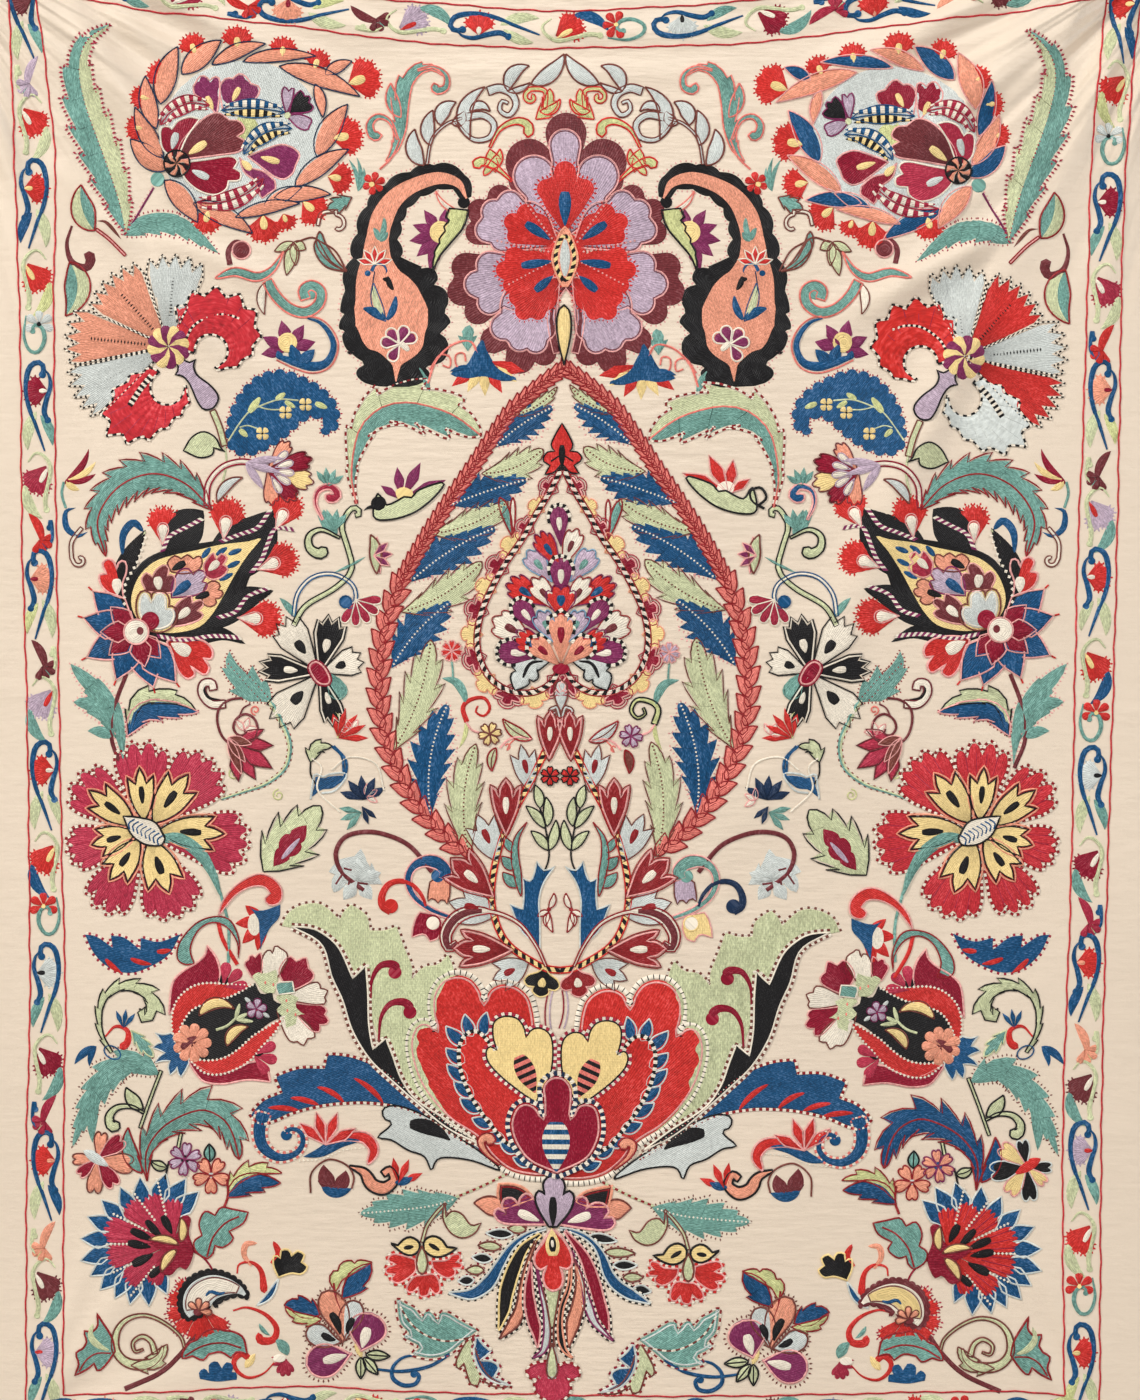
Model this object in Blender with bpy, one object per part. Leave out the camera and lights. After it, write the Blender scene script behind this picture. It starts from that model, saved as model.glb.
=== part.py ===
"""Suzani embroidered hanging: one cream cloth, hung by its top edge, with its main folds.

Metres, +Z up. The origin is the middle of the top edge. The embroidered face looks along -Y.
"""

import math

import bmesh
import bpy

# Driving dimensions, measured on the hung cloth.
DROP = 2.014
TOP_HALF_WIDTH = 0.816
WAIST_HALF_WIDTH = 0.790
HEM_HALF_WIDTH = 0.780
TOP_CORNER_RISE = 0.070
HEM_CORNER_DROP = 0.004
THICKNESS = 0.002

# The grid is finer towards the top and the sides, where the folds are narrow.
COLUMNS = 46
ROWS = 56
SIDE_REFINEMENT = 0.35
TOP_REFINEMENT = 0.40

# Pull folds start narrow where the cloth is held and widen as they run out of tension.
FOLD_COLUMNS = ("start_x", "start_z", "end_x", "end_z", "start_width", "end_width", "height")
PULL_FOLDS = (
    # Folds from the left top corner.
    (-0.790, 0.040, -0.653, -0.614, 0.014, 0.030, 0.007),
    (-0.785, 0.045, -0.548, -0.455, 0.014, 0.030, 0.010),
    (-0.775, 0.050, -0.350, -0.455, 0.016, 0.046, 0.016),
    (-0.765, 0.055, -0.190, -0.205, 0.014, 0.036, 0.010),
    (-0.561, -0.363, -0.270, -0.480, 0.014, 0.024, 0.008),
    (-0.548, -0.389, -0.416, -0.620, 0.014, 0.026, 0.007),
    # Folds from the right top corner.
    (0.810, 0.040, 0.653, -0.627, 0.014, 0.030, 0.007),
    (0.805, 0.045, 0.508, -0.614, 0.014, 0.036, 0.012),
    (0.795, 0.050, 0.310, -0.403, 0.016, 0.046, 0.018),
    (0.785, 0.055, 0.240, -0.205, 0.014, 0.036, 0.010),
    (0.574, -0.370, 0.290, -0.515, 0.016, 0.028, 0.010),
    (0.587, -0.389, 0.165, -1.327, 0.022, 0.048, 0.009),
    (0.574, -0.455, 0.376, -0.800, 0.016, 0.030, 0.007),
    # Short folds at the bottom corners.
    (-0.700, -1.930, -0.510, -1.670, 0.014, 0.030, 0.006),
    (-0.695, -1.940, -0.380, -1.830, 0.014, 0.026, 0.005),
    (0.690, -1.930, 0.520, -1.740, 0.014, 0.028, 0.005),
)
FOLD_RISE = 0.15
FOLD_FADE_START = 0.35

# Swags run under the sagging top edge and follow its curve.
SWAG_COLUMNS = ("depth", "half_length", "width", "height")
SWAGS = (
    (0.105, 0.340, 0.016, 0.005),
    (0.158, 0.260, 0.018, 0.004),
    (0.520, 0.200, 0.022, 0.003),
)

# Slack: the middle bellies forward, and the lower part waves a little from side to side.
BELLY_CENTRE = (0.0, -0.620)
BELLY_RADIUS = (0.420, 0.520)
BELLY_HEIGHT = 0.010
HEM_WAVE_HEIGHT = 0.006
HEM_WAVE_LENGTH = 0.620

CLOTH_COLOUR = (0.76, 0.63, 0.46, 1.0)
CLOTH_ROUGHNESS = 0.55


def smoothstep(value):
    """Ease from 0 to 1."""
    clamped = min(max(value, 0.0), 1.0)
    return clamped * clamped * (3.0 - 2.0 * clamped)


def top_edge(x):
    """Height of the sagging top edge at x."""
    return TOP_CORNER_RISE * (x / TOP_HALF_WIDTH) ** 2


def half_width(down):
    """Half the cloth's width, at a share of the drop: drawn in at the waist, wider at the top."""
    shoulder = (1.0 - down) ** 2
    hem = down ** 2
    waist = 1.0 - shoulder - hem
    return TOP_HALF_WIDTH * shoulder + WAIST_HALF_WIDTH * waist + HEM_HALF_WIDTH * hem


def pull_fold(row, x, z):
    """Height of one pull fold above the flat cloth."""
    fold = dict(zip(FOLD_COLUMNS, row))
    run_x = fold["end_x"] - fold["start_x"]
    run_z = fold["end_z"] - fold["start_z"]
    length = math.hypot(run_x, run_z)
    from_x = x - fold["start_x"]
    from_z = z - fold["start_z"]
    along = (from_x * run_x + from_z * run_z) / length ** 2
    across = (from_x * run_z - from_z * run_x) / length
    if not 0.0 < along < 1.0:
        return 0.0
    width = fold["start_width"] + (fold["end_width"] - fold["start_width"]) * along
    fade = (along - FOLD_FADE_START) / (1.0 - FOLD_FADE_START)
    share = smoothstep(along / FOLD_RISE) * (1.0 - smoothstep(fade))
    return fold["height"] * share * math.exp(-((across / width) ** 2))


def swag(row, x, z):
    """Height of one swag, which lies a set depth under the top edge."""
    fold = dict(zip(SWAG_COLUMNS, row))
    across = top_edge(x) - z - fold["depth"]
    share = max(0.0, 1.0 - (x / fold["half_length"]) ** 2)
    return fold["height"] * share * math.exp(-((across / fold["width"]) ** 2))


def slack(x, z):
    """The soft belly and the wave that grows towards the hem."""
    from_x = (x - BELLY_CENTRE[0]) / BELLY_RADIUS[0]
    from_z = (z - BELLY_CENTRE[1]) / BELLY_RADIUS[1]
    belly = BELLY_HEIGHT * math.exp(-(from_x ** 2) - from_z ** 2)
    reach = smoothstep(-z / DROP)
    wave = HEM_WAVE_HEIGHT * reach * (1.0 + math.sin(2.0 * math.pi * x / HEM_WAVE_LENGTH))
    return belly + wave


def fold_height(x, z):
    """How far the cloth stands forward of its hanging plane."""
    folds = sum(pull_fold(row, x, z) for row in PULL_FOLDS)
    swags = sum(swag(row, x, z) for row in SWAGS)
    return folds + swags + slack(x, z)


def cloth_point(column, row):
    """One grid point of the cloth's face."""
    across = column / COLUMNS
    across -= SIDE_REFINEMENT * math.sin(2.0 * math.pi * across) / (2.0 * math.pi)
    side = 2.0 * across - 1.0
    down = row / ROWS
    down = (1.0 - TOP_REFINEMENT) * down + TOP_REFINEMENT * down ** 2
    x = side * half_width(down)
    top = TOP_CORNER_RISE * side ** 2
    bottom = -DROP - HEM_CORNER_DROP * side ** 2
    z = top + (bottom - top) * down
    return (x, -fold_height(x, z), z)


def cloth_material():
    """Cream satin."""
    material = bpy.data.materials.new("cream_satin")
    material.use_nodes = True
    shader = material.node_tree.nodes["Principled BSDF"]
    shader.inputs["Base Color"].default_value = CLOTH_COLOUR
    shader.inputs["Roughness"].default_value = CLOTH_ROUGHNESS
    shader.inputs["Metallic"].default_value = 0.0
    return material


def ground_cloth():
    """The one-piece cloth: a folded grid, made solid to its real thickness."""
    shape = bmesh.new()
    grid = [
        [shape.verts.new(cloth_point(column, row)) for column in range(COLUMNS + 1)]
        for row in range(ROWS + 1)
    ]
    for row in range(ROWS):
        for column in range(COLUMNS):
            upper_left = grid[row][column]
            upper_right = grid[row][column + 1]
            lower_right = grid[row + 1][column + 1]
            lower_left = grid[row + 1][column]
            # Each cell is split along the folds, which run down and inwards on both halves.
            if column < COLUMNS // 2:
                shape.faces.new((upper_left, lower_left, lower_right))
                shape.faces.new((upper_left, lower_right, upper_right))
            else:
                shape.faces.new((upper_left, lower_left, upper_right))
                shape.faces.new((upper_right, lower_left, lower_right))
    mesh = bpy.data.meshes.new("ground_cloth")
    shape.to_mesh(mesh)
    shape.free()
    mesh.shade_smooth()
    mesh.materials.append(cloth_material())
    cloth = bpy.data.objects.new("ground_cloth", mesh)
    bpy.context.scene.collection.objects.link(cloth)
    solidify = cloth.modifiers.new("cloth_thickness", "SOLIDIFY")
    solidify.thickness = THICKNESS
    solidify.offset = -1.0
    solidify.use_even_offset = False
    return cloth


def main():
    """Clear the scene and build the hanging."""
    for old in list(bpy.data.objects):
        bpy.data.objects.remove(old, do_unlink=True)
    ground_cloth()


main()
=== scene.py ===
"""Looks of the suzani hanging: a folded satin ground, silk embroidery laid on it, and the studio.

The embroidery is placed on a flat chart: x runs right and y runs down, both in chart units of
1.32 mm, and the view is 1140 units wide and 1400 high. Some shapes are worked out by a formula and
others are outlines through listed chart points, many of them read off the photo. All are then laid on
the folded cloth.
"""

import math
import random

import bpy
import numpy as np
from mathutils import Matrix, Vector
from mathutils.geometry import delaunay_2d_cdt


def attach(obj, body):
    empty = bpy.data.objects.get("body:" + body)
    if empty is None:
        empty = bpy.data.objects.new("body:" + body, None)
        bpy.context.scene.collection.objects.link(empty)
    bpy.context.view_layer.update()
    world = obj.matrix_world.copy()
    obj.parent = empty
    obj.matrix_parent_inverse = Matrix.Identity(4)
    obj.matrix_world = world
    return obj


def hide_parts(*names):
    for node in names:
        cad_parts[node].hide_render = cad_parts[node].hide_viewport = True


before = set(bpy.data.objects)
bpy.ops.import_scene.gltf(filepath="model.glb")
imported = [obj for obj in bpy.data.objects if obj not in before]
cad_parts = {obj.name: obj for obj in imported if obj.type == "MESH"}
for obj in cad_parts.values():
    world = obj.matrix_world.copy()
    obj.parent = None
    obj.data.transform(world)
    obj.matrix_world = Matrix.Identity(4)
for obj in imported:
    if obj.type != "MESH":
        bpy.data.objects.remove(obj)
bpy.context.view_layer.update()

# The hung cloth, as the solid has it, in metres.
DROP = 2.014
TOP_HALF_WIDTH = 0.816
WAIST_HALF_WIDTH = 0.790
HEM_HALF_WIDTH = 0.780
TOP_CORNER_RISE = 0.070
HEM_CORNER_DROP = 0.004
CLOTH_THICKNESS = 0.0012
CLOTH_COLUMNS = 190
CLOTH_ROWS = 236
SIDE_REFINEMENT = 0.35
TOP_REFINEMENT = 0.40

# The chart.
UNIT = 0.00132
AXIS = 565.0
CHART_TOP = -45.0
VIEW_WIDTH = 1140.0
VIEW_HEIGHT = 1400.0

# Stitch heights above the cloth's face, in metres.
ROOT = -0.0004
STITCH = 0.0008
LAYER = 0.00028
DOME = 0.00025
RIDGE = 0.00018
LINE_WEIGHT = 1.2
KNOT_WEIGHT = 1.3

random.seed(7)

FOLD_COLUMNS = ("start_x", "start_z", "end_x", "end_z", "start_width", "end_width", "height")
PULL_FOLDS = (
    # Folds from the left top corner, as in the solid.
    (-0.790, 0.040, -0.653, -0.614, 0.014, 0.030, 0.007),
    (-0.785, 0.045, -0.548, -0.455, 0.014, 0.030, 0.010),
    (-0.775, 0.050, -0.350, -0.455, 0.016, 0.046, 0.016),
    (-0.765, 0.055, -0.190, -0.205, 0.014, 0.036, 0.010),
    (-0.561, -0.363, -0.270, -0.480, 0.014, 0.024, 0.008),
    (-0.548, -0.389, -0.416, -0.620, 0.014, 0.026, 0.007),
    # Folds from the right top corner, as in the solid.
    (0.810, 0.040, 0.653, -0.627, 0.014, 0.030, 0.007),
    (0.805, 0.045, 0.508, -0.614, 0.014, 0.036, 0.012),
    (0.795, 0.050, 0.310, -0.403, 0.016, 0.046, 0.018),
    (0.785, 0.055, 0.240, -0.205, 0.014, 0.036, 0.010),
    (0.574, -0.370, 0.290, -0.515, 0.016, 0.028, 0.010),
    (0.587, -0.389, 0.165, -1.327, 0.022, 0.048, 0.009),
    (0.574, -0.455, 0.376, -0.800, 0.016, 0.030, 0.007),
    # Short folds at the bottom corners, as in the solid.
    (-0.700, -1.930, -0.510, -1.670, 0.014, 0.030, 0.006),
    (-0.695, -1.940, -0.380, -1.830, 0.014, 0.026, 0.005),
    (0.690, -1.930, 0.520, -1.740, 0.014, 0.028, 0.005),
)
FINE_FOLDS = (
    # Thin creases between the main folds, which the solid leaves out.
    (-0.809, 0.013, -0.704, -0.343, 0.014, 0.020, 0.0046),
    (-0.783, 0.013, -0.638, -0.396, 0.014, 0.020, 0.0052),
    (-0.723, 0.011, -0.572, -0.396, 0.015, 0.021, 0.0068),
    (-0.690, 0.011, -0.479, -0.356, 0.015, 0.021, 0.0074),
    (-0.657, 0.008, -0.393, -0.304, 0.015, 0.021, 0.0072),
    (-0.611, 0.005, -0.294, -0.218, 0.015, 0.020, 0.0064),
    (-0.545, 0.003, -0.162, -0.139, 0.014, 0.019, 0.0056),
    (-0.400, -0.016, -0.044, -0.092, 0.013, 0.018, 0.0040),
    (-0.770, -0.158, -0.651, -0.739, 0.014, 0.020, 0.0042),
    (-0.690, -0.251, -0.453, -0.554, 0.013, 0.018, 0.0044),
    (-0.651, -0.330, -0.294, -0.528, 0.013, 0.018, 0.0036),
    (-0.572, -0.436, -0.294, -0.620, 0.012, 0.017, 0.0034),
    (0.814, 0.013, 0.704, -0.343, 0.014, 0.020, 0.0050),
    (0.775, 0.011, 0.630, -0.396, 0.014, 0.021, 0.0066),
    (0.729, 0.011, 0.524, -0.356, 0.015, 0.021, 0.0074),
    (0.696, 0.008, 0.432, -0.290, 0.015, 0.021, 0.0072),
    (0.643, 0.005, 0.326, -0.198, 0.015, 0.020, 0.0064),
    (0.570, 0.003, 0.194, -0.125, 0.014, 0.019, 0.0056),
    (0.432, -0.016, 0.088, -0.087, 0.013, 0.018, 0.0040),
    (0.762, -0.158, 0.669, -0.739, 0.014, 0.020, 0.0044),
    (0.669, -0.224, 0.392, -0.436, 0.014, 0.019, 0.0060),
    (0.643, -0.304, 0.352, -0.488, 0.013, 0.018, 0.0054),
    (0.616, -0.343, 0.273, -0.554, 0.013, 0.018, 0.0046),
    (0.603, -0.370, 0.392, -0.686, 0.013, 0.018, 0.0040),
    (-0.690, -1.900, -0.600, -1.640, 0.010, 0.016, 0.0036),
    (-0.680, -1.940, -0.420, -1.880, 0.010, 0.016, 0.0034),
    (0.690, -1.900, 0.600, -1.660, 0.010, 0.016, 0.0034),
)
FOLD_RISE = 0.15
FOLD_FADE_START = 0.35

SWAG_COLUMNS = ("depth", "half_length", "width", "height")
SWAGS = (
    (0.105, 0.340, 0.016, 0.005),
    (0.158, 0.260, 0.018, 0.004),
    (0.520, 0.200, 0.022, 0.003),
)

BELLY_CENTRE = (0.0, -0.620)
BELLY_RADIUS = (0.420, 0.520)
BELLY_HEIGHT = 0.010
HEM_WAVE_HEIGHT = 0.006
HEM_WAVE_LENGTH = 0.620

# Old storage creases: chart y, the stretch of chart x that still shows, and the height in metres.
CREASE_COLUMNS = ("y", "start_x", "end_x", "height")
CREASES = (
    (333.0, 430.0, 510.0, 0.0016),
    (336.0, 775.0, 870.0, 0.0018),
    (692.0, -60.0, 60.0, 0.0014),
    (715.0, 1085.0, 1200.0, 0.0014),
    (872.0, -60.0, 70.0, 0.0012),
    (1088.0, -60.0, 70.0, 0.0012),
    (1126.0, 1060.0, 1200.0, 0.0014),
)
CREASE_WIDTH = 0.006


def smoothstep(value):
    """Ease from 0 to 1."""
    clamped = np.clip(value, 0.0, 1.0)
    return clamped * clamped * (3.0 - 2.0 * clamped)


def pull_fold(row, x, z):
    """Height of one pull fold above the flat cloth."""
    fold = dict(zip(FOLD_COLUMNS, row))
    run_x = fold["end_x"] - fold["start_x"]
    run_z = fold["end_z"] - fold["start_z"]
    length = math.hypot(run_x, run_z)
    from_x = x - fold["start_x"]
    from_z = z - fold["start_z"]
    along = (from_x * run_x + from_z * run_z) / length ** 2
    across = (from_x * run_z - from_z * run_x) / length
    inside = (along > 0.0) & (along < 1.0)
    width = fold["start_width"] + (fold["end_width"] - fold["start_width"]) * np.clip(along, 0.0, 1.0)
    fade = (along - FOLD_FADE_START) / (1.0 - FOLD_FADE_START)
    share = smoothstep(along / FOLD_RISE) * (1.0 - smoothstep(fade))
    return inside * fold["height"] * share * np.exp(-((across / width) ** 2))


def swag(row, x, z):
    """Height of one swag, which lies a set depth under the top edge."""
    fold = dict(zip(SWAG_COLUMNS, row))
    across = TOP_CORNER_RISE * (x / TOP_HALF_WIDTH) ** 2 - z - fold["depth"]
    share = np.maximum(0.0, 1.0 - (x / fold["half_length"]) ** 2)
    return fold["height"] * share * np.exp(-((across / fold["width"]) ** 2))


def crease(row, x, z):
    """Height of one flattened storage crease."""
    fold = dict(zip(CREASE_COLUMNS, row))
    chart_x = x / UNIT + AXIS
    chart_y = CHART_TOP - z / UNIT
    middle = 0.5 * (fold["start_x"] + fold["end_x"])
    reach = 0.5 * (fold["end_x"] - fold["start_x"])
    share = np.maximum(0.0, 1.0 - ((chart_x - middle) / reach) ** 2)
    across = (chart_y - fold["y"]) * UNIT / CREASE_WIDTH
    return fold["height"] * share * np.exp(-(across ** 2))


def slack(x, z):
    """The soft belly and the wave that grows towards the hem."""
    from_x = (x - BELLY_CENTRE[0]) / BELLY_RADIUS[0]
    from_z = (z - BELLY_CENTRE[1]) / BELLY_RADIUS[1]
    belly = BELLY_HEIGHT * np.exp(-(from_x ** 2) - from_z ** 2)
    reach = smoothstep(-z / DROP)
    wave = HEM_WAVE_HEIGHT * reach * (1.0 + np.sin(2.0 * math.pi * x / HEM_WAVE_LENGTH))
    return belly + wave


def fold_height(x, z):
    """How far the cloth stands forward of its hanging plane."""
    folds = sum(pull_fold(row, x, z) for row in PULL_FOLDS + FINE_FOLDS)
    swags = sum(swag(row, x, z) for row in SWAGS)
    creases = sum(crease(row, x, z) for row in CREASES)
    return folds + swags + creases + slack(x, z)


def half_width(down):
    """Half the cloth's width, at a share of the drop."""
    shoulder = (1.0 - down) ** 2
    hem = down ** 2
    waist = 1.0 - shoulder - hem
    return TOP_HALF_WIDTH * shoulder + WAIST_HALF_WIDTH * waist + HEM_HALF_WIDTH * hem


# Threads, as sRGB colours from 0 to 255.
THREADS = {
    "red": (204, 44, 38),
    "dark_red": (146, 30, 34),
    "crimson": (166, 38, 62),
    "rose": (184, 50, 74),
    "cherry": (198, 46, 54),
    "wine": (142, 12, 42),
    "plum": (128, 40, 86),
    "maroon": (112, 44, 48),
    "peach": (236, 156, 126),
    "coral": (228, 122, 110),
    "pink": (232, 164, 158),
    "blue": (16, 78, 122),
    "navy": (24, 46, 76),
    "sky": (120, 158, 184),
    "teal": (112, 158, 146),
    "sage": (204, 208, 164),
    "lime": (206, 208, 144),
    "gold": (244, 214, 146),
    "black": (22, 20, 21),
    "silver": (208, 212, 206),
    "lavender": (188, 166, 182),
    "ivory": (240, 228, 208),
    "brown": (118, 60, 50),
}
THREAD_NAMES = list(THREADS)


def srgb(colour):
    """A linear colour from an sRGB one."""
    shares = [value / 255.0 for value in colour]
    return [s / 12.92 if s <= 0.04045 else ((s + 0.055) / 1.055) ** 2.4 for s in shares]


# Curves and shapes on the chart.


def points(*pairs):
    """An array of chart points."""
    return np.array(pairs, dtype=float)


def aim(heading):
    """Unit vector of a compass heading in degrees: 0 is up the chart, 90 is right."""
    angle = math.radians(heading)
    return np.array([math.sin(angle), -math.cos(angle)])


def heading_of(start, end):
    """Compass heading from one chart point to another."""
    return math.degrees(math.atan2(end[0] - start[0], start[1] - end[1]))


def normals(path, closed=False):
    """Unit vectors to the right of travel, as seen on the chart."""
    if closed:
        run = np.roll(path, -1, axis=0) - np.roll(path, 1, axis=0)
    else:
        run = np.gradient(path, axis=0)
    run = run / np.maximum(np.linalg.norm(run, axis=1, keepdims=True), 1e-9)
    return np.stack([-run[:, 1], run[:, 0]], axis=1)


def resample(path, count):
    """The same path with evenly spaced points."""
    steps = np.linalg.norm(np.diff(path, axis=0), axis=1)
    length = np.concatenate([[0.0], np.cumsum(steps)])
    wanted = np.linspace(0.0, length[-1], count)
    return np.stack([np.interp(wanted, length, path[:, 0]), np.interp(wanted, length, path[:, 1])], axis=1)


def path_length(path):
    """Length of a path."""
    return float(np.linalg.norm(np.diff(path, axis=0), axis=1).sum())


def curve(places, count=24, closed=False):
    """A smooth curve through chart places, with evenly spaced points."""
    knots = np.array(places, dtype=float)
    if len(knots) == 2:
        return resample(knots, count)
    if closed:
        knots = np.concatenate([knots[-1:], knots, knots[:2]])
    else:
        knots = np.concatenate([2 * knots[:1] - knots[1:2], knots, 2 * knots[-1:] - knots[-2:-1]])
    share = np.linspace(0.0, 1.0, 9)[:-1, None]
    stretches = []
    for a, b, c, d in zip(knots, knots[1:], knots[2:], knots[3:]):
        cubic = -a + 3.0 * b - 3.0 * c + d
        square = 2.0 * a - 5.0 * b + 4.0 * c - d
        stretches.append(0.5 * (2.0 * b + (c - a) * share + square * share ** 2 + cubic * share ** 3))
    stretches.append(knots[-2][None])
    return resample(np.concatenate(stretches), count)


def bow(start, end, bend=0.0, count=14):
    """A path from start to end that bows to the right of travel by a share of its length."""
    start = np.array(start, dtype=float)
    end = np.array(end, dtype=float)
    run = end - start
    side = np.array([-run[1], run[0]])
    share = np.linspace(0.0, 1.0, count)[:, None]
    return start + run * share + side * bend * 4.0 * share * (1.0 - share)


def spiral(centre, start_radius, end_radius, start_heading, turn, count=22):
    """A path that winds from start_radius to end_radius round a centre. turn is in degrees."""
    share = np.linspace(0.0, 1.0, count)
    angle = np.radians(start_heading + turn * share)
    radius = start_radius + (end_radius - start_radius) * share
    return np.stack([centre[0] + radius * np.sin(angle), centre[1] - radius * np.cos(angle)], axis=1)


def oval(centre, across, down, count=24, turn=0.0):
    """A closed ellipse, clockwise on the chart. turn tilts it in degrees."""
    angle = np.linspace(0.0, 2.0 * math.pi, count, endpoint=False)
    x = 0.5 * across * np.sin(angle)
    y = -0.5 * down * np.cos(angle)
    tilt = math.radians(turn)
    return np.stack(
        [
            centre[0] + x * math.cos(tilt) - y * math.sin(tilt),
            centre[1] + x * math.sin(tilt) + y * math.cos(tilt),
        ],
        axis=1,
    )


def girth(kind, share, peak=0.5):
    """Half-width of a stroke along its length, as a share of the widest."""
    share = np.asarray(share, dtype=float)
    if kind == "leaf":
        skew = math.log(0.5) / math.log(peak)
        return np.sin(math.pi * np.clip(share, 0.0, 1.0) ** skew) ** 0.85
    if kind == "drop":
        rise = np.sin(0.5 * math.pi * np.clip(share / peak, 0.0, 1.0)) ** 1.1
        end = np.sqrt(np.clip(1.0 - ((share - peak) / (1.0 - peak)) ** 2, 0.0, 1.0))
        return np.where(share < peak, rise, end)
    if kind == "horn":
        return np.sqrt(np.clip(1.0 - share ** 2.2, 0.0, 1.0)) * np.clip(0.35 + share, 0.0, 1.0)
    if kind == "blade":
        return (1.0 - share) ** 0.8 * np.clip(share / 0.04, 0.55, 1.0)
    if kind == "hook":
        end = np.sqrt(np.clip(1.0 - ((share - 0.90) / 0.10) ** 2, 0.0, 1.0))
        return np.where(share < 0.90, 0.22 + 0.78 * (share / 0.90) ** 1.5, end)
    if kind == "tendril":
        return 1.0 - 0.65 * share
    return np.ones_like(share)


# Finishes, room and camera.
GROUND_COLOUR = (236, 217, 194)
# How much each thread's colour varies along its stitches. This is partly lighter and darker strands and
# partly painted sheen highlights whitened into the colour. The share below is for threads not listed.
STREAKS_AND_SHEEN = {"black": 0.14, "ivory": 0.22, "silver": 0.26, "gold": 0.24, "teal": 0.60, "sage": 0.40,
           "blue": 0.62}
STREAK_AND_SHEEN_SHARE = 0.42
SILK_BUMP = (0.8, 0.0009)
SATIN_BUMP = (0.6, 0.0030)
ROW_WIDTH = 0.0022
STITCH_LENGTH = 0.0031
STRAND_SCALE = 520.0
BROAD_SCALE = 70.0
WARP_PITCH = 0.0009
WEFT_PITCH = 0.0011
PUCKER_REACH = 0.42
PULL_X = 0.86
PULL_Z = 0.04
PULL_REACH = 0.46
EULER = 2.718
FULL_TURN = 2.0 * math.pi
FLOOR_GAP = 0.25
FLOOR_REACH = 6.0
LAMP_AIM = (0.0, 0.0, -0.98)
ROOM_LIGHT = 0.27
LAMPS = (
    # Name, place, width and height, power and colour.
    ("window_light", (-4.6, -3.4, 3.4), (1.2, 1.2), 405.0, (1.0, 0.98, 0.95)),
    ("fill_light", (4.6, -3.4, 2.6), (1.6, 1.6), 205.0, (0.97, 0.98, 1.0)),
)
CAMERA_LENS = 85.0
CAMERA_SENSOR = 36.0


# Stitching: shapes go from the chart to the cloth.


class Needlework:
    """The stitched shapes of one piece. Shapes may be mirrored about the axis and shifted."""

    def __init__(self, name):
        self.name = name
        self.mirrored = False
        self.shift = (0.0, 0.0)
        self.places = []
        self.lifts = []
        self.rows = []
        self.sheen_tones = []
        self.faces = []
        self.threads = []
        self.count = 0

    def side(self, mirrored, shift=(0.0, 0.0)):
        """Choose the side of the axis that the next shapes go to."""
        self.mirrored = mirrored
        self.shift = shift
        return self

    def put(self, path):
        """Chart points as x and z on the cloth, in metres."""
        path = np.asarray(path, dtype=float)
        x = path[:, 0]
        if self.mirrored:
            x = 2.0 * AXIS - x
        x = x + self.shift[0]
        y = path[:, 1] + self.shift[1]
        return np.stack([(x - AXIS) * UNIT, (CHART_TOP - y) * UNIT], axis=1)

    def add(self, places, lifts, rows, faces, thread):
        """Keep one shape's points and faces, each face turned towards the viewer.

        thread is one thread for the whole shape, or a list with one for each face.
        """
        names = thread if isinstance(thread, list) else [thread] * len(faces)
        for corners in (3, 4):
            chosen = [index for index, face in enumerate(faces) if len(face) == corners]
            if not chosen:
                continue
            loops = np.array([faces[index] for index in chosen])
            cell = places[loops]
            ahead = np.roll(cell, -1, axis=1)
            area = (cell[:, :, 0] * ahead[:, :, 1] - ahead[:, :, 0] * cell[:, :, 1]).sum(axis=1)
            loops = np.where(area[:, None] < 0.0, loops[:, ::-1], loops) + self.count
            self.faces += loops.tolist()
            self.threads += [names[index] for index in chosen]
        self.places.append(places)
        self.lifts.append(lifts)
        self.rows.append(rows)
        # Each shape gets a random brightness. This is painted sheen, standing for the silk catching the
        # light differently with each stitch direction.
        self.sheen_tones.append(np.full(len(places), random.uniform(-1.0, 1.0)))
        self.count += len(places)


def grid_faces(rows, columns, closed=False):
    """Faces of a grid of points. closed joins the last row to the first."""
    faces = []
    for row in range(rows if closed else rows - 1):
        for column in range(columns - 1):
            here = row * columns + column
            ahead = ((row + 1) % rows) * columns + column
            faces.append((here, here + 1, ahead + 1, ahead))
    return faces


def line(work, path, thread, width=1.7, closed=False, level=1.0):
    """A raised chain-stitched line."""
    spine = work.put(path)
    side = normals(spine, closed)
    half = 0.5 * UNIT * LINE_WEIGHT * np.broadcast_to(np.asarray(width, dtype=float), (len(spine),))[:,
            None]
    shares = np.array([-1.0, -0.94, 0.0, 0.94, 1.0])
    places = (spine[:, None, :] + side[:, None, :] * half[:, :, None] * shares[None, :, None]).reshape(-1,
            2)
    high = STITCH + LAYER * level + RIDGE
    foot = STITCH + LAYER * (level - 1.0) + 0.6 * DOME
    lifts = np.tile([ROOT, foot, high, foot, ROOT], len(spine))
    steps = np.linalg.norm(np.diff(spine, axis=0), axis=1)
    along = np.concatenate([[0.0], np.cumsum(steps)])
    rows = np.stack([np.repeat(along, 5), np.tile(shares * 0.0008, len(spine))], axis=1)
    work.add(places, lifts, rows, grid_faces(len(spine), 5, closed), thread)


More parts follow.
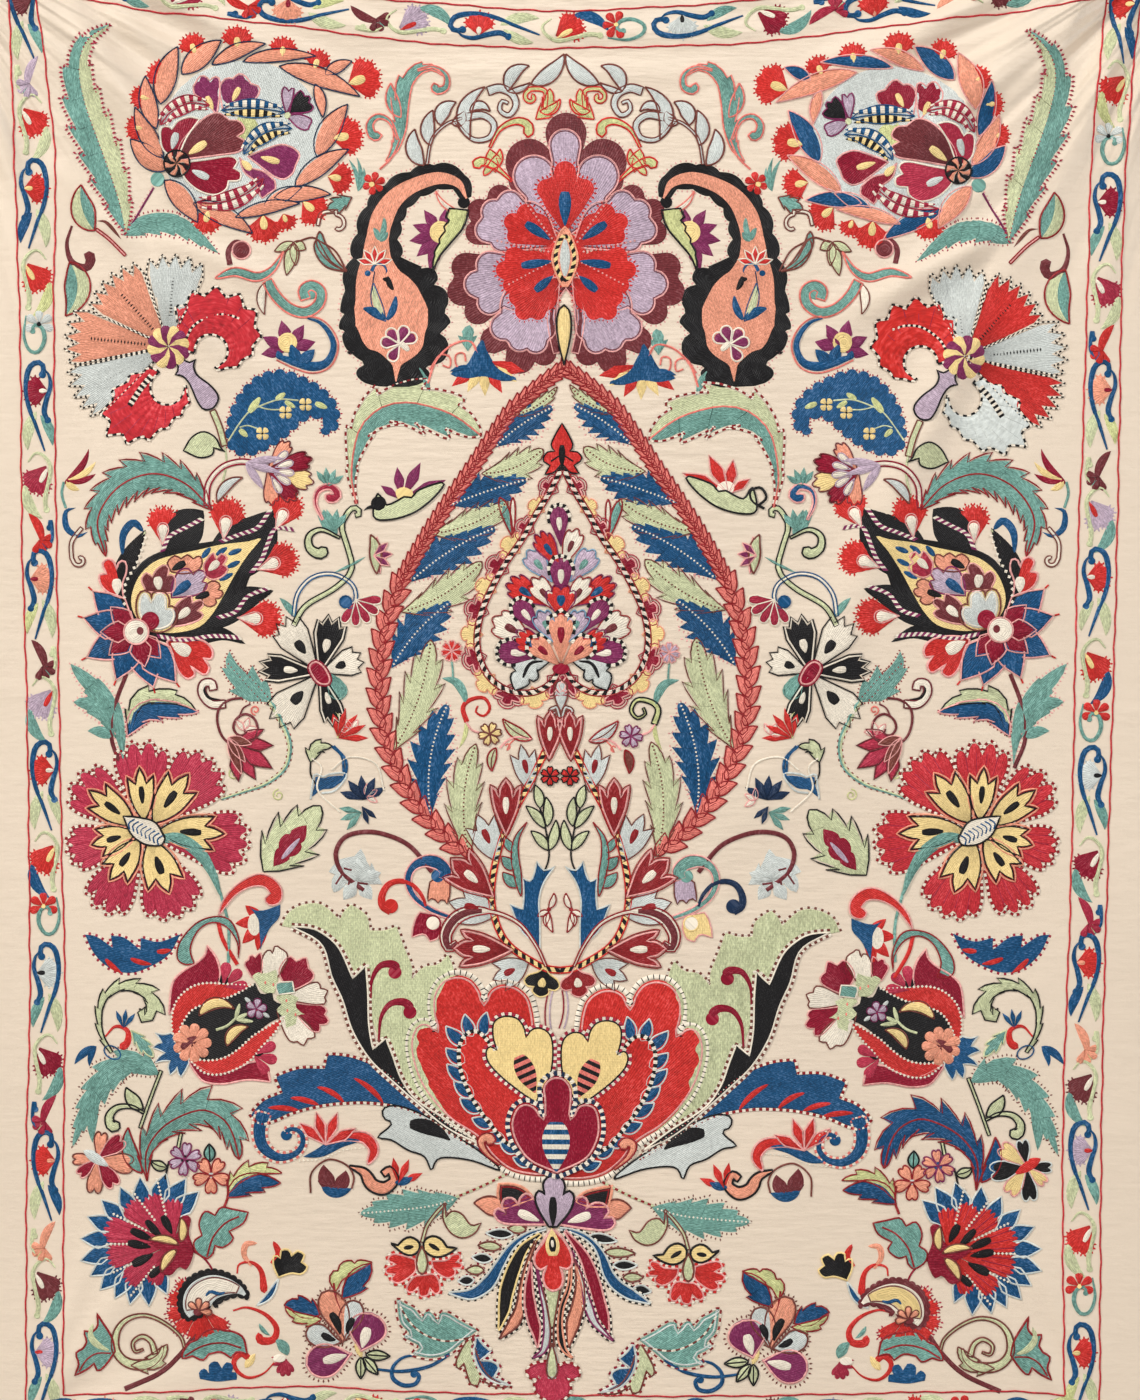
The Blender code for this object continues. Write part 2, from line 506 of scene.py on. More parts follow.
def dots(work, path, thread, pitch=5.0, size=2.0, out=0.0, closed=False, level=1.6, reach=None):
    """Small knots or picot stitches along a path. threads take turns. out moves them to the right."""
    if isinstance(thread, tuple) and len(thread) > 1:
        ladder(work, path, 0.95 * (size if reach is None else reach), thread, pitch, out, closed, level)
        return
    threads = thread if isinstance(thread, tuple) else (thread,)
    path = np.asarray(path, dtype=float)
    if closed:
        path = np.concatenate([path, path[:1]])
    count = max(2, int(round(path_length(path) / pitch)) + 1)
    middles = resample(path, count)
    side = normals(middles)
    if closed:
        middles = middles[:-1]
        side = side[:-1]
    middles = middles + side * out
    across = 0.5 * KNOT_WEIGHT * (size if reach is None else reach) * side
    along = 0.5 * KNOT_WEIGHT * size * np.stack([side[:, 1], -side[:, 0]], axis=1)
    corners = [middles - across, middles + along, middles + across, middles - along, middles]
    places = np.stack(corners, axis=1).reshape(-1, 2)
    high = STITCH + LAYER * level + RIDGE
    foot = ROOT if level < 1.2 else STITCH + LAYER * (level - 1.0)
    for index, name in enumerate(threads):
        chosen = np.arange(index, len(middles), len(threads))
        if not len(chosen):
            continue
        picked = (chosen[:, None] * 5 + np.arange(5)).reshape(-1)
        cells = work.put(places[picked])
        lifts = np.tile([foot, foot, foot, foot, high], len(chosen))
        faces = []
        for dot in range(len(chosen)):
            first = dot * 5
            faces += [(first + a, first + (a + 1) % 4, first + 4) for a in range(4)]
        work.add(cells, lifts, cells * 1.0, faces, name)


def strip(work, spine, left, right, thread, other=None, level=0.0, slant=0.0):
    """A filled stroke along a spine. left and right are half-widths. other is the right half's thread."""
    spine = np.asarray(spine, dtype=float)
    side = normals(spine)
    left = np.broadcast_to(np.asarray(left, dtype=float), (len(spine),))
    right = np.broadcast_to(np.asarray(right, dtype=float), (len(spine),))
    shares = np.array([-1.0, -0.72, 0.0, 0.72, 1.0])
    rise = STITCH + LAYER * level
    heights = np.array([ROOT, rise, rise + DOME, rise, ROOT])
    reach = np.where(shares[None, :] < 0.0, left[:, None], right[:, None]) * np.abs(shares)[None, :]
    reach = reach * np.sign(shares)[None, :]
    places = spine[:, None, :] + side[:, None, :] * reach[:, :, None]
    lifts = np.broadcast_to(heights, reach.shape).copy()
    narrow = np.clip((left + right) / 3.0, 0.0, 1.0)[:, None]
    lifts = ROOT + (lifts - ROOT) * (0.35 + 0.65 * narrow)
    steps = np.linalg.norm(np.diff(spine, axis=0), axis=1)
    along = np.concatenate([[0.0], np.cumsum(steps)])[:, None] * UNIT
    rows = np.stack([along + slant * np.abs(reach) * UNIT, reach * UNIT + 0.0 * along], axis=2)
    cells = work.put(places.reshape(-1, 2))
    faces = grid_faces(len(spine), 5)
    names = thread if other is None else [thread if face[0] % 5 < 2 else other for face in faces]
    work.add(cells, lifts.reshape(-1), rows.reshape(-1, 2), faces, names)


def rim(spine, left, right):
    """The outline of a stroke, clockwise from its start along the left side."""
    spine = np.asarray(spine, dtype=float)
    side = normals(spine)
    left = np.broadcast_to(np.asarray(left, dtype=float), (len(spine),))[:, None]
    right = np.broadcast_to(np.asarray(right, dtype=float), (len(spine),))[:, None]
    return np.concatenate([spine - side * left, (spine + side * right)[::-1]])


def patch(work, grid, thread, level=0.0):
    """A filled quad of points, rows by columns, whose border is its low rim."""
    rows, columns = grid.shape[:2]
    rise = STITCH + LAYER * level
    lifts = np.full((rows, columns), rise)
    lifts[1:-1, 1:-1] += DOME * 0.5
    lifts[0, :] = ROOT
    lifts[-1, :] = ROOT
    lifts[:, 0] = ROOT
    lifts[:, -1] = ROOT
    steps = np.linalg.norm(np.diff(grid, axis=0), axis=2)
    along = np.concatenate([np.zeros((1, columns)), np.cumsum(steps, axis=0)]) * UNIT
    breadth = np.linalg.norm(grid[:, 0] - grid[:, -1], axis=1).max() * UNIT
    across = np.broadcast_to(np.linspace(-0.5, 0.5, columns)[None, :] * breadth, (rows, columns))
    stitched = np.stack([along, across], axis=2).reshape(-1, 2)
    cells = work.put(grid.reshape(-1, 2))
    work.add(cells, lifts.reshape(-1), stitched, grid_faces(rows, columns), thread)


def border_of(grid):
    """The closed outline of a grid of points."""
    return np.concatenate([grid[:, 0], grid[-1, 1:], grid[-2::-1, -1], grid[0, -2:0:-1]])


def inside(outline, places):
    """Which places lie inside a closed outline."""
    x = places[:, 0][:, None]
    y = places[:, 1][:, None]
    ahead = np.roll(outline, -1, axis=0)
    span = ahead[:, 1] - outline[:, 1]
    span = np.where(np.abs(span) < 1e-12, 1e-12, span)
    crosses = (outline[:, 1][None] > y) != (ahead[:, 1][None] > y)
    at = outline[:, 0] + (y - outline[:, 1]) * (ahead[:, 0] - outline[:, 0]) / span
    return (crosses & (x < at)).sum(axis=1) % 2 == 1


def fill(work, outline, thread, rows=0.0, level=0.0, spacing=8.0, inset=1.0):
    """A filled shape with a rounded rim. rows is the thread heading, 'around', or a centre point."""
    outline = np.asarray(outline, dtype=float)
    keep = np.linalg.norm(outline - np.roll(outline, 1, axis=0), axis=1) > 0.05
    outline = outline[keep]
    ahead = np.roll(outline, -1, axis=0)
    if (outline[:, 0] * ahead[:, 1] - ahead[:, 0] * outline[:, 1]).sum() < 0.0:
        outline = outline[::-1]
    inner = outline + normals(outline, closed=True) * inset
    low = outline.min(axis=0)
    high = outline.max(axis=0)
    xs = np.arange(low[0] + 0.5 * spacing, high[0], spacing)
    ys = np.arange(low[1] + 0.5 * spacing, high[1], spacing * 0.866)
    mesh_x, mesh_y = np.meshgrid(xs, ys)
    mesh_x = mesh_x + (np.arange(len(ys)) % 2)[:, None] * spacing * 0.5
    seeds = np.stack([mesh_x.reshape(-1), mesh_y.reshape(-1)], axis=1)
    if len(seeds):
        gap = np.linalg.norm(seeds[:, None] - inner[None], axis=2).min(axis=1)
        seeds = seeds[inside(outline, seeds) & (gap > 0.55 * spacing)]
    flat = np.concatenate([inner, seeds]) if len(seeds) else inner
    loop = list(range(len(inner)))
    made = delaunay_2d_cdt([tuple(p) for p in flat], [], [loop], 1, 1e-5)
    middle = np.array([tuple(p) for p in made[0]])
    if not len(middle):
        return
    count = len(outline)
    places = np.concatenate([outline, inner, middle])
    rise = STITCH + LAYER * level
    gap = np.linalg.norm(middle[:, None] - outline[None], axis=2).min(axis=1)
    lifts = np.concatenate([np.full(count, ROOT), np.full(count, rise),
                            rise + DOME * np.clip(gap / 6.0, 0.0, 1.0)])
    lifts[2 * count:][gap < 1.6 * inset] = rise
    faces = [(i, (i + 1) % count, count + (i + 1) % count, count + i) for i in range(count)]
    faces += [tuple(2 * count + corner for corner in face) for face in made[2]]
    if isinstance(rows, str):
        near = np.linalg.norm(places[:, None] - outline[None], axis=2).min(axis=1)
        stitched = np.stack([places @ np.array([0.7, 0.7]), near], axis=1) * UNIT
    elif isinstance(rows, (tuple, list, np.ndarray)):
        out = places - np.array(rows, dtype=float)
        distance = np.linalg.norm(out, axis=1)
        facing = out.mean(axis=0)
        angle = np.arctan2(out[:, 1] * facing[0] - out[:, 0] * facing[1], out @ facing)
        stitched = np.stack([distance, angle * distance.mean()], axis=1) * UNIT
    else:
        way = aim(rows)
        stitched = np.stack([places @ way, places @ np.array([-way[1], way[0]])], axis=1) * UNIT
    work.add(work.put(places), lifts, stitched, faces, thread)


# Parts of motifs.


def stroke(work, spine, width, thread, kind="leaf", peak=0.5, edge=None, other=None, level=0.0,
           edge_width=1.5, slant=0.0):
    """A smooth stroke of changing width: a leaf, drop, horn, hook or stem."""
    spine = np.asarray(spine, dtype=float)
    share = np.linspace(0.0, 1.0, len(spine))
    half = np.maximum(0.5 * width * girth(kind, share, peak), 0.15)
    strip(work, spine, half, half, thread, other, level, slant)
    if edge:
        line(work, rim(spine, half, half), edge, edge_width, closed=True, level=level + 1.0)
    return rim(spine, half, half)


def leaf(work, base, tip, width, thread, bend=0.0, kind="leaf", peak=0.45, edge=None, other=None,
         vein=None, level=0.0, count=13, edge_width=1.5):
    """A simple leaf or drop between two chart places."""
    spine = bow(base, tip, bend, count)
    outline = stroke(work, spine, width, thread, kind, peak, edge, other, level, edge_width)
    if vein:
        line(work, spine[1:-1], vein, 1.3, level=level + 1.2)
    return outline


def toothed(work, spine, width, thread, teeth=7, depth=0.45, kind="leaf", peak=0.45, other=None,
            edge=None, picot=None, vein=None, level=0.0, lean=0.6, round_lobes=False, sides="both",
            edge_width=1.3, pitch=4.5, ribs=None, balance=1.0):
    """A leaf with a toothed or lobed margin, worked along a spine. balance widens its right half."""
    per_tooth = 5 if round_lobes else 4
    phase = np.linspace(0.0, 1.0, per_tooth,
                        endpoint=False) if round_lobes else np.array([0.0, 0.35, 0.7, 0.98])
    share = (np.arange(teeth)[:, None] + phase[None, :]).reshape(-1) / teeth
    share = np.concatenate([share, [1.0]])
    phases = np.concatenate([np.tile(phase, teeth), [0.0]])
    spine = curve(spine, 60) if len(spine) < 10 else np.asarray(spine, dtype=float)
    steps = np.linspace(0.0, 1.0, len(spine))
    fine = np.stack([np.interp(share, steps, spine[:, 0]), np.interp(share, steps, spine[:, 1])], axis=1)
    half = 0.5 * width * girth(kind, share, peak)
    if round_lobes:
        cut = 1.0 - depth * (1.0 - np.sin(math.pi * phases) ** 0.6)
    else:
        cut = 1.0 - depth * (1.0 - phases)
    left = np.maximum(half * (cut if sides != "right" else 1.0), 0.15)
    right = np.maximum(half * balance * (cut if sides != "left" else 1.0), 0.15)
    # The teeth lean towards the tip, so the margin's points move ahead along the spine.
    side = normals(resample(spine, len(share)))
    ahead = np.stack([side[:, 1], -side[:, 0]], axis=1)
    farthest = 0.42 * path_length(spine) / teeth
    push = (phases * np.minimum(lean * half * depth, farthest))[:, None]
    cells = []
    for sign, reach in ((-1.0, left), (1.0, right)):
        margin = fine + sign * side * reach[:, None] + ahead * push
        cells.append(margin)
    grid = np.stack(
        [
            cells[0],
            fine + (cells[0] - fine) * 0.74,
            fine,
            fine + (cells[1] - fine) * 0.74,
            cells[1],
        ],
        axis=1,
    )
    rise = STITCH + LAYER * level
    lifts = np.broadcast_to(np.array([ROOT, rise, rise + DOME, rise, ROOT]), grid.shape[:2]).reshape(-1)
    out = np.linalg.norm(grid - fine[:, None], axis=2) * np.array([-1.0, -1.0, 0.0, 1.0, 1.0])
    along = share[:, None] * path_length(spine) + np.abs(out) * 0.8
    rows = np.stack([along, out], axis=2).reshape(-1, 2) * UNIT
    placed = work.put(grid.reshape(-1, 2))
    faces = grid_faces(len(fine), 5)
    names = thread if other is None else [thread if face[0] % 5 < 2 else other for face in faces]
    work.add(placed, lifts, rows, faces, names)
    outline = np.concatenate([cells[0], cells[1][::-1]])
    if edge:
        line(work, outline, edge, edge_width, closed=True, level=level + 1.0)
    if picot:
        dots(work, outline, picot, pitch, 1.8, out=-1.0, closed=True, level=level, reach=3.6)
    if ribs:
        for tooth in range(1, teeth):
            at = tooth * per_tooth
            for margin in cells:
                end = fine[at] + (margin[min(at + per_tooth - 2, len(margin) - 1)] - fine[at]) * 0.72
                line(work, np.stack([fine[at], 0.5 * (fine[at] + end), end]), ribs, 1.2, level=level + 1.1)
    if vein:
        if isinstance(vein, tuple):
            dots(work, fine[1:-1], vein, 4.0, 2.1, level=level + 1.6)
        else:
            line(work, fine[:-1], vein, 1.6, level=level + 1.3)
    return outline


def curled_fan(work, hole, inner, reaches, thread, teeth, level=0.0, picot=None, tooth=0.09):
    """A fan petal that curls round a hole. reaches are headings, each with its distance from the hole."""
    headings, distances = np.array(reaches, dtype=float).T
    count = 2 * teeth + 1
    share = np.linspace(0.0, 1.0, count)
    turns = np.radians(np.interp(share, np.linspace(0.0, 1.0, len(headings)), headings))
    reach = np.interp(share, np.linspace(0.0, 1.0, len(headings)), distances)
    reach = np.maximum(reach * (1.0 - tooth * (np.arange(count) % 2 == 0)), inner + 1.0)
    rays = np.stack([np.sin(turns), -np.cos(turns)], axis=1)
    out = np.array([0.0, 0.06, 0.3, 0.6, 0.92, 1.0])[:, None]
    radius = inner + (reach[None, :] - inner) * out
    grid = np.array(hole, dtype=float) + rays[None] * radius[:, :, None]
    patch(work, grid, thread, level)
    if picot:
        dots(work, border_of(grid), picot, 4.2, 1.4, out=-0.4, closed=True, level=level + 0.6, reach=2.2)


RIMS = {
    "round": (1, 0.0),
    "heart": (2, 0.16),
    "three": (3, 0.16),
    "four": (4, 0.14),
    "five": (5, 0.13),
    "barbs": (3, 0.17),
    "spikes": (4, 0.13),
    "crown": (5, 0.12),
}
POINTED_RIMS = ("barbs", "spikes", "crown")


def petal(work, base, heading, length, spread, thread, tip="round", edge=None, level=0.0, start=0.0,
          bend=0.0, drop=None, picot=None, edge_width=1.5, shoulder=0.32, drop_span=(0.15, 0.62),
          drop_width=0.34, drop_edge=None, teeth_depth=0.06, tooth_gap=7.0):
    """One fan petal that widens from its base. spread is its whole angle, in degrees."""
    base = np.array(base, dtype=float)
    if tip == "saw":
        lobes = max(3, int(round(length * math.radians(spread) / tooth_gap)))
        columns = 2 * lobes + 1
    elif tip == "point":
        lobes = 1
        columns = 9
    else:
        lobes, depth = RIMS[tip]
        columns = 9 if lobes == 1 else 2 * lobes + 1 if tip in POINTED_RIMS else 4 * lobes + 5
    share = np.linspace(-1.0, 1.0, columns)
    reach = 1.0 - shoulder * np.abs(share) ** 2.6
    if tip == "saw":
        reach = reach * (1.0 - teeth_depth * (np.arange(columns) % 2 == 0))
    elif tip == "point":
        reach = 1.0 - 0.42 * np.abs(share) ** 0.8
    elif lobes > 1:
        crest = np.abs(np.sin(0.5 * lobes * math.pi * (share + 1.0)))
        crest = 1.0 - np.abs(1.0 - (lobes * (share + 1.0)) % 2.0) if tip in POINTED_RIMS else crest ** 0.7
        reach = reach * (1.0 - depth * (1.0 - crest))
    rows = max(3, int(length / 14.0) + 1)
    out = np.concatenate([[0.0], np.linspace(0.06, 0.90, rows), [1.0]])[:, None]
    angle = math.radians(heading) + math.radians(0.5 * spread) * share[None, :]
    angle = angle + math.radians(bend) * (start + out * (1.0 - start)) ** 2
    radius = length * (start + out * (reach[None, :] - start))
    grid = np.stack([base[0] + radius * np.sin(angle), base[1] - radius * np.cos(angle)], axis=2)
    if start == 0.0:
        grid[0] = base + 0.02 * (grid[1] - base)
    patch(work, grid, thread, level)
    outline = border_of(grid)
    if edge:
        line(work, outline, edge, edge_width, closed=True, level=level + 1.0)
    if picot:
        margin = grid[-1]
        dots(work, margin, picot, 4.4, 2.2, out=-0.4, level=level + 0.6, reach=3.8)
    if drop:
        middle = math.radians(heading)
        share_at = np.linspace(drop_span[0], drop_span[1], 9)
        turned = middle + math.radians(bend) * share_at ** 2
        spine = np.stack(
            [base[0] + length * share_at * np.sin(turned), base[1] - length * share_at * np.cos(turned)],
            axis=1
        )
        width = drop_width * length * math.radians(spread)
        stroke(work, spine, width, drop, "drop", 0.6, edge=drop_edge, level=level + 1.2, edge_width=1.2)
    return outline


def flower(work, centre, headings, length, spread, threads, **looks):
    """Petals set round a centre, their threads taking turns."""
    for index, heading in enumerate(headings):
        picked = {key: value[index % len(value)] if isinstance(value, list) else value for key,
                  value in looks.items()}
        raised = picked.pop("level", 0.0) + 2.0 * (index % 2)
        petal(work, centre, heading, length, spread, threads[index % len(threads)], level=raised, **picked)


def ring(count, first=0.0, sweep=360.0):
    """Evenly spaced headings. A sweep under 360 degrees takes in both its ends."""
    gaps = count if sweep >= 360.0 else max(count - 1, 1)
    return [first + sweep * index / gaps for index in range(count)]


def fan(count, middle, sweep):
    """Evenly spaced headings about a middle one."""
    return [middle + sweep * (index / max(count - 1, 1) - 0.5) for index in range(count)]


def disc(work, centre, size, thread, edge=None, level=2.0, across=None, turn=0.0):
    """A round or oval knot."""
    outline = oval(centre, across or size, size, 12 if size < 14 else 20, turn)
    fill(work, outline, thread, "around", level, inset=min(1.0, 0.22 * size))
    if edge:
        line(work, outline, edge, 1.4, closed=True, level=level + 1.0)


def pinwheel(work, centre, radius, first, second, blades=8, edge="ivory", level=2.4):
    """A small turning wheel of two threads."""
    for index, heading in enumerate(ring(2 * blades)):
        thread = (first, second)[index % 2]
        petal(work, centre, heading, radius, 180.0 / blades, thread, shoulder=0.0, bend=28.0, level=level)
    line(work, oval(centre, 2 * radius, 2 * radius, 20), edge, 1.4, closed=True, level=level + 1.0)


def stem(work, places, width, thread, edge=None, kind="stem", level=0.0, count=26, picot=None):
    """A stalk or tendril through chart places."""
    spine = curve(places, count)
    outline = stroke(work, spine, width, thread, kind, edge=edge, level=level, edge_width=1.2)
    if picot:
        dots(work, spine, picot, 4.6, 1.8, out=0.5 * width + 0.8, level=level)
    return outline


def curl(work, places, centre, radius, start_heading, turn, width, thread, edge=None, level=0.0,
         kind="stem"):
    """A stalk that ends in a small spiral."""
    coil = spiral(centre, radius, 0.25 * radius, start_heading, turn, 16)
    spine = resample(np.concatenate([curve(list(places) + [coil[0]], 20)[:-1], coil]), 40)
    stroke(work, spine, width, thread, kind, edge=edge, level=level, edge_width=1.2)


def rope(work, path, width, thread_a, thread_b, pitch=5.0, level=1.0, closed=False, slant=1.0, out=0.0):
    """A twisted cord of two threads, worked as slanting stitches."""
    path = np.asarray(path, dtype=float)
    if closed:
        path = np.concatenate([path, path[:1]])
    count = max(2, int(path_length(path) / pitch))
    middles = resample(path, count + 1)
    side = normals(middles)
    middles = middles + side * out
    along = np.stack([side[:, 1], -side[:, 0]], axis=1)
    early = 1.0 + 0.7 * slant
    late = 1.0 - 0.7 * slant
    for index, name in ((0, thread_a), (1, thread_b)):
        cells = []
        for at in range(index, count, 2):
            middle = 0.5 * (middles[at] + middles[at + 1])
            across = side[at] * 0.5 * width
            lead = along[at] * 0.5 * pitch
            cells.append([
                middle - across - early * lead, middle - across + late * lead,
                middle + across + early * lead, middle + across - late * lead, middle,
            ])
        if not cells:
            continue
        places = work.put(np.array(cells).reshape(-1, 2))
        high = STITCH + LAYER * level + RIDGE
        foot = ROOT if level < 1.2 else STITCH + LAYER * (level - 1.0)
        lifts = np.tile([foot, foot, foot, foot, high], len(cells))
        faces = []
        for cell in range(len(cells)):
            faces += [(cell * 5 + a, cell * 5 + (a + 1) % 4, cell * 5 + 4) for a in range(4)]
        work.add(places, lifts, places * 1.0, faces, name)


def ladder(work, path, width, threads, pitch=4.0, out=0.0, closed=False, level=1.6):
    """A line of short stitches set across it, its two threads taking turns."""
    rope(work, path, width, threads[0], threads[1], pitch, level + 0.4, closed, 0.0, out)


def braid(work, path, length, width, thread, edge, spread=32.0, pitch=12.0):
    """Leaflets laid by turns on both sides of a path, like an ear of grain."""
    path = np.asarray(path, dtype=float)
    count = int(path_length(path) / pitch)
    middles = resample(path, 2 * count + 1)
    for at in range(2 * count):
        sign = -1.0 if at % 2 else 1.0
        way = heading_of(middles[at], middles[at + 1])
        base = middles[at] - aim(way) * 0.1 * length
        tip = base + aim(way + spread * sign) * length
        spine = bow(base, tip, -0.10 * sign, 8)
        outline = stroke(work, spine, width, thread, "leaf", 0.40, level=0.4 + 0.25 * (at % 2))
        line(work, outline, edge, 1.2, closed=True, level=1.4)
        line(work, spine[1:5], edge, 0.9, level=1.6)


def striped(work, spine, width, thread_a, thread_b, count=9, kind="leaf", peak=0.5, edge=None, level=1.0):
    """A stroke banded across in two threads."""
    share = np.linspace(0.0, 1.0, 2 * count + 1)
    spine = resample(np.asarray(spine, dtype=float), 2 * count + 1)
    half = np.maximum(0.5 * width * girth(kind, share, peak), 0.15)
    for index in range(count):
        cut = slice(2 * index, 2 * index + 3)
        strip(work, spine[cut], half[cut], half[cut], (thread_a, thread_b)[index % 2], level=level)
    if edge:
        line(work, rim(spine, half, half), edge, 1.3, closed=True, level=level + 1.0)
    return rim(spine, half, half)


def lobed_outline(centre, point, discs, count=90):
    """The outline of a lobed head: every disc (x, y, radius) is joined to the point by its own taper."""
    centre = np.array(centre, dtype=float)
    point = np.array(point, dtype=float)
    turns = np.linspace(0.0, 2.0 * math.pi, count, endpoint=False)
    rays = np.stack([np.sin(turns), -np.cos(turns)], axis=1)
    reach = np.full(count, 2.0)
    for x, y, radius in discs:
        middle = np.array((x, y), dtype=float)
        away = middle - point
        distance = float(np.linalg.norm(away))
        facing = math.atan2(away[0], -away[1])
        swing = math.acos(min(0.999, radius / distance))
        ends = [facing + math.pi + swing, facing + math.pi - swing]
        arc = np.linspace(ends[0], ends[0] + 2.0 * math.pi - 2.0 * swing, 17)
        loop = np.concatenate([middle + radius * np.stack([np.sin(arc), -np.cos(arc)], axis=1), [point]])
        ahead = np.roll(loop, -1, axis=0)
        edge = ahead - loop
        for index, ray in enumerate(rays):
            cross = ray[0] * edge[:, 1] - ray[1] * edge[:, 0]
            cross = np.where(np.abs(cross) < 1e-9, 1e-9, cross)
            from_centre = loop - centre
            out = (from_centre[:, 0] * edge[:, 1] - from_centre[:, 1] * edge[:, 0]) / cross
            share = (from_centre[:, 0] * ray[1] - from_centre[:, 1] * ray[0]) / cross
            hit = out[(share >= 0.0) & (share <= 1.0) & (out > 0.0)]
            if len(hit):
                reach[index] = max(reach[index], float(hit.max()))
    return centre + rays * reach[:, None]


def lobed(work, point, discs, thread, level=0.0, edge=None, edge_width=1.5, picot=None, grow=0.0,
          inset_line=None, count=64, spacing=9.0):
    """A filled head of overlapping discs that all taper to one point. grow swells every disc."""
    swollen = [(x, y, radius + grow) for x, y, radius in discs]
    middle = np.mean([(x, y) for x, y, radius in discs], axis=0)
    middle = middle + (np.array(point) - middle) * 0.2
    outline = lobed_outline(middle, point, swollen, count)
    fill(work, outline, thread, point, level, spacing=spacing)
    if edge:
        line(work, outline, edge, edge_width, closed=True, level=level + 1.0)
    if inset_line:
        line(work, outline + normals(outline, True) * 3.0, inset_line, 1.4, closed=True, level=level + 1.2)
    if picot:
        dots(work, outline, picot, 4.6, 1.8, out=-1.0, closed=True, level=level, reach=3.6)
    return outline


def clockwise(outline):
    """The same closed outline, turned to run clockwise on the chart."""
    ahead = np.roll(outline, -1, axis=0)
    area = (outline[:, 0] * ahead[:, 1] - ahead[:, 0] * outline[:, 1]).sum()
    return outline[::-1] if area < 0.0 else outline


def arc_outline(*arcs, step=3.8):
    """A closed outline of smooth arcs. Each arc ends in a corner, where the next one starts."""
    start = arcs[-1][-1]
    parts = []
    for arc in arcs:
        rough = curve([start] + list(arc), 40)
        parts.append(resample(rough, max(3, int(round(path_length(rough) / step)) + 1))[:-1])
        start = arc[-1]
    return clockwise(np.concatenate(parts))


def edging(work, outline, level=0.0, edge=None, edge_width=1.2, bars=None, inner=None, picot=None,
           inset=3.0, out=1.6):
    """The lines of a filled shape: its outline, the bars or picots outside it and a line inside."""
    if edge:
        apart = 1.6 if inner and inset < 2.5 else 0.0
        line(work, outline - normals(outline, True) * apart, edge, edge_width, closed=True,
             level=level + 1.0)
    if bars:
        ladder(work, outline, 3.6, bars, 3.4, -out, True, level + 0.4)
    if picot:
        dots(work, outline, picot, 4.4, 1.8, out=-1.0, closed=True, level=level, reach=3.6)
    if inner:
        line(work, outline + normals(outline, True) * inset, inner, 1.4, closed=True, level=level + 1.2)


def cutwork(work, arcs, thread, rows=0.0, level=0.0, spacing=9.0, **lines):
    """A filled shape between arcs, with its lines."""
    outline = arc_outline(*arcs)
    fill(work, outline, thread, rows, level, spacing=spacing)
    edging(work, outline, level, **lines)
    return outline


def scalloped(outline, chord, height):
    """An outline swollen into even round scallops."""
    closed = np.concatenate([outline, outline[:1]])
    count = max(3, int(round(path_length(closed) / chord)))
    path = resample(closed, 5 * count + 1)[:-1]
    swell = np.abs(np.sin(math.pi * np.arange(5 * count) / 5.0)) ** 0.6
    return path - normals(path, True) * (height * swell)[:, None]


HEADS = {
    # Half of each head in arcs, as shares of its length and of its width. The other half mirrors it.
    "tulip": ([(0.20, 0.18), (0.48, 0.40), (0.74, 0.50), (0.88, 0.52)], [(0.80, 0.34), (0.68, 0.24)],
              [(0.84, 0.20), (1.0, 0.0)]),
    "iris": ([(0.20, 0.26), (0.46, 0.44), (0.84, 0.50)], [(0.76, 0.32), (0.70, 0.20)],
             [(0.84, 0.15), (1.0, 0.0)]),
    "clover": ([(0.22, 0.16), (0.36, 0.40), (0.56, 0.50), (0.72, 0.38), (0.70, 0.20)],
               [(0.84, 0.24), (0.96, 0.12), (1.0, 0.0)]),
    "lance": ([(0.30, 0.42), (0.52, 0.48), (0.80, 0.22), (1.0, 0.0)],),
    "fork": ([(0.26, 0.20), (0.60, 0.44), (1.0, 0.40)], [(0.92, 0.18), (0.74, 0.0)]),
}


def head(work, base, heading, length, width, thread, plan="tulip", drop=None, drop_span=(0.34, 0.70),
         drop_width=0.30,
         level=0.0, rows=None, **lines):
    """A flower head that opens from its base. Its plan gives the lobes."""
    base = np.array(base, dtype=float)
    way = aim(heading)
    side = np.array([-way[1], way[0]])
    half = [[(a, b) for a, b in arc] for arc in HEADS[plan]]
    back = []
    end = (0.0, 0.0)
    for arc in half:
        back.insert(0, [(a, -b) for a, b in ([end] + arc[:-1])[::-1]])
        end = arc[-1]
    placed = [[base + way * length * a + side * width * b for a, b in arc] for arc in half + back]
    outline = arc_outline(*placed, step=3.2)
    fill(work, outline, thread, tuple(base) if rows is None else rows, level, spacing=8.0)
    edging(work, outline, level, **lines)
    if drop:
        near = base + way * length * drop_span[0]
        far = base + way * length * drop_span[1]
        leaf(work, near, far, drop_width * width, drop, kind="drop", peak=0.62, level=level + 1.2)
    return outline


# Finishes.


def group_tree(name, inputs, outputs):
    """A new shader node group with named sockets."""
    tree = bpy.data.node_groups.new(name, "ShaderNodeTree")
    for label, kind, value in inputs:
        socket = tree.interface.new_socket(label, in_out="INPUT", socket_type=kind)
        socket.default_value = value
    for label, kind in outputs:
        tree.interface.new_socket(label, in_out="OUTPUT", socket_type=kind)
    return tree, tree.nodes.new("NodeGroupInput"), tree.nodes.new("NodeGroupOutput")


def sums(tree, operation, *values):
    """A Math node fed by numbers or sockets."""
    node = tree.nodes.new("ShaderNodeMath")
    node.operation = operation
    for slot, value in enumerate(values):
        if isinstance(value, (int, float)):
            node.inputs[slot].default_value = value
        else:
            tree.links.new(value, node.inputs[slot])
    return node.outputs[0]


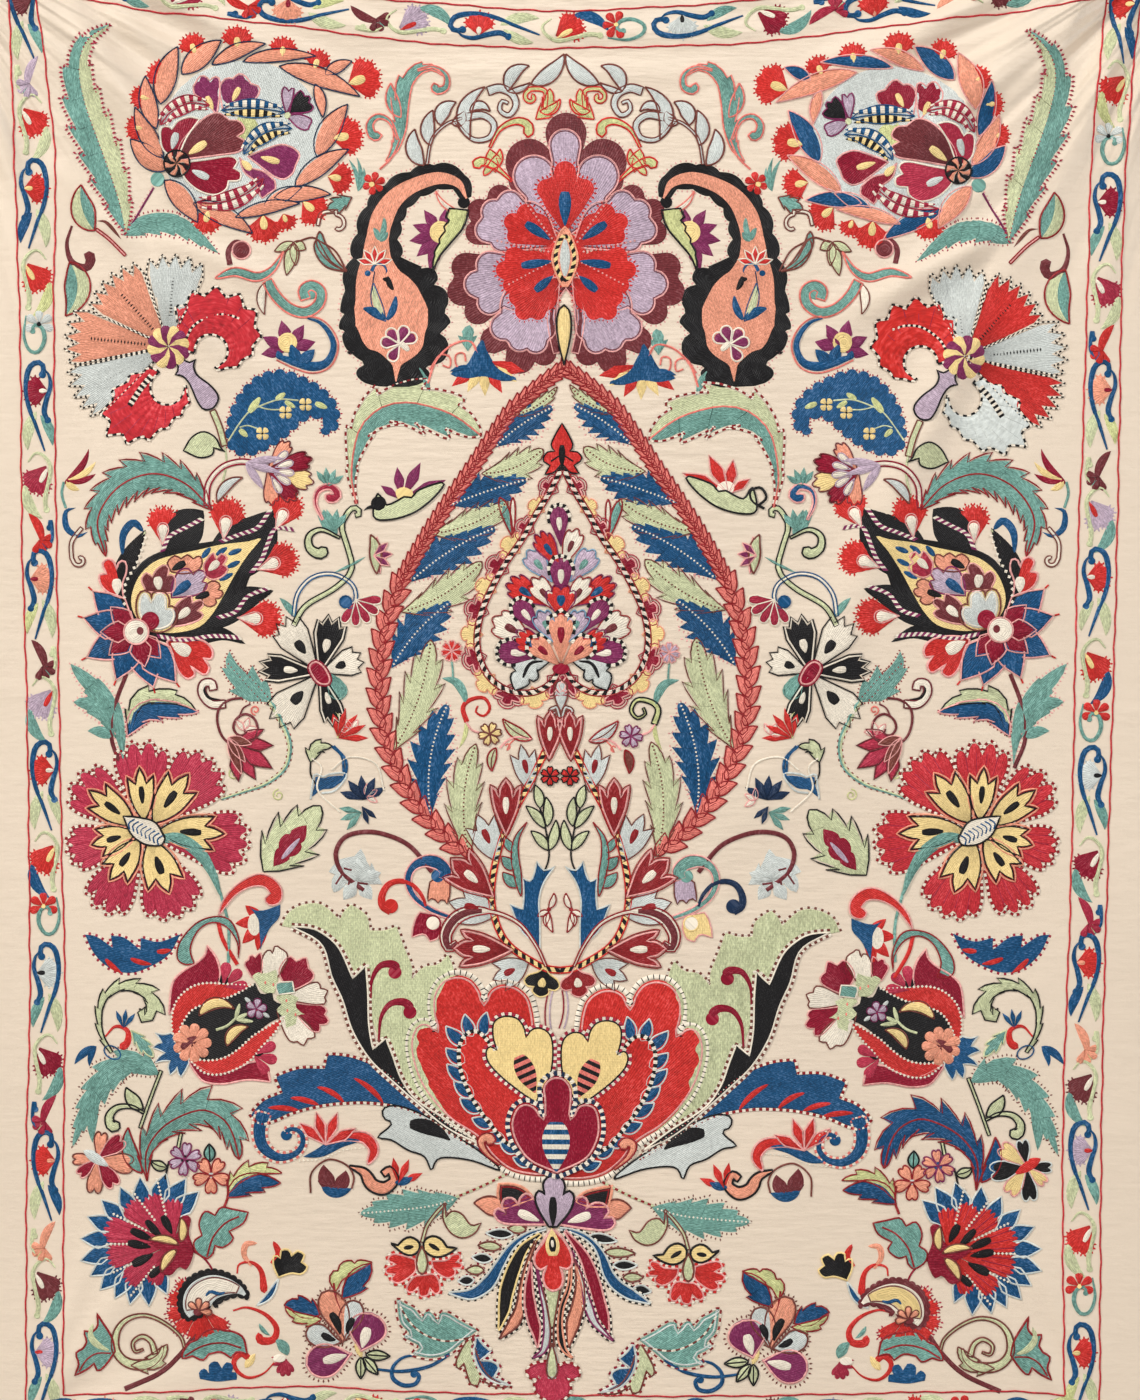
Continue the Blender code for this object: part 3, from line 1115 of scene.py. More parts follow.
def noise(tree, vector, scale, detail=2.0):
    """A Noise Texture's factor."""
    node = tree.nodes.new("ShaderNodeTexNoise")
    node.inputs["Scale"].default_value = scale
    node.inputs["Detail"].default_value = detail
    tree.links.new(vector, node.inputs["Vector"])
    return node.outputs[0]


def scaled(tree, vector, scale):
    """A vector scaled apart along its axes."""
    node = tree.nodes.new("ShaderNodeVectorMath")
    node.operation = "MULTIPLY"
    tree.links.new(vector, node.inputs[0])
    node.inputs[1].default_value = scale
    return node.outputs[0]


def tinted(tree, colour, value):
    """A colour made lighter or darker by a value near 1."""
    node = tree.nodes.new("ShaderNodeVectorMath")
    node.operation = "SCALE"
    tree.links.new(colour, node.inputs[0])
    tree.links.new(value, node.inputs["Scale"])
    return node.outputs[0]


def times(tree, first, second):
    """A product node."""
    return sums(tree, "MULTIPLY", first, second)


def plus(tree, first, second):
    """A sum node."""
    return sums(tree, "ADD", first, second)


def silk_rows_group():
    """Rows of silk stitches: strands of lighter and darker thread with painted sheen highlights, and a
    ridge for each row.
    """
    inputs = (
        ("Colour", "NodeSocketColor", (0.5, 0.5, 0.5, 1.0)),
        ("Row Width", "NodeSocketFloat", ROW_WIDTH),
        ("Streaks", "NodeSocketFloat", 0.3),
    )
    outputs = (("Colour", "NodeSocketColor"), ("Height", "NodeSocketFloat"))
    tree, given, made = group_tree("silk_rows", inputs, outputs)
    rows = tree.nodes.new("ShaderNodeUVMap")
    rows.uv_map = "rows"
    tone = tree.nodes.new("ShaderNodeAttribute")
    tone.attribute_name = "tone"
    split = tree.nodes.new("ShaderNodeSeparateXYZ")
    tree.links.new(rows.outputs[0], split.inputs[0])
    shifted = tree.nodes.new("ShaderNodeCombineXYZ")
    tree.links.new(times(tree, split.outputs[0], 0.45), shifted.inputs[0])
    tree.links.new(split.outputs[1], shifted.inputs[1])
    tree.links.new(times(tree, tone.outputs["Fac"], 0.5), shifted.inputs[2])
    strands = noise(tree, shifted.outputs[0], STRAND_SCALE, 2.0)
    broad = noise(tree, shifted.outputs[0], BROAD_SCALE, 1.0)
    mixed = plus(tree, times(tree, strands, 0.75), times(tree, broad, 0.25))
    around = sums(tree, "SUBTRACT", mixed, 0.5)
    # The streaks scale the colour lighter and darker. This is partly strand tone and partly painted sheen.
    streak = times(tree, around, times(tree, given.outputs["Streaks"], 4.0))
    # The per-shape tone lightens or darkens the whole shape: painted sheen.
    value = plus(tree, 1.0, plus(tree, streak, times(tree, tone.outputs["Fac"], 0.07)))
    # Painted highlight: where the streaks are lightest, white is added to the colour as a sheen glint.
    glint = times(tree, sums(tree, "MAXIMUM", sums(tree, "SUBTRACT", around, 0.03), 0.0), 0.7)
    pale = tree.nodes.new("ShaderNodeCombineXYZ")
    for axis in range(3):
        tree.links.new(times(tree, glint, given.outputs["Streaks"]), pale.inputs[axis])
    lit = tree.nodes.new("ShaderNodeVectorMath")
    tree.links.new(tinted(tree, given.outputs["Colour"], value), lit.inputs[0])
    tree.links.new(pale.outputs[0], lit.inputs[1])
    tree.links.new(lit.outputs[0], made.inputs["Colour"])
    phase = sums(tree, "DIVIDE", split.outputs[1], given.outputs["Row Width"])
    wave = sums(tree, "SINE", times(tree, phase, FULL_TURN))
    step = sums(tree, "SINE", times(tree, split.outputs[0], FULL_TURN / STITCH_LENGTH))
    ridge = plus(tree, times(tree, wave, 0.35), times(tree, step, 0.10))
    tree.links.new(plus(tree, ridge, strands), made.inputs["Height"])
    return tree


def satin_weave_group():
    """Satin ground: fine weave, stitching puckers, folds pulled from the corners and age mottling."""
    inputs = (
        ("Colour", "NodeSocketColor", (0.5, 0.5, 0.5, 1.0)),
        ("Mottling", "NodeSocketFloat", 0.06),
        ("Puckers", "NodeSocketFloat", 1.0),
        ("Pulled folds", "NodeSocketFloat", 30.0),
    )
    outputs = (("Colour", "NodeSocketColor"), ("Roughness", "NodeSocketFloat"),
               ("Height", "NodeSocketFloat"))
    tree, given, made = group_tree("satin_weave", inputs, outputs)
    place = tree.nodes.new("ShaderNodeTexCoord")
    at = place.outputs["Object"]
    split = tree.nodes.new("ShaderNodeSeparateXYZ")
    tree.links.new(at, split.inputs[0])
    warp = sums(tree, "SINE", times(tree, split.outputs[0], FULL_TURN / WARP_PITCH))
    weft = sums(tree, "SINE", times(tree, split.outputs[2], FULL_TURN / WEFT_PITCH))
    weave = times(tree, times(tree, warp, weft), 0.05)
    slub = noise(tree, scaled(tree, at, (30.0, 30.0, 520.0)), 1.0, 2.0)
    pucker = noise(tree, scaled(tree, at, (22.0, 22.0, 120.0)), 1.0, 2.0)
    soft = noise(tree, scaled(tree, at, (40.0, 40.0, 60.0)), 1.0, 2.0)
    across = sums(tree, "DIVIDE", split.outputs[0], PUCKER_REACH)
    centre = sums(tree, "POWER", EULER, times(tree, times(tree, across, across), -1.0))
    drawn = times(tree, pucker, plus(tree, 0.35, centre))
    drawn = times(tree, plus(tree, drawn, times(tree, soft, 0.7)), given.outputs["Puckers"])
    fine = plus(tree, weave, times(tree, slub, 0.06))
    inward = sums(tree, "SUBTRACT", PULL_X, sums(tree, "ABSOLUTE", split.outputs[0], 0.0))
    down = sums(tree, "SUBTRACT", PULL_Z, split.outputs[2])
    reach = sums(tree, "SQRT", plus(tree, times(tree, inward, inward), times(tree, down, down)), 0.0)
    rays = tree.nodes.new("ShaderNodeCombineXYZ")
    tree.links.new(times(tree, sums(tree, "ARCTAN2", down, inward), 10.0), rays.inputs[0])
    tree.links.new(times(tree, reach, 2.2), rays.inputs[1])
    tree.links.new(times(tree, sums(tree, "SIGN", split.outputs[0], 0.0), 4.0), rays.inputs[2])
    spent = sums(tree, "DIVIDE", reach, PULL_REACH)
    fade = sums(tree, "POWER", EULER, times(tree, times(tree, spent, spent), -1.0))
    pulled = times(tree, times(tree, noise(tree, rays.outputs[0], 1.0, 1.5), fade),
                   given.outputs["Pulled folds"])
    tree.links.new(plus(tree, plus(tree, drawn, pulled), fine), made.inputs["Height"])
    cloudy = sums(tree, "SUBTRACT", noise(tree, at, 3.0, 4.0), 0.5)
    speckle = sums(tree, "SUBTRACT", slub, 0.5)
    change = plus(tree, times(tree, cloudy, 2.0), times(tree, speckle, 0.4))
    value = plus(tree, 1.0, times(tree, change, given.outputs["Mottling"]))
    tree.links.new(tinted(tree, given.outputs["Colour"], value), made.inputs["Colour"])
    tree.links.new(plus(tree, 0.40, times(tree, cloudy, 0.25)), made.inputs["Roughness"])
    return tree


def finish(name, group, settings, bump, **shader_values):
    """A material: its shader, fed by a shared group."""
    material = bpy.data.materials.new(name)
    material.use_nodes = True
    tree = material.node_tree
    shader = tree.nodes["Principled BSDF"]
    for label, value in shader_values.items():
        shader.inputs[label.replace("_", " ")].default_value = value
    effect = tree.nodes.new("ShaderNodeGroup")
    effect.node_tree = group
    for label, value in settings.items():
        effect.inputs[label].default_value = value
    tree.links.new(effect.outputs["Colour"], shader.inputs["Base Color"])
    if "Roughness" in effect.outputs:
        tree.links.new(effect.outputs["Roughness"], shader.inputs["Roughness"])
    raised = tree.nodes.new("ShaderNodeBump")
    raised.inputs["Strength"].default_value = bump[0]
    raised.inputs["Distance"].default_value = bump[1]
    tree.links.new(effect.outputs["Height"], raised.inputs["Height"])
    tree.links.new(raised.outputs["Normal"], shader.inputs["Normal"])
    return material


SILK_ROWS = silk_rows_group()
THREAD_FINISH = {
    name: finish(
        "silk_" + name,
        SILK_ROWS,
        {"Colour": srgb(colour) + [1.0], "Streaks": STREAKS_AND_SHEEN.get(name, STREAK_AND_SHEEN_SHARE)},
        SILK_BUMP,
        Roughness=0.48,
        Sheen_Weight=0.04,
        Sheen_Roughness=0.45,
        Specular_IOR_Level=0.20,
    )
    for name, colour in THREADS.items()
}
SATIN_FINISH = finish(
    "cream_satin_ground",
    satin_weave_group(),
    {"Colour": srgb(GROUND_COLOUR) + [1.0]},
    SATIN_BUMP,
    Sheen_Weight=0.15,
    Sheen_Roughness=0.4,
    Specular_IOR_Level=0.5,
)


# The ground cloth.


def cloth_mesh():
    """The cloth as a closed thin sheet: its face, its back and its turned hem."""
    across = np.linspace(0.0, 1.0, CLOTH_COLUMNS + 1)
    across = across - SIDE_REFINEMENT * np.sin(2.0 * math.pi * across) / (2.0 * math.pi)
    side = (2.0 * across - 1.0)[None, :]
    down = np.linspace(0.0, 1.0, CLOTH_ROWS + 1)
    down = ((1.0 - TOP_REFINEMENT) * down + TOP_REFINEMENT * down ** 2)[:, None]
    x = side * half_width(down)
    top = TOP_CORNER_RISE * side ** 2
    bottom = -DROP - HEM_CORNER_DROP * side ** 2
    z = top + (bottom - top) * down
    height = fold_height(x, z)
    front = np.stack([x, -height, z], axis=2).reshape(-1, 3)
    back = front + np.array([0.0, CLOTH_THICKNESS, 0.0])
    columns = CLOTH_COLUMNS + 1
    count = len(front)
    faces = []
    for row in range(CLOTH_ROWS):
        for column in range(CLOTH_COLUMNS):
            here = row * columns + column
            below = here + columns
            faces.append((here, below, below + 1, here + 1))
            faces.append((count + here, count + here + 1, count + below + 1, count + below))
    around = list(range(columns))
    around += [row * columns + CLOTH_COLUMNS for row in range(1, CLOTH_ROWS + 1)]
    around += [CLOTH_ROWS * columns + column for column in range(CLOTH_COLUMNS - 1, -1, -1)]
    around += [row * columns for row in range(CLOTH_ROWS - 1, 0, -1)]
    for here, ahead in zip(around, around[1:] + around[:1]):
        faces.append((here, ahead, count + ahead, count + here))
    mesh = bpy.data.meshes.new("satin_ground")
    mesh.from_pydata(np.concatenate([front, back]).tolist(), [], faces)
    mesh.shade_smooth()
    mesh.materials.append(SATIN_FINISH)
    return mesh


def ground_cloth():
    """The satin ground, which stands for the solid cloth."""
    cloth = bpy.data.objects.new("satin_ground", cloth_mesh())
    bpy.context.scene.collection.objects.link(cloth)
    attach(cloth, "root")
    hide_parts("ground_cloth")
    return cloth


def lay(work):
    """Lay a piece's stitching on the folded cloth."""
    flat = np.concatenate(work.places)
    lifts = np.concatenate(work.lifts)
    height = fold_height(flat[:, 0], flat[:, 1]) + lifts
    mesh = bpy.data.meshes.new(work.name)
    mesh.from_pydata(np.stack([flat[:, 0], -height, flat[:, 1]], axis=1).tolist(), [], work.faces)
    used = [name for name in THREAD_NAMES if name in set(work.threads)]
    for name in used:
        mesh.materials.append(THREAD_FINISH[name])
    slots = {name: index for index, name in enumerate(used)}
    mesh.polygons.foreach_set("material_index", [slots[name] for name in work.threads])
    corner_points = np.empty(len(mesh.loops), dtype=np.int32)
    mesh.loops.foreach_get("vertex_index", corner_points)
    rows = mesh.uv_layers.new(name="rows")
    rows.data.foreach_set("uv", np.concatenate(work.rows)[corner_points].reshape(-1))
    tone = mesh.attributes.new("tone", "FLOAT", "POINT")
    tone.data.foreach_set("value", np.concatenate(work.sheen_tones))
    mesh.shade_smooth()
    mesh.update()
    piece = bpy.data.objects.new(work.name, mesh)
    bpy.context.scene.collection.objects.link(piece)
    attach(piece, "root")
    return piece


# The studio.


def studio():
    """A pale floor, soft lights and a camera square to the cloth."""
    floor_mesh = bpy.data.meshes.new("studio_floor")
    reach = FLOOR_REACH
    level = -DROP - FLOOR_GAP
    corners = [(-reach, -reach, level), (reach, -reach, level), (reach, reach, level),
               (-reach, reach, level)]
    floor_mesh.from_pydata(corners, [], [(0, 1, 2, 3)])
    pale = bpy.data.materials.new("pale_floor")
    pale.use_nodes = True
    pale.node_tree.nodes["Principled BSDF"].inputs["Base Color"].default_value = (0.78, 0.77, 0.75, 1.0)
    pale.node_tree.nodes["Principled BSDF"].inputs["Roughness"].default_value = 0.9
    floor_mesh.materials.append(pale)
    floor = bpy.data.objects.new("studio_floor", floor_mesh)
    bpy.context.scene.collection.objects.link(floor)
    world = bpy.data.worlds.new("soft_room")
    world.use_nodes = True
    world.node_tree.nodes["Background"].inputs["Color"].default_value = (0.94, 0.96, 1.0, 1.0)
    world.node_tree.nodes["Background"].inputs["Strength"].default_value = ROOM_LIGHT
    bpy.context.scene.world = world
    for label, place, size, power, colour in LAMPS:
        lamp = bpy.data.lights.new(label, "AREA")
        lamp.shape = "RECTANGLE"
        lamp.size, lamp.size_y = size
        lamp.energy = power
        lamp.color = colour
        holder = bpy.data.objects.new(label, lamp)
        holder.location = place
        aimed = Vector(LAMP_AIM) - Vector(place)
        holder.rotation_euler = aimed.to_track_quat("-Z", "Y").to_euler()
        bpy.context.scene.collection.objects.link(holder)
    lens = bpy.data.cameras.new("camera")
    lens.lens = CAMERA_LENS
    lens.sensor_width = CAMERA_SENSOR
    camera = bpy.data.objects.new("camera", lens)
    distance = VIEW_HEIGHT * UNIT * CAMERA_LENS / CAMERA_SENSOR
    middle_x = (0.5 * VIEW_WIDTH - AXIS) * UNIT
    middle_z = (CHART_TOP - 0.5 * VIEW_HEIGHT) * UNIT
    camera.location = (middle_x, -distance, middle_z)
    camera.rotation_euler = (math.radians(90.0), 0.0, 0.0)
    bpy.context.scene.collection.objects.link(camera)
    bpy.context.scene.camera = camera
    bpy.context.scene.view_settings.view_transform = "Standard"


# The border: two chain-stitched lines and the vine between them.

OUTER_LEFT = points((5, -48), (10, 0), (20, 320), (22, 540), (26, 660), (29, 830), (30, 1020), (27, 1130),
                    (26, 1431))
INNER_LEFT = points((38, -8), (38, 0), (55, 150), (54, 300), (56, 500), (62, 850), (66, 1000), (64, 1130),
                    (64, 1394))
INNER_RIGHT = points(
    (1108, -1), (1106, 5), (1093, 120), (1088, 260), (1082, 450), (1077, 560), (1071, 850), (1068, 950),
    (1062, 1130), (1063, 1393)
)
OUTER_RIGHT = points(
    (1143, -46), (1139, 0), (1124, 180), (1119, 430), (1114, 640), (1108, 830), (1101, 1080), (1098, 1431)
)
INNER_TOP = points(
    (38, -8), (84, 0), (173, 15), (285, 26), (407, 42), (524, 49), (570, 49), (743, 44), (855, 31),
    (1039, 10),
    (1108, -1)
)
OUTER_TOP = points((5, -48), (120, -30), (250, -10), (381, 0), (520, 10), (570, 11.6), (743, 2), (900, -18),
                   (1143, -46))
INNER_BOTTOM = points((64, 1394), (180, 1389), (300, 1385), (420, 1392), (565, 1394), (800, 1394),
                      (1000, 1391), (1063, 1393))
OUTER_BOTTOM = points((26, 1431), (300, 1424), (565, 1432), (850, 1432), (1098, 1431))


def border_lines():
    """The eight chain-stitched lines that hold the vine."""
    work = Needlework("border_lines")
    for path in (OUTER_LEFT, INNER_LEFT, INNER_RIGHT, OUTER_RIGHT, INNER_TOP, OUTER_TOP, INNER_BOTTOM,
                 OUTER_BOTTOM):
        run = curve(path, int(path_length(path) / 8.0))
        wander = 0.5 * np.sin(np.arange(len(run)) * 1.7) + 0.4 * np.sin(np.arange(len(run)) * 0.53)
        line(work, run + normals(run) * wander[:, None], "cherry", 1.4, level=0.4)
    lay(work)


def vine(work, place, way, reach, hand, kind, tone, blossom, core, leafage):
    """One scroll of the border vine: its stalks, a blossom in its crook and its leaves.

    way is the heading of the border's run, reach is the scroll's length, and hand is 1 or -1 for the
    side it swells to.
    """
    along = aim(way)
    across = aim(way + 90.0) * hand

    def at(run, side):
        return np.array(place) + along * reach * run + across * 13.0 * side

    def stalk(width, end, *steps):
        path = curve([at(*step) for step in steps], 24)
        half = 0.5 * width * np.interp(np.linspace(0.0, 1.0, 24), [0.0, 0.25, 0.75, 1.0],
                                       [1.0, 1.15, 0.8, 0.35])
        strip(work, path, half, half, tone, level=1.0)
        if end:
            disc(work, path[0], end, tone, level=1.2)

    turned = way + 90.0 * hand
    if kind == "scroll":
        stalk(5.4, 8.0, (0.15, 0.4), (0.06, 0.5), (0.01, 0.0), (0.08, -0.65), (0.28, -0.9), (0.5, -0.7),
              (0.74, -0.1), (1.0, 0.5))
        stalk(5.4, 8.0, (0.66, 0.75), (0.56, 0.5), (0.42, 0.7), (0.28, 1.0), (0.16, 0.9), (0.10, 0.6))
        petal(work, at(0.33, 0.8), turned + 180.0, 25.0, 112.0, blossom, "five", level=0.4, shoulder=0.3,
              picot=blossom)
        leaf(work, at(0.33, 0.85), at(0.33, 0.1), 6.0, core, kind="drop", peak=0.6, level=1.6)
        leaf(work, at(0.56, -0.1), at(0.99, -0.8), 13.0, "sage", -0.1 * hand)
        leaf(work, at(0.60, 0.2), at(0.94, 1.1), 11.0, leafage, 0.1 * hand)
    elif kind == "fan":
        stalk(4.6, 7.0, (0.92, -0.6), (0.75, -0.5), (0.5, -0.75), (0.25, -0.95), (0.08, -0.5), (0.02, 0.2),
              (0.16, 0.8))
        petal(work, at(0.22, -0.6), way + 30.0 * hand, 32.0, 88.0, blossom, "five", level=0.4, shoulder=0.3,
              picot=blossom)
        leaf(work, at(0.24, -0.75), at(0.50, -0.1), 7.0, core, kind="drop", peak=0.6, level=1.6)
        leaf(work, at(0.50, 1.0), at(1.06, -0.3), 13.0, leafage, 0.16 * hand)
    elif kind == "ring":
        stalk(4.2, 6.0, (0.42, 0.3), (0.30, 0.2), (0.34, -0.4), (0.6, -0.6), (0.84, -0.1), (0.8, 0.6),
              (0.5, 1.0), (0.1, 0.8))
        flower(work, at(0.28, -0.2), fan(5, way + 180.0, 220.0), 15.0, 50.0, [blossom], level=0.4)
        disc(work, at(0.28, -0.2), 6.0, core, level=3.4)
    else:
        leaf(work, at(0.0, -0.8), at(0.9, 0.2), 10.0, blossom, 0.12 * hand)
        flower(work, at(0.72, 0.0), fan(4, way + 40.0 * hand, 120.0), 15.0, 44.0, [blossom], level=0.4)
        stalk(4.0, 7.0, (0.4, 0.8), (0.2, 0.9), (0.7, 1.0), (1.0, 0.5))
        leaf(work, at(1.0, 0.5), at(0.72, 0.3), 8.0, leafage)


VINE_KINDS = ("scroll", "bud", "fan", "scroll", "fan", "ring", "scroll", "fan", "bud")
VINE_REACH = {"scroll": 88.0, "bud": 36.0, "fan": 62.0, "ring": 48.0}
VINE_TONES = ("blue", "sage", "sage", "blue", "sage", "teal", "blue", "sage", "blue")
VINE_BLOSSOMS = (
    ("maroon", "ivory"), ("crimson", "ivory"), ("red", "gold"), ("lavender", "red"), ("red", "peach"),
    ("silver", "black"),
    ("red", "ivory"), ("peach", "wine"), ("wine", "ivory"), ("red", "gold"),
)
VINE_LEAVES = ("teal", "sage", "lime", "teal", "blue")


def border_run(name, near, far, start):
    """The vine along one side of the border, between its two lines."""
    work = Needlework(name)
    near = resample(near, 240)
    far = resample(far, 240)
    middle = resample(0.5 * (near + far), 400)
    whole = path_length(middle)
    kinds = []
    while sum(VINE_REACH[kind] for kind in kinds) < whole - 40.0:
        kinds.append(VINE_KINDS[(len(kinds) + start) % len(VINE_KINDS)])
    fit = whole / sum(VINE_REACH[kind] for kind in kinds)
    run = 0.0
    for index, kind in enumerate(kinds):
        reach = VINE_REACH[kind] * fit
        here = middle[min(399, int(run / whole * 399))]
        ahead = middle[min(399, int((run + reach) / whole * 399))]
        step = index + start
        blossom, core = VINE_BLOSSOMS[(step * 3) % len(VINE_BLOSSOMS)]
        vine(work, here, heading_of(here, ahead), reach, 1 if index % 2 else -1, kind,
             VINE_TONES[step % len(VINE_TONES)],
             blossom, core, VINE_LEAVES[(step * 3) % len(VINE_LEAVES)])
        run += reach
    lay(work)


def border():
    """The whole border."""
    border_lines()
    border_run("border_vine_left", OUTER_LEFT, INNER_LEFT, 0)
    border_run("border_vine_right", INNER_RIGHT, OUTER_RIGHT, 3)
    border_run("border_vine_top", OUTER_TOP, INNER_TOP, 5)
    border_run("border_vine_bottom", INNER_BOTTOM, OUTER_BOTTOM, 8)


def pair(name, draw, shift=(0, 0), **right):
    """A motif on the left and its mirrored partner, which is shifted and may have its own threads."""
    work = Needlework(name)
    draw(work.side(False))
    draw(work.side(True, shift), **right)
    lay(work)


# The top: crown palmette, scrolls, wreaths and botehs.


CROWN_PETALS = (
    # Where the petal tapers to, its lavender lobes, the maroon lobes behind them, and the red lobes.
    ((570, 236), ((598, 177, 21), (584, 200, 22)), ((603, 163, 24), (604, 180, 20)), ()),
    (
        (572, 248), ((622, 204, 13), (638, 213, 13), (644, 231, 13), (630, 241, 12), (605, 226, 24)),
        ((632, 198, 13), (652, 212, 13), (654, 233, 13), (634, 220, 22)),
        ((606, 214, 10), (619, 223, 10), (617, 237, 9), (596, 230, 17)),
    ),
    (
        (572, 264), ((642, 266, 14), (654, 285, 14), (642, 303, 13), (614, 282, 30)),
        ((666, 268, 15), (670, 292, 15), (654, 312, 14), (636, 286, 28)),
        ((618, 257, 10), (627, 271, 10), (621, 286, 9), (598, 271, 20)),
    ),
    (
        (572, 278), ((628, 328, 14), (612, 341, 12), (596, 343, 12), (588, 330, 12), (604, 308, 28)),
        ((638, 341, 14), (612, 360, 15), (588, 354, 13), (606, 328, 30)),
        ((614, 298, 10), (608, 312, 10), (594, 313, 9), (590, 297, 17)),
    ),
)
CROWN_DROPS = (((580, 242), (608, 223), 13.0), ((577, 262), (613, 267), 12.0),
               ((578, 276), (598, 293), 12.0))


def crown_palmette():
    """The lobed crown above the central oval."""
    work = Needlework("crown_palmette")
    lobed(work, (566, 215), ((566, 134, 21),), "maroon", picot="pink")
    for mirrored in (False, True):
        work.side(mirrored, (2.0, 0.0) if mirrored else (0.0, 0.0))
        for point, lavender, maroon, red in CROWN_PETALS:
            lobed(work, point, maroon, "maroon", picot="pink")
        for index, (point, lavender, maroon, red) in enumerate(CROWN_PETALS):
            raised = 1.2 + 0.3 * (index % 2)
            outline = lobed(work, point, lavender, "lavender", raised, edge="pink", edge_width=1.3)
            line(work, outline + normals(outline, True) * 1.8, "maroon", 0.9, closed=True,
                 level=raised + 1.1)
        for index, (point, lavender, maroon, red) in enumerate(CROWN_PETALS[1:]):
            lobed(work, point, red, "red", 2.8 + 0.2 * (index % 2), picot="red")
        for base, tip, width in CROWN_DROPS:
            leaf(work, base, tip, width, "blue", kind="drop", peak=0.62, level=4.4)
        band = curve([(568, 286), (576, 298), (581, 316), (579, 336), (575, 354)], 16)
        stroke(work, band, 7.0, "maroon", "stem", level=1.6, edge="pink", edge_width=1.1)
        for way, far in ((36.0, 74.0), (78.0, 68.0), (118.0, 62.0)):
            start = np.array((568.0, 256.0)) + aim(way) * 16.0
            dots(work, np.stack([start, np.array((568.0, 256.0)) + aim(way) * far]), "pink", 4.4, 2.0,
                 level=4.6)
    work.side(False)
    disc(work, (565, 256), 44.0, "red", level=2.6)
    top = lobed(work, (566, 226), ((565, 146, 16), (565, 170, 14)), "lavender", 2.0, edge="pink",
                edge_width=1.3)
    line(work, top + normals(top, True) * 1.8, "maroon", 0.9, closed=True, level=3.1)
    lobed(work, (565, 236), ((565, 173, 12), (547, 190, 11), (584, 190, 11), (565, 196, 24)), "red", 3.2,
          picot="red")
    leaf(work, (565, 229), (565, 190), 17.0, "blue", kind="drop", peak=0.66, level=4.6)
    lozenge = curve([(565, 228), (576, 250), (577, 266), (565, 289), (553, 266), (554, 250)], 24,
                    closed=True)
    fill(work, lozenge, "peach", 0.0, 4.2)
    lens = stroke(work, bow((565, 280), (565, 238), 0.0, 14), 14.0, "silver", "leaf", 0.5, level=5.4)
    rope(work, lens + normals(lens, True) * -2.2, 4.4, "black", "gold", 4.0, level=5.6, closed=True)
    line(work, lozenge, "peach", 1.6, closed=True, level=6.2)
    stroke(work, bow((564, 366), (564, 306), 0.0, 14), 15.0, "gold", "drop", 0.68, edge="black", level=4.0)
    lay(work)


def silver_scrolls(work, threads=("silver", "lime"), edges=("brown", "red")):
    """The garland of leaf scrolls that falls from the top middle."""
    silver, lime = threads
    plum, red = edges
    leaf(work, (531, 85), (564, 55), 16.0, silver, 0.12, edge=plum)
    leaf(work, (508, 92), (529, 67), 14.0, silver, -0.22, edge=plum)
    leaf(work, (508, 92), (530, 84), 6.0, silver, 0.1, edge=plum)
    coil = curve([(488, 92), (500, 89), (512, 95), (516, 106), (509, 116), (500, 111), (502, 102),
                  (508, 104)], 26)
    stroke(work, coil, 9.0, silver, "tendril", edge=plum, edge_width=1.2)
    leaf(work, (470, 140), (485, 88), 15.0, silver, -0.24, edge=plum, level=0.6)
    ring_path = curve([(466, 118), (483, 116), (494, 125), (490, 138), (476, 141), (465, 134), (456, 122)],
                      24)
    stroke(work, ring_path, 8.0, silver, "tendril", edge=plum, edge_width=1.2)
    leaf(work, (470, 112), (490, 112), 9.0, silver, -0.3, edge=plum)
    leaf(work, (441, 126), (456, 103), 15.0, silver, -0.22, edge=plum)
    leaf(work, (452, 124), (464, 112), 11.0, silver, 0.2, edge=plum)
    leaf(work, (431, 146), (433, 111), 14.0, silver, -0.12, edge=plum)
    leaf(work, (424, 166), (415, 130), 16.0, silver, -0.16, edge=plum)
    stem(work, [(427, 165), (432, 140), (446, 125), (462, 119)], 2.4, silver, edge=plum)
    # The lime scroll beneath.
    toothed(work, [(536, 120), (548, 108), (550, 90)], 20.0, lime, 3, 0.5, "leaf", 0.45, edge=red)
    leaf(work, (540, 112), (560, 100), 9.0, lime, 0.2, edge=red)
    curl(work, [(545, 110), (545, 92), (530, 90)], (531, 98), 7.0, -10.0, -330.0, 4.0, lime, edge=red)
    stroke(work, curve([(490, 148), (500, 130), (516, 122), (528, 126), (528, 138)], 18), 10.0, lime,
           "hook", edge=red)
    toothed(work, [(490, 150), (492, 164), (484, 176)], 18.0, lime, 3, 0.5, "leaf", 0.4, edge=red)
    leaf(work, (487, 168), (500, 150), 10.0, lime, 0.2, edge=red)
    stroke(work, curve([(512, 182), (496, 168), (482, 162), (474, 168)], 16), 10.0, lime, "hook", edge=red)


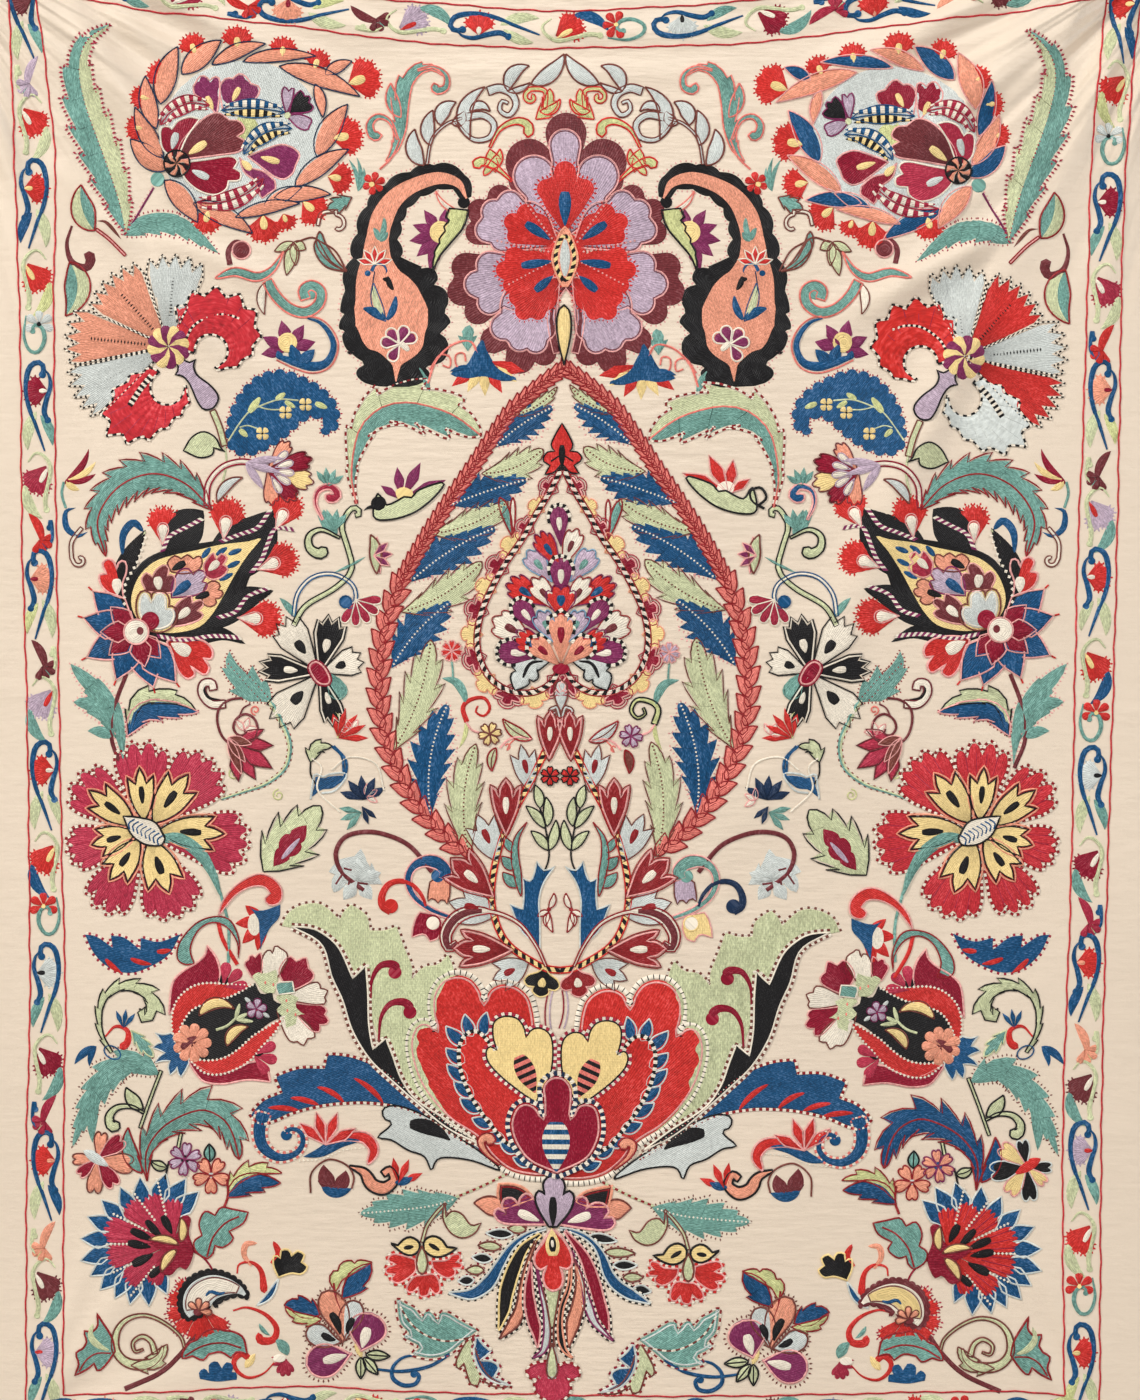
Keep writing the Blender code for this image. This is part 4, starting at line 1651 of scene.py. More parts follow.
def teal_scroll(work, main="teal", edge="coral", bloom="red", core="gold", sprig="teal"):
    """The acanthus scroll beside the garland, with its small blossom."""
    body = [(386, 162), (395, 150), (400, 130), (401, 108), (405, 86), (416, 72), (432, 68), (442, 76)]
    toothed(work, body, 22.0, main, 6, 0.45, "leaf", 0.5, edge=edge, sides="left", balance=0.7)
    stroke(work, curve([(418, 71), (434, 68), (446, 76), (446, 88), (437, 91), (434, 84)], 22), 8.0, main,
           "hook", edge=edge, level=0.6)
    leaf(work, (401, 118), (391, 84), 13.0, main, -0.1, edge=edge)
    stroke(work, curve([(398, 140), (390, 122), (378, 117), (370, 125), (373, 136), (382, 136)], 20), 9.0,
           main, "hook", edge=edge, level=0.4)
    line(work, curve([(380, 170), (392, 158), (400, 140)], 12), edge, 1.8)
    flower(work, (374, 184), ring(6, 10.0), 12.0, 58.0, [bloom], shoulder=0.35)
    disc(work, (372, 185), 7.0, core, level=2.6)
    for tip in ((349, 160), (357, 158), (364, 168)):
        leaf(work, (358, 192), tip, 5.0, sprig, 0.1)
    toothed(work, [(352, 198), (340, 204), (328, 210)], 20.0, sprig, 3, 0.5, "leaf", 0.5, edge="brown")
    curl(work, [(318, 226), (322, 214), (336, 212)], (337, 226), 11.0, -5.0, 200.0, 3.4, "ivory",
         edge="brown")
    stroke(work, curve([(320, 232), (322, 246), (334, 262), (347, 272)], 16), 9.0, sprig, "leaf", 0.35,
           edge="brown")


BOTEH_SPINE = (
    (396, 388), (397, 366), (398, 350), (395, 335), (392, 318), (386, 298), (379, 278), (377, 258),
    (378, 238), (383, 218), (394, 200),
    (412, 187), (438, 179), (458, 184), (467, 200),
)
BOTEH_GIRTH = (0.0, 5.0, 26.0, 34.0, 38.0, 34.0, 24.0, 15.0, 12.0, 12.0, 10.0, 8.0, 7.0, 5.0, 1.5)
BOTEH_LEFT_RIM = (32.0, 34.0, 22.0, 16.0, 15.0, 14.0, 13.0, 12.0, 11.0, 10.0, 9.0, 8.0, 9.0, 8.0, 4.0)
BOTEH_RIGHT_RIM = (22.0, 30.0, 24.0, 20.0, 20.0, 22.0, 22.0, 12.0, 10.0, 9.0, 8.0, 7.0, 5.0, 4.0, 4.0)


def paisley(work, body="peach", rim_thread="black", picot="pink", lotus=("plum", "gold", "lime", "black")):
    """The great boteh with its scalloped black rim and the flowers inside it."""
    steps = 110
    spine = curve(BOTEH_SPINE, steps)
    knots = np.concatenate([[0.0], np.cumsum(np.linalg.norm(np.diff(points(*BOTEH_SPINE), axis=0),
            axis=1))])
    share = np.linspace(0.0, knots[-1], steps)
    half = np.interp(share, knots, BOTEH_GIRTH)
    scallop = 0.62 + 0.52 * np.abs(np.sin(share / 11.0 * math.pi / 2.0)) ** 0.5
    left = half + np.interp(share, knots, BOTEH_LEFT_RIM) * scallop
    right = half + np.interp(share, knots, BOTEH_RIGHT_RIM) * scallop
    edge = rim(spine, left, right)
    fill(work, edge, rim_thread, "around", 0.0, spacing=9.0)
    for side_of in (spine - normals(spine) * left[:, None],
                    (spine + normals(spine) * right[:, None])[::-1]):
        dots(work, side_of, picot, 5.0, 1.8, out=-1.4, level=0.2, reach=3.0)
    disc(work, (464, 203), 13.0, rim_thread, level=1.2)
    body_at = np.flatnonzero(half > 1.0)
    fill(work, rim(spine[body_at], half[body_at], half[body_at]), body, 20.0, 1.4, spacing=9.0)
    # What grows inside: a flower, a bud on its stalk, blue leaves and a lotus.
    flower(work, (400, 345), (-38.0, 18.0, 62.0, -82.0, -150.0), 19.0, 50.0, ["plum"], edge="ivory",
           level=2.6, shoulder=0.3)
    leaf(work, (396, 339), (410, 352), 8.0, "ivory", kind="drop", peak=0.6, level=4.4)
    leaf(work, (386, 322), (374, 284), 10.0, "sage", -0.08, edge="blue", level=2.6, edge_width=1.0)
    leaf(work, (386, 322), (362, 309), 13.0, "blue", 0.1, level=3.0)
    leaf(work, (386, 322), (396, 295), 10.0, "blue", 0.1, level=3.0)
    line(work, curve([(376, 300), (373, 288), (375, 272)], 10), "navy", 1.1, level=3.0)
    stroke(work, curve([(372, 272), (376, 265), (384, 266), (387, 273), (382, 277)], 14), 5.0, "blue",
           "tendril", level=2.8)
    disc(work, (368, 274), 8.0, "blue", level=2.8)
    leaf(work, (388, 276), (395, 292), 8.0, "black", 0.1, level=2.8)
    leaf(work, (390, 282), (382, 280), 6.0, "black", 0.1, level=2.8)
    flower(work, (375, 265), fan(5, 0.0, 150.0), 18.0, 34.0, ["red"], edge="ivory", level=2.6, tip="point",
           edge_width=1.1)
    for tip in ((373, 228), (384, 216), (388, 232)):
        leaf(work, (379, 242), tip, 8.0, "teal", 0.1, level=2.6)
    plum, gold, lime, black = lotus
    for heading, length in ((8, 28), (-35, 32), (-70, 32), (-100, 34), (-130, 34), (-160, 38)):
        petal(work, (442, 236), heading, length, 40.0, plum, "point", level=0.4 + 0.3 * (heading % 3),
              shoulder=0.4)
    disc(work, (441, 233), 24.0, gold, level=2.2)
    horn = curve([(457, 210), (455, 224), (446, 240), (437, 256), (433, 273)], 22)
    taper = np.linspace(1.0, 0.0, 22)
    saw = 12.0 * taper * (0.62 + 0.38 * (np.arange(22) % 4) / 3.0)
    strip(work, horn, 12.0 * taper, saw, lime, level=3.0)
    line(work, rim(horn, 12.0 * taper, saw), black, 1.6, closed=True, level=4.0)
    leaf(work, (462, 213), (436, 192), 5.0, "ivory", -0.15, edge="coral", edge_width=1.2)


WREATH_PETALS = (
    # Outline in arcs, which of the threads, edge, level, and the drop: its line, width and thread.
    (([(217, 115), (204, 101), (195, 95), (194, 87)], [(200, 77), (206, 77), (210, 81)],
      [(215, 77), (220, 81), (219, 104), (217, 115)]),
     3, "pink", 1.2, ((214, 112), (207, 96)), 8.0, "gold"),
    (([(223, 110), (220, 88), (226, 79), (233, 79)], [(240, 74), (247, 78), (251, 84)],
      [(260, 88), (257, 98), (249, 103)],
      [(236, 104), (223, 110)]), 3, "pink", 1.2, ((232, 103), (240, 87)), 8.0, "gold"),
    (([(248, 157), (262, 151), (281, 145), (293, 148)], [(300, 155), (296, 166)],
      [(293, 174), (284, 180), (274, 177)], [(262, 168), (248, 157)]),
     3, "pink", 1.2, ((259, 157), (281, 163)), 9.0, "gold"),
    (([(240, 158), (250, 168), (264, 172), (275, 181)], [(276, 189), (269, 194)],
      [(262, 199), (259, 191), (255, 181)], [(244, 172), (240, 158)]),
     3, "pink", 1.8, ((241, 160), (252, 171)), 9.0, "gold"),
    (([(178, 160), (182, 144), (195, 128), (208, 117), (220, 114), (230, 121)],
      [(240, 122), (245, 131), (237, 137)],
      [(245, 142), (240, 152), (218, 156), (178, 162)]), 1, "pink", 3.6, ((188, 157), (208, 142)), 11.0,
      "gold"),
    (([(176, 160), (165, 152), (162, 140), (163, 130), (169, 128), (173, 131)],
      [(179, 122), (190, 118), (200, 120)],
      [(188, 138), (180, 158)]), 0, "ivory", 4.4, ((173, 153), (178, 133)), 10.0, "silver"),
    (([(180, 165), (206, 161), (230, 157), (238, 162), (234, 169)], [(241, 173), (240, 181), (229, 182)],
      [(227, 190), (216, 196), (200, 192), (186, 180), (180, 166)]), 2, "ivory", 3.6,
      ((191, 171), (211, 180)), 10.0, "silver"),
)


def wreath(work, leaf_threads=("peach",), leaf_edge="navy", petals=("wine", "maroon", "wine"),
           side_petals="plum",
           wheel=("peach", "black"), stripes=("crimson", "ivory"), knots="lavender", ground="silver"):
    """The corner wreath: an oval ground, its flowers, and a ring of leaves and little carnations."""
    fill(work, oval((242, 139), 166.0, 156.0, 40, -12.0), ground, 20.0, 0.0, spacing=11.0)
    carnations = (
        (194, 50, -20.0, 15.0), (238, 46, 0.0, 17.0), (283, 54, 6.0, 15.0), (316, 66, 20.0, 15.0),
        (356, 82, 70.0, 24.0),
        (340, 138, 80.0, 22.0), (334, 178, 100.0, 18.0), (308, 206, 130.0, 19.0), (285, 218, 160.0, 12.0),
        (164, 78, -50.0, 16.0), (148, 100, -80.0, 14.0), (142, 130, -85.0, 14.0), (208, 216, -165.0, 17.0),
        (264, 222, 175.0, 20.0),
    )
    for x, y, heading, size in carnations:
        base = np.array((x, y)) - aim(heading) * 0.35 * size
        petal(work, base, heading, 1.45 * size, 112.0, "red", "five", level=0.4, shoulder=0.28, picot="red")
        leaf(work, base, base + aim(heading) * 0.8 * size, 0.5 * size, "gold", kind="drop", peak=0.6,
             level=2.0)
    leaves = (
        (165, 168, 131, 140, 19.0), (162, 155, 137, 110, 16.0), (157, 126, 146, 77, 15.0),
        (163, 100, 178, 47, 20.0),
        (186, 72, 222, 42, 19.0), (217, 63, 266, 45, 13.0), (250, 62, 316, 57, 12.0),
        (287, 70, 360, 97, 17.0),
        (328, 74, 352, 62, 11.0), (316, 88, 323, 118, 10.0), (320, 153, 348, 105, 20.0),
        (300, 184, 349, 150, 17.0),
        (280, 198, 331, 195, 14.0), (168, 185, 198, 223, 19.0), (199, 207, 253, 234, 17.0),
        (242, 217, 300, 204, 12.0),
        (268, 206, 302, 188, 13.0),
    )
    for index, (x, y, tip_x, tip_y, width) in enumerate(leaves):
        thread = leaf_threads[index % len(leaf_threads)]
        tail = np.array((x, y)) - 0.10 * np.array((tip_x - x, tip_y - y))
        leaf(work, tail, (tip_x, tip_y), 1.12 * width, thread, -0.05, edge=leaf_edge,
             level=1.6 + 0.9 * (index % 2), edge_width=1.0)
    fill(work, curve([(226, 118), (244, 116), (264, 122), (254, 138), (244, 150), (236, 138)], 30,
                     closed=True), "lime", 20.0, 0.8,
         spacing=8.0)
    for arcs, which, edge, level, drop, width, drop_thread in WREATH_PETALS:
        cutwork(work, arcs, (*petals, side_petals)[which], (178, 165) if which < 3 else (240, 128), level,
                spacing=7.0, edge=edge,
                edge_width=1.4)
        leaf(work, *drop, width, drop_thread, kind="drop", peak=0.62, level=level + 1.8)
    crimson, ivory = stripes
    for spine, width, upper, lower in (
        (curve([(162, 127), (172, 113), (190, 104), (210, 106)], 24), 9.0, (crimson, ivory),
         (crimson, ivory)),
        (bow((222, 111), (285, 113), -0.05), 9.5, ("blue", "ivory"), ("black", "gold")),
        (bow((244, 155), (292, 129), -0.16), 9.5, ("blue", "ivory"), ("black", "gold")),
        (bow((198, 203), (264, 179), 0.14), 9.5, (crimson, ivory), (crimson, ivory)),
    ):
        over = spine - normals(spine) * 0.5 * width
        under = spine + normals(spine) * 0.5 * width
        striped(work, over, width, upper[0], upper[1], 15, level=5.0)
        striped(work, under, width, lower[0], lower[1], 15, level=5.0)
        outer = normals(spine) * girth("leaf", np.linspace(0.0, 1.0, len(spine)), 0.5)[:, None] * width
        line(work, np.concatenate([spine - outer, (spine + outer)[::-1]]), upper[0], 0.9, closed=True,
             level=5.8)
        line(work, spine, upper[0], 1.0, level=6.2)
    for arcs, thread in (
        (([(286, 113), (282, 96), (285, 87), (289, 92)], [(294, 88), (293, 100), (288, 112)]), knots),
        (([(290, 112), (293, 100), (301, 91), (305, 97)], [(311, 97), (309, 103)],
          [(314, 108), (308, 113), (290, 114)]), "black"),
        (([(290, 116), (300, 115), (312, 120), (310, 126)], [(307, 131), (298, 128), (289, 119)]), knots),
    ):
        cutwork(work, arcs, thread, (288, 114), 3.2, spacing=7.0, edge="plum", edge_width=1.3)
    disc(work, (288, 116), 8.0, "sage", level=4.6)
    wheel_at = (178.0, 165.0)
    pinwheel(work, wheel_at, 13.0, wheel[0], wheel[1], 6, level=6.0, edge=wheel[1])
    disc(work, (158, 180), 15.0, "teal", level=1.0)
    stem(work, [(154, 188), (142, 208), (128, 232)], 2.4, "plum", picot="pink")


def corner_blades(work, outer="teal", inner="sage", low="teal", picot="crimson", bud_leaf=("teal", "sage")):
    """The long two-tone blade beside the wreath, the low blade, and the small leaves at the edge."""
    spine = [(127, 234), (118, 196), (102, 150), (86, 105), (80, 70), (88, 46), (110, 25)]
    toothed(work, spine, 52.0, outer, 8, 0.35, "leaf", 0.42, other=inner, picot=picot, lean=0.9,
            balance=0.8, level=1.6)
    dots(work, curve(spine, 50), picot, 4.4, 1.8, level=3.0)
    toothed(work, [(124, 236), (148, 226), (180, 228), (219, 254)], 26.0, low, 6, 0.45, "leaf", 0.35,
            picot=picot,
            sides="right", lean=0.8)
    leaf(work, (95, 231), (82, 186), 24.0, bud_leaf[1], -0.12, edge="dark_red", other=bud_leaf[0])
    stem(work, [(97, 230), (110, 240), (126, 256)], 2.6, "pink", edge="dark_red")
    stroke(work, curve([(98, 222), (108, 224), (122, 240)], 12), 4.0, "brown", "leaf")
    stroke(work, curve([(72, 226), (67, 244), (72, 262), (86, 268), (91, 258), (84, 254)], 22), 12.0,
           "maroon", "hook")
    leaf(work, (70, 262), (66, 316), 26.0, bud_leaf[1], -0.18, edge="dark_red", other=bud_leaf[0])


UPPER_CURL = (
    (-95, 20), (-80, 34), (-60, 44), (-45, 54), (-30, 60), (-15, 65), (2, 66), (18, 65), (34, 64), (50, 61),
    (68, 55),
    (84, 47), (100, 39), (120, 31), (145, 23), (168, 17),
)
LOWER_CURL = (
    (-28, 24), (-50, 30), (-70, 40), (-86, 51), (-100, 64), (-114, 76), (-126, 80), (-138, 75), (-150, 66),
    (-162, 56),
    (-176, 44), (-194, 35), (-212, 31), (-236, 28), (-262, 22), (-280, 16),
)


def great_carnation(work, petals=("peach", "peach", "silver", "silver"), curls=("cherry", "cherry"),
                    ribs=("crimson", "crimson"),
                    calyx="lavender", wheel=("gold", "plum")):
    """The big serrated carnation on its calyx and stalk."""
    centre = (169.0, 347.0)
    for heading, length, spread, level, thread in (
        (-42.0, 94.0, 46.0, 0.0, petals[0]), (-84.0, 105.0, 36.0, 0.0, petals[1]),
        (5.0, 92.0, 43.0, 1.5, petals[2]),
        (-118.0, 108.0, 34.0, 1.5, petals[3]),
    ):
        outline = petal(work, centre, heading, length, spread, thread, "saw", shoulder=0.05,
                        teeth_depth=0.13, level=level,
                        tooth_gap=13.0)
        ladder(work, outline, 1.7, ("black", "ivory"), 2.6, -0.6, True, 2.6)
        rungs = np.stack([np.array(centre) + aim(heading) * 24.0,
                          np.array(centre) + aim(heading) * 0.74 * length])
        dots(work, rungs, "black", 3.4, 1.3, level=1.8, reach=3.6)
    curled_fan(work, (212, 352), 17.0, UPPER_CURL, curls[0], 11, 2.0, picot=("black", "ivory"), tooth=0.15)
    curled_fan(work, (168, 388), 17.0, LOWER_CURL, curls[1], 11, 2.0, picot=("black", "ivory"), tooth=0.15)
    for hole, reaches, first_at, last_at, rib in (((212, 352), UPPER_CURL, 2, 10, ribs[0]),
                                                  ((168, 388), LOWER_CURL, 4, 12, ribs[1])):
        for at in range(first_at, last_at):
            heading, reach = reaches[at]
            near = np.array(hole) + aim(heading) * 0.55 * reach
            far = np.array(hole) + aim(heading) * 0.86 * reach
            line(work, np.stack([near, 0.5 * (near + far), far]), rib, 1.0, level=2.6)
    dots(work, curve([(186, 342), (194, 328), (210, 317), (226, 315), (240, 319)], 24), ("ivory", "black"),
         2.6, 1.8, level=3.4, reach=2.6)
    dots(work, curve([(152, 376), (142, 388), (130, 406)], 20), ("ivory", "black"), 2.6, 1.8, level=3.4,
         reach=6.0)
    cutwork(work, ([(177, 363), (181, 364), (184, 360)], [(190, 363), (196, 360)],
                   [(194, 367), (198, 376), (211, 386), (219, 397), (216, 406), (210, 410), (203, 409),
                    (197, 400), (192, 388), (187, 380),
                    (182, 376), (176, 375)], [(179, 369), (177, 363)]), calyx, 52.0, 1.4, spacing=7.0,
                    edge="black", edge_width=1.6)
    for index, heading in enumerate(ring(12)):
        petal(work, centre, heading, 23.0, 40.0, wheel[index % 2], shoulder=0.2, bend=24.0, level=4.0)
    stem(work, [(213, 411), (220, 428), (225, 446)], 6.0, "sage", edge="brown")
    stem(work, [(225, 444), (227, 464), (222, 487)], 2.4, "sage")
    cutwork(work, ([(192, 438), (204, 432), (216, 438), (221, 448), (226, 452)], [(214, 448)],
                   [(213, 455), (200, 458), (184, 451)]),
            "sage", 40.0, 0.2, spacing=7.0, edge="black", edge_width=1.4)


def bell_flower(work, petals=("peach", "wine", "gold", "wine", "peach"), calyx="lavender"):
    """The bell flower on its arched stalk under the carnation."""
    stroke(work, curve([(207, 506), (209, 484), (222, 468), (240, 462), (258, 464)], 26), 5.0, "ivory",
           "stem", edge="wine")
    heart = (268.0, 470.0)
    for index, (heading, length) in enumerate(((38, 36), (76, 46), (106, 48), (137, 42), (172, 36))):
        petal(work, heart, heading, length, 36.0, petals[index], "three", edge="maroon",
              level=0.4 + 2.0 * (index % 2), shoulder=0.3,
              edge_width=1.1)
    for heading in (48, 74, 98, 122, 150):
        leaf(work, np.array(heart) + aim(heading) * 8.0, np.array(heart) + aim(heading) * 27.0, 7.0,
             "ivory", kind="drop", peak=0.7,
             edge="lavender", level=3.4, edge_width=0.9)
    for tip in ((287, 458), (284, 474), (264, 490)):
        leaf(work, (246, 463), tip, 9.0, calyx, level=4.0)
    leaf(work, (218, 502), (243, 478), 10.0, "silver", -0.15, edge="brown", level=0.6)


def scroll_leaves(work, body="teal", edge="coral", ink="brown"):
    """The scrolling leaves between the wreath and the boteh."""
    stroke(work, curve([(216, 279), (236, 273), (258, 278), (273, 270), (284, 252)], 24), 9.0, body, "leaf",
           0.4, edge=edge)
    for tip, width in (((275, 252), 9.0), ((287, 276), 12.0), ((306, 250), 10.0), ((296, 266), 9.0)):
        leaf(work, (294, 243), tip, width, "sage", edge=ink, edge_width=1.1)
    line(work, curve([(296, 243), (312, 238), (322, 243), (336, 252), (347, 272)], 24), ink, 1.6)
    stroke(work, curve([(317, 240), (319, 250), (328, 264), (345, 272)], 18), 9.0, body, "leaf", 0.35,
           edge=ink)
    scroll = curve([(268, 282), (276, 296), (290, 309), (306, 313), (319, 305), (321, 292), (312, 286),
                    (304, 291), (306, 300)], 44)
    stroke(work, scroll, 10.0, body, "stem", edge=edge, level=0.4)
    disc(work, (311, 294), 13.0, body, level=1.2)
    leaf(work, (266, 284), (265, 315), 9.0, "ivory", 0.12, edge=ink, edge_width=1.0)


def blue_boteh(work, body="blue", picot="crimson", blossom="gold", twig="sage"):
    """The scalloped blue boteh with its sprig of tiny flowers."""
    body_line = curve([(235, 451), (229, 436), (233, 413), (243, 394), (259, 379), (281, 373), (303, 380),
                       (322, 391), (335, 406),
                       (337, 422), (331, 432), (322, 430), (327, 422), (316, 416), (302, 420), (289, 432),
                       (271, 445), (252, 453)], 90,
                      closed=True)
    outline = scalloped(clockwise(body_line), 12.5, 4.0)
    fill(work, outline, body, -40.0, 0.0, spacing=9.0)
    dots(work, outline, picot, 4.4, 1.8, out=-0.8, closed=True, level=0.2, reach=3.4)
    line(work, curve([(229, 441), (240, 424), (250, 412), (262, 406), (280, 400), (299, 401)], 22), twig,
         1.4, level=1.4)
    for path in ([(258, 407), (270, 410), (282, 410)], [(240, 428), (248, 426), (258, 429)]):
        line(work, curve(path, 8), twig, 1.2, level=1.4)
    for base, tip, width in (((248, 415), (262, 396), 10.0), ((275, 401), (287, 393), 8.0),
                             ((284, 401), (297, 409), 7.0),
                             ((239, 429), (249, 438), 8.0), ((314, 403), (329, 409), 8.0)):
        leaf(work, base, tip, width, "lime", level=1.2, count=8)
    for centre in ((263, 434), (286, 413), (306, 405)):
        flower(work, centre, ring(4, 45.0), 7.6, 88.0, [blossom], level=1.2)
        disc(work, centre, 3.6, "black", level=3.8)


def arched_leaf(work, body="teal", edge="dark_red", other=None, picot=None):
    """The serrated leaf that arches over the side palmette."""
    spine = [(212, 510), (186, 484), (152, 474), (118, 488), (98, 520), (106, 556)]
    toothed(work, spine, 46.0, body, 12, 0.42, "leaf", 0.45, other=other, edge=edge, picot=picot, vein=edge,
            lean=0.9)


def edge_lily(work, petals=("wine", "gold"), stalk="teal", hook="blue", tail="brown"):
    """The small lily with its hook by the border."""
    for index, tip in enumerate(((89, 449), (96, 462), (96, 474), (80, 490), (70, 482))):
        leaf(work, (66, 480), tip, 8.0, petals[index % 2], 0.12)
    stem(work, [(64, 482), (62, 494), (66, 508)], 3.0, stalk)
    stroke(work, curve([(76, 508), (66, 512), (67, 528), (78, 536), (88, 532)], 16), 7.0, hook, "leaf")
    curl(work, [(82, 528), (72, 542), (72, 558)], (80, 560), 7.0, -90.0, -290.0, 3.6, "ivory", edge=tail)


def small_lotus(work, petals="plum", core="gold", cup="blue", tail="coral"):
    """The lotus between the carnation and the boteh."""
    heart = (289.0, 350.0)
    for index, (heading, length, spread) in enumerate(((-100, 29, 46), (-64, 30, 44), (-14, 31, 48),
                                                       (32, 30, 46), (74, 29, 50))):
        petal(work, heart, heading, length, spread, petals, "point", level=0.2 + 1.2 * (index % 2),
              shoulder=0.5)
    disc(work, (288, 343), 21.0, core, level=2.4)
    sweep = curve([(278, 357), (294, 362), (312, 367), (327, 363), (334, 348), (330, 334), (320, 323),
                   (308, 319)], 34)
    share = np.linspace(0.0, 1.0, 34)
    half = np.interp(share, [0.0, 0.15, 0.35, 0.55, 0.8, 1.0], [2.0, 4.6, 5.0, 3.4, 2.6, 0.8])
    line(work, sweep + normals(sweep) * (half + 1.6)[:, None], tail, 1.4, level=0.6)
    strip(work, sweep, half, half, cup, level=3.4)
    for tip, width in (((291, 344), 13.0), ((315, 350), 13.0)):
        leaf(work, (299, 366), tip, width, cup, level=3.4)
    leaf(work, (281, 360), (278, 351), 8.0, cup, level=3.4)


# The middle: the oval of leaves, the heart and the drop.


def oval_braid():
    """The ears of coral leaflets that close the central oval."""
    work = Needlework("oval_braid")
    upper = curve([(397, 590), (412, 562), (431, 530), (452, 498), (474, 466), (494, 436), (513, 410),
                   (538, 388), (561, 371)], 60)
    lower = curve([(470, 856), (445, 836), (418, 806), (396, 768), (383, 728), (379, 688), (382, 646),
                   (388, 616), (400, 586)], 60)
    for mirrored in (False, True):
        work.side(mirrored, (-3.0, -2.0) if mirrored else (0.0, 0.0))
        braid(work, lower, 25.0, 12.5, "coral", "dark_red", 30.0, 18.0)
        braid(work, upper, 19.0, 8.0, "coral", "dark_red", 26.0, 9.5)
    lay(work)


INNER_LEAVES = (
    # Base, tip, width, bend, and the leaf's sort, from the top down.
    ((512, 416), (557, 388), 15.0, 0.10, "sage"),
    ((495, 448), (553, 408), 36.0, -0.05, "blue"),
    ((482, 474), (543, 450), 34.0, 0.10, "sage"),
    ((450, 506), (527, 480), 40.0, -0.02, "blue"),
    ((432, 534), (508, 502), 34.0, 0.08, "sage"),
    ((411, 582), (496, 528), 44.0, -0.05, "blue"),
    ((402, 612), (482, 562), 38.0, 0.08, "sage"),
    ((392, 668), (451, 602), 46.0, -0.06, "blue"),
    ((394, 750), (431, 640), 42.0, 0.06, "sage"),
    ((431, 816), (448, 704), 44.0, -0.08, "blue"),
    ((470, 858), (476, 744), 38.0, -0.08, "sage"),
)


def oval_leaves():
    """The blue and sage leaves that lean in from the braid."""
    work = Needlework("oval_leaves")
    for mirrored in (False, True):
        work.side(mirrored, (-3.0, -2.0) if mirrored else (0.0, 0.0))
        for index, (base, tip, width, bend, sort) in enumerate(INNER_LEAVES):
            spine = bow(base, tip, bend, 30)
            level = 0.3 * (index % 2)
            if sort == "blue":
                toothed(work, spine, 1.18 * width, "blue", 7, 0.50, "leaf", 0.5, picot="pink",
                        vein=("ivory",), lean=1.3,
                        level=level, pitch=4.4)
            else:
                toothed(work, spine, 1.06 * width, "sage", 5, 0.42, "leaf", 0.5, edge="brown",
                        vein=("brown",), lean=1.3,
                        level=level, edge_width=1.0)
    lay(work)


HEART_ROPE = (
    (562, 468), (550, 492), (536, 515), (522, 540), (506, 563), (492, 588), (481, 614), (477, 640),
    (481, 662), (493, 681),
    (513, 692), (535, 692), (552, 682), (562, 664),
)


HEAD_KINDS = {
    # Thread, tip, outline, picots and the drop at the heart of each kind of flower head.
    "plum": ("plum", "five", None, ("black", "ivory"), "ivory"),
    "red": ("red", "four", "plum", None, "blue"),
    "ivory": ("ivory", "three", "dark_red", None, "maroon"),
    "lavender": ("lavender", "three", "sky", None, "teal"),
    "peach": ("peach", "three", None, ("black", "ivory"), "wine"),
}
BOUQUET = (
    # Base, heading, length, spread, kind, level, and one or both sides.
    ((561, 548), -4.0, 44.0, 40.0, "plum", 1.0, "one"),
    ((562, 568), 22.0, 42.0, 40.0, "ivory", 1.6, "one"),
    ((561, 570), -32.0, 44.0, 42.0, "red", 2.4, "one"),
    ((552, 582), -38.0, 40.0, 50.0, "lavender", 1.0, "both"),
    ((561, 602), 0.0, 47.0, 44.0, "plum", 3.4, "one"),
    ((546, 606), -56.0, 46.0, 48.0, "red", 2.0, "both"),
    ((560, 614), -38.0, 46.0, 40.0, "ivory", 4.2, "both"),
    ((534, 642), -60.0, 48.0, 52.0, "ivory", 2.0, "both"),
    ((541, 634), -38.0, 44.0, 44.0, "plum", 3.4, "both"),
    ((561, 620), 0.0, 36.0, 76.0, "red", 5.4, "one"),
    ((545, 656), -84.0, 50.0, 44.0, "plum", 3.4, "both"),
    ((552, 656), -60.0, 44.0, 46.0, "red", 4.8, "both"),
    ((556, 644), -28.0, 38.0, 48.0, "lavender", 6.2, "both"),
    ((560, 666), -48.0, 42.0, 48.0, "peach", 6.4, "both"),
    ((561, 664), 0.0, 54.0, 44.0, "peach", 7.4, "one"),
)


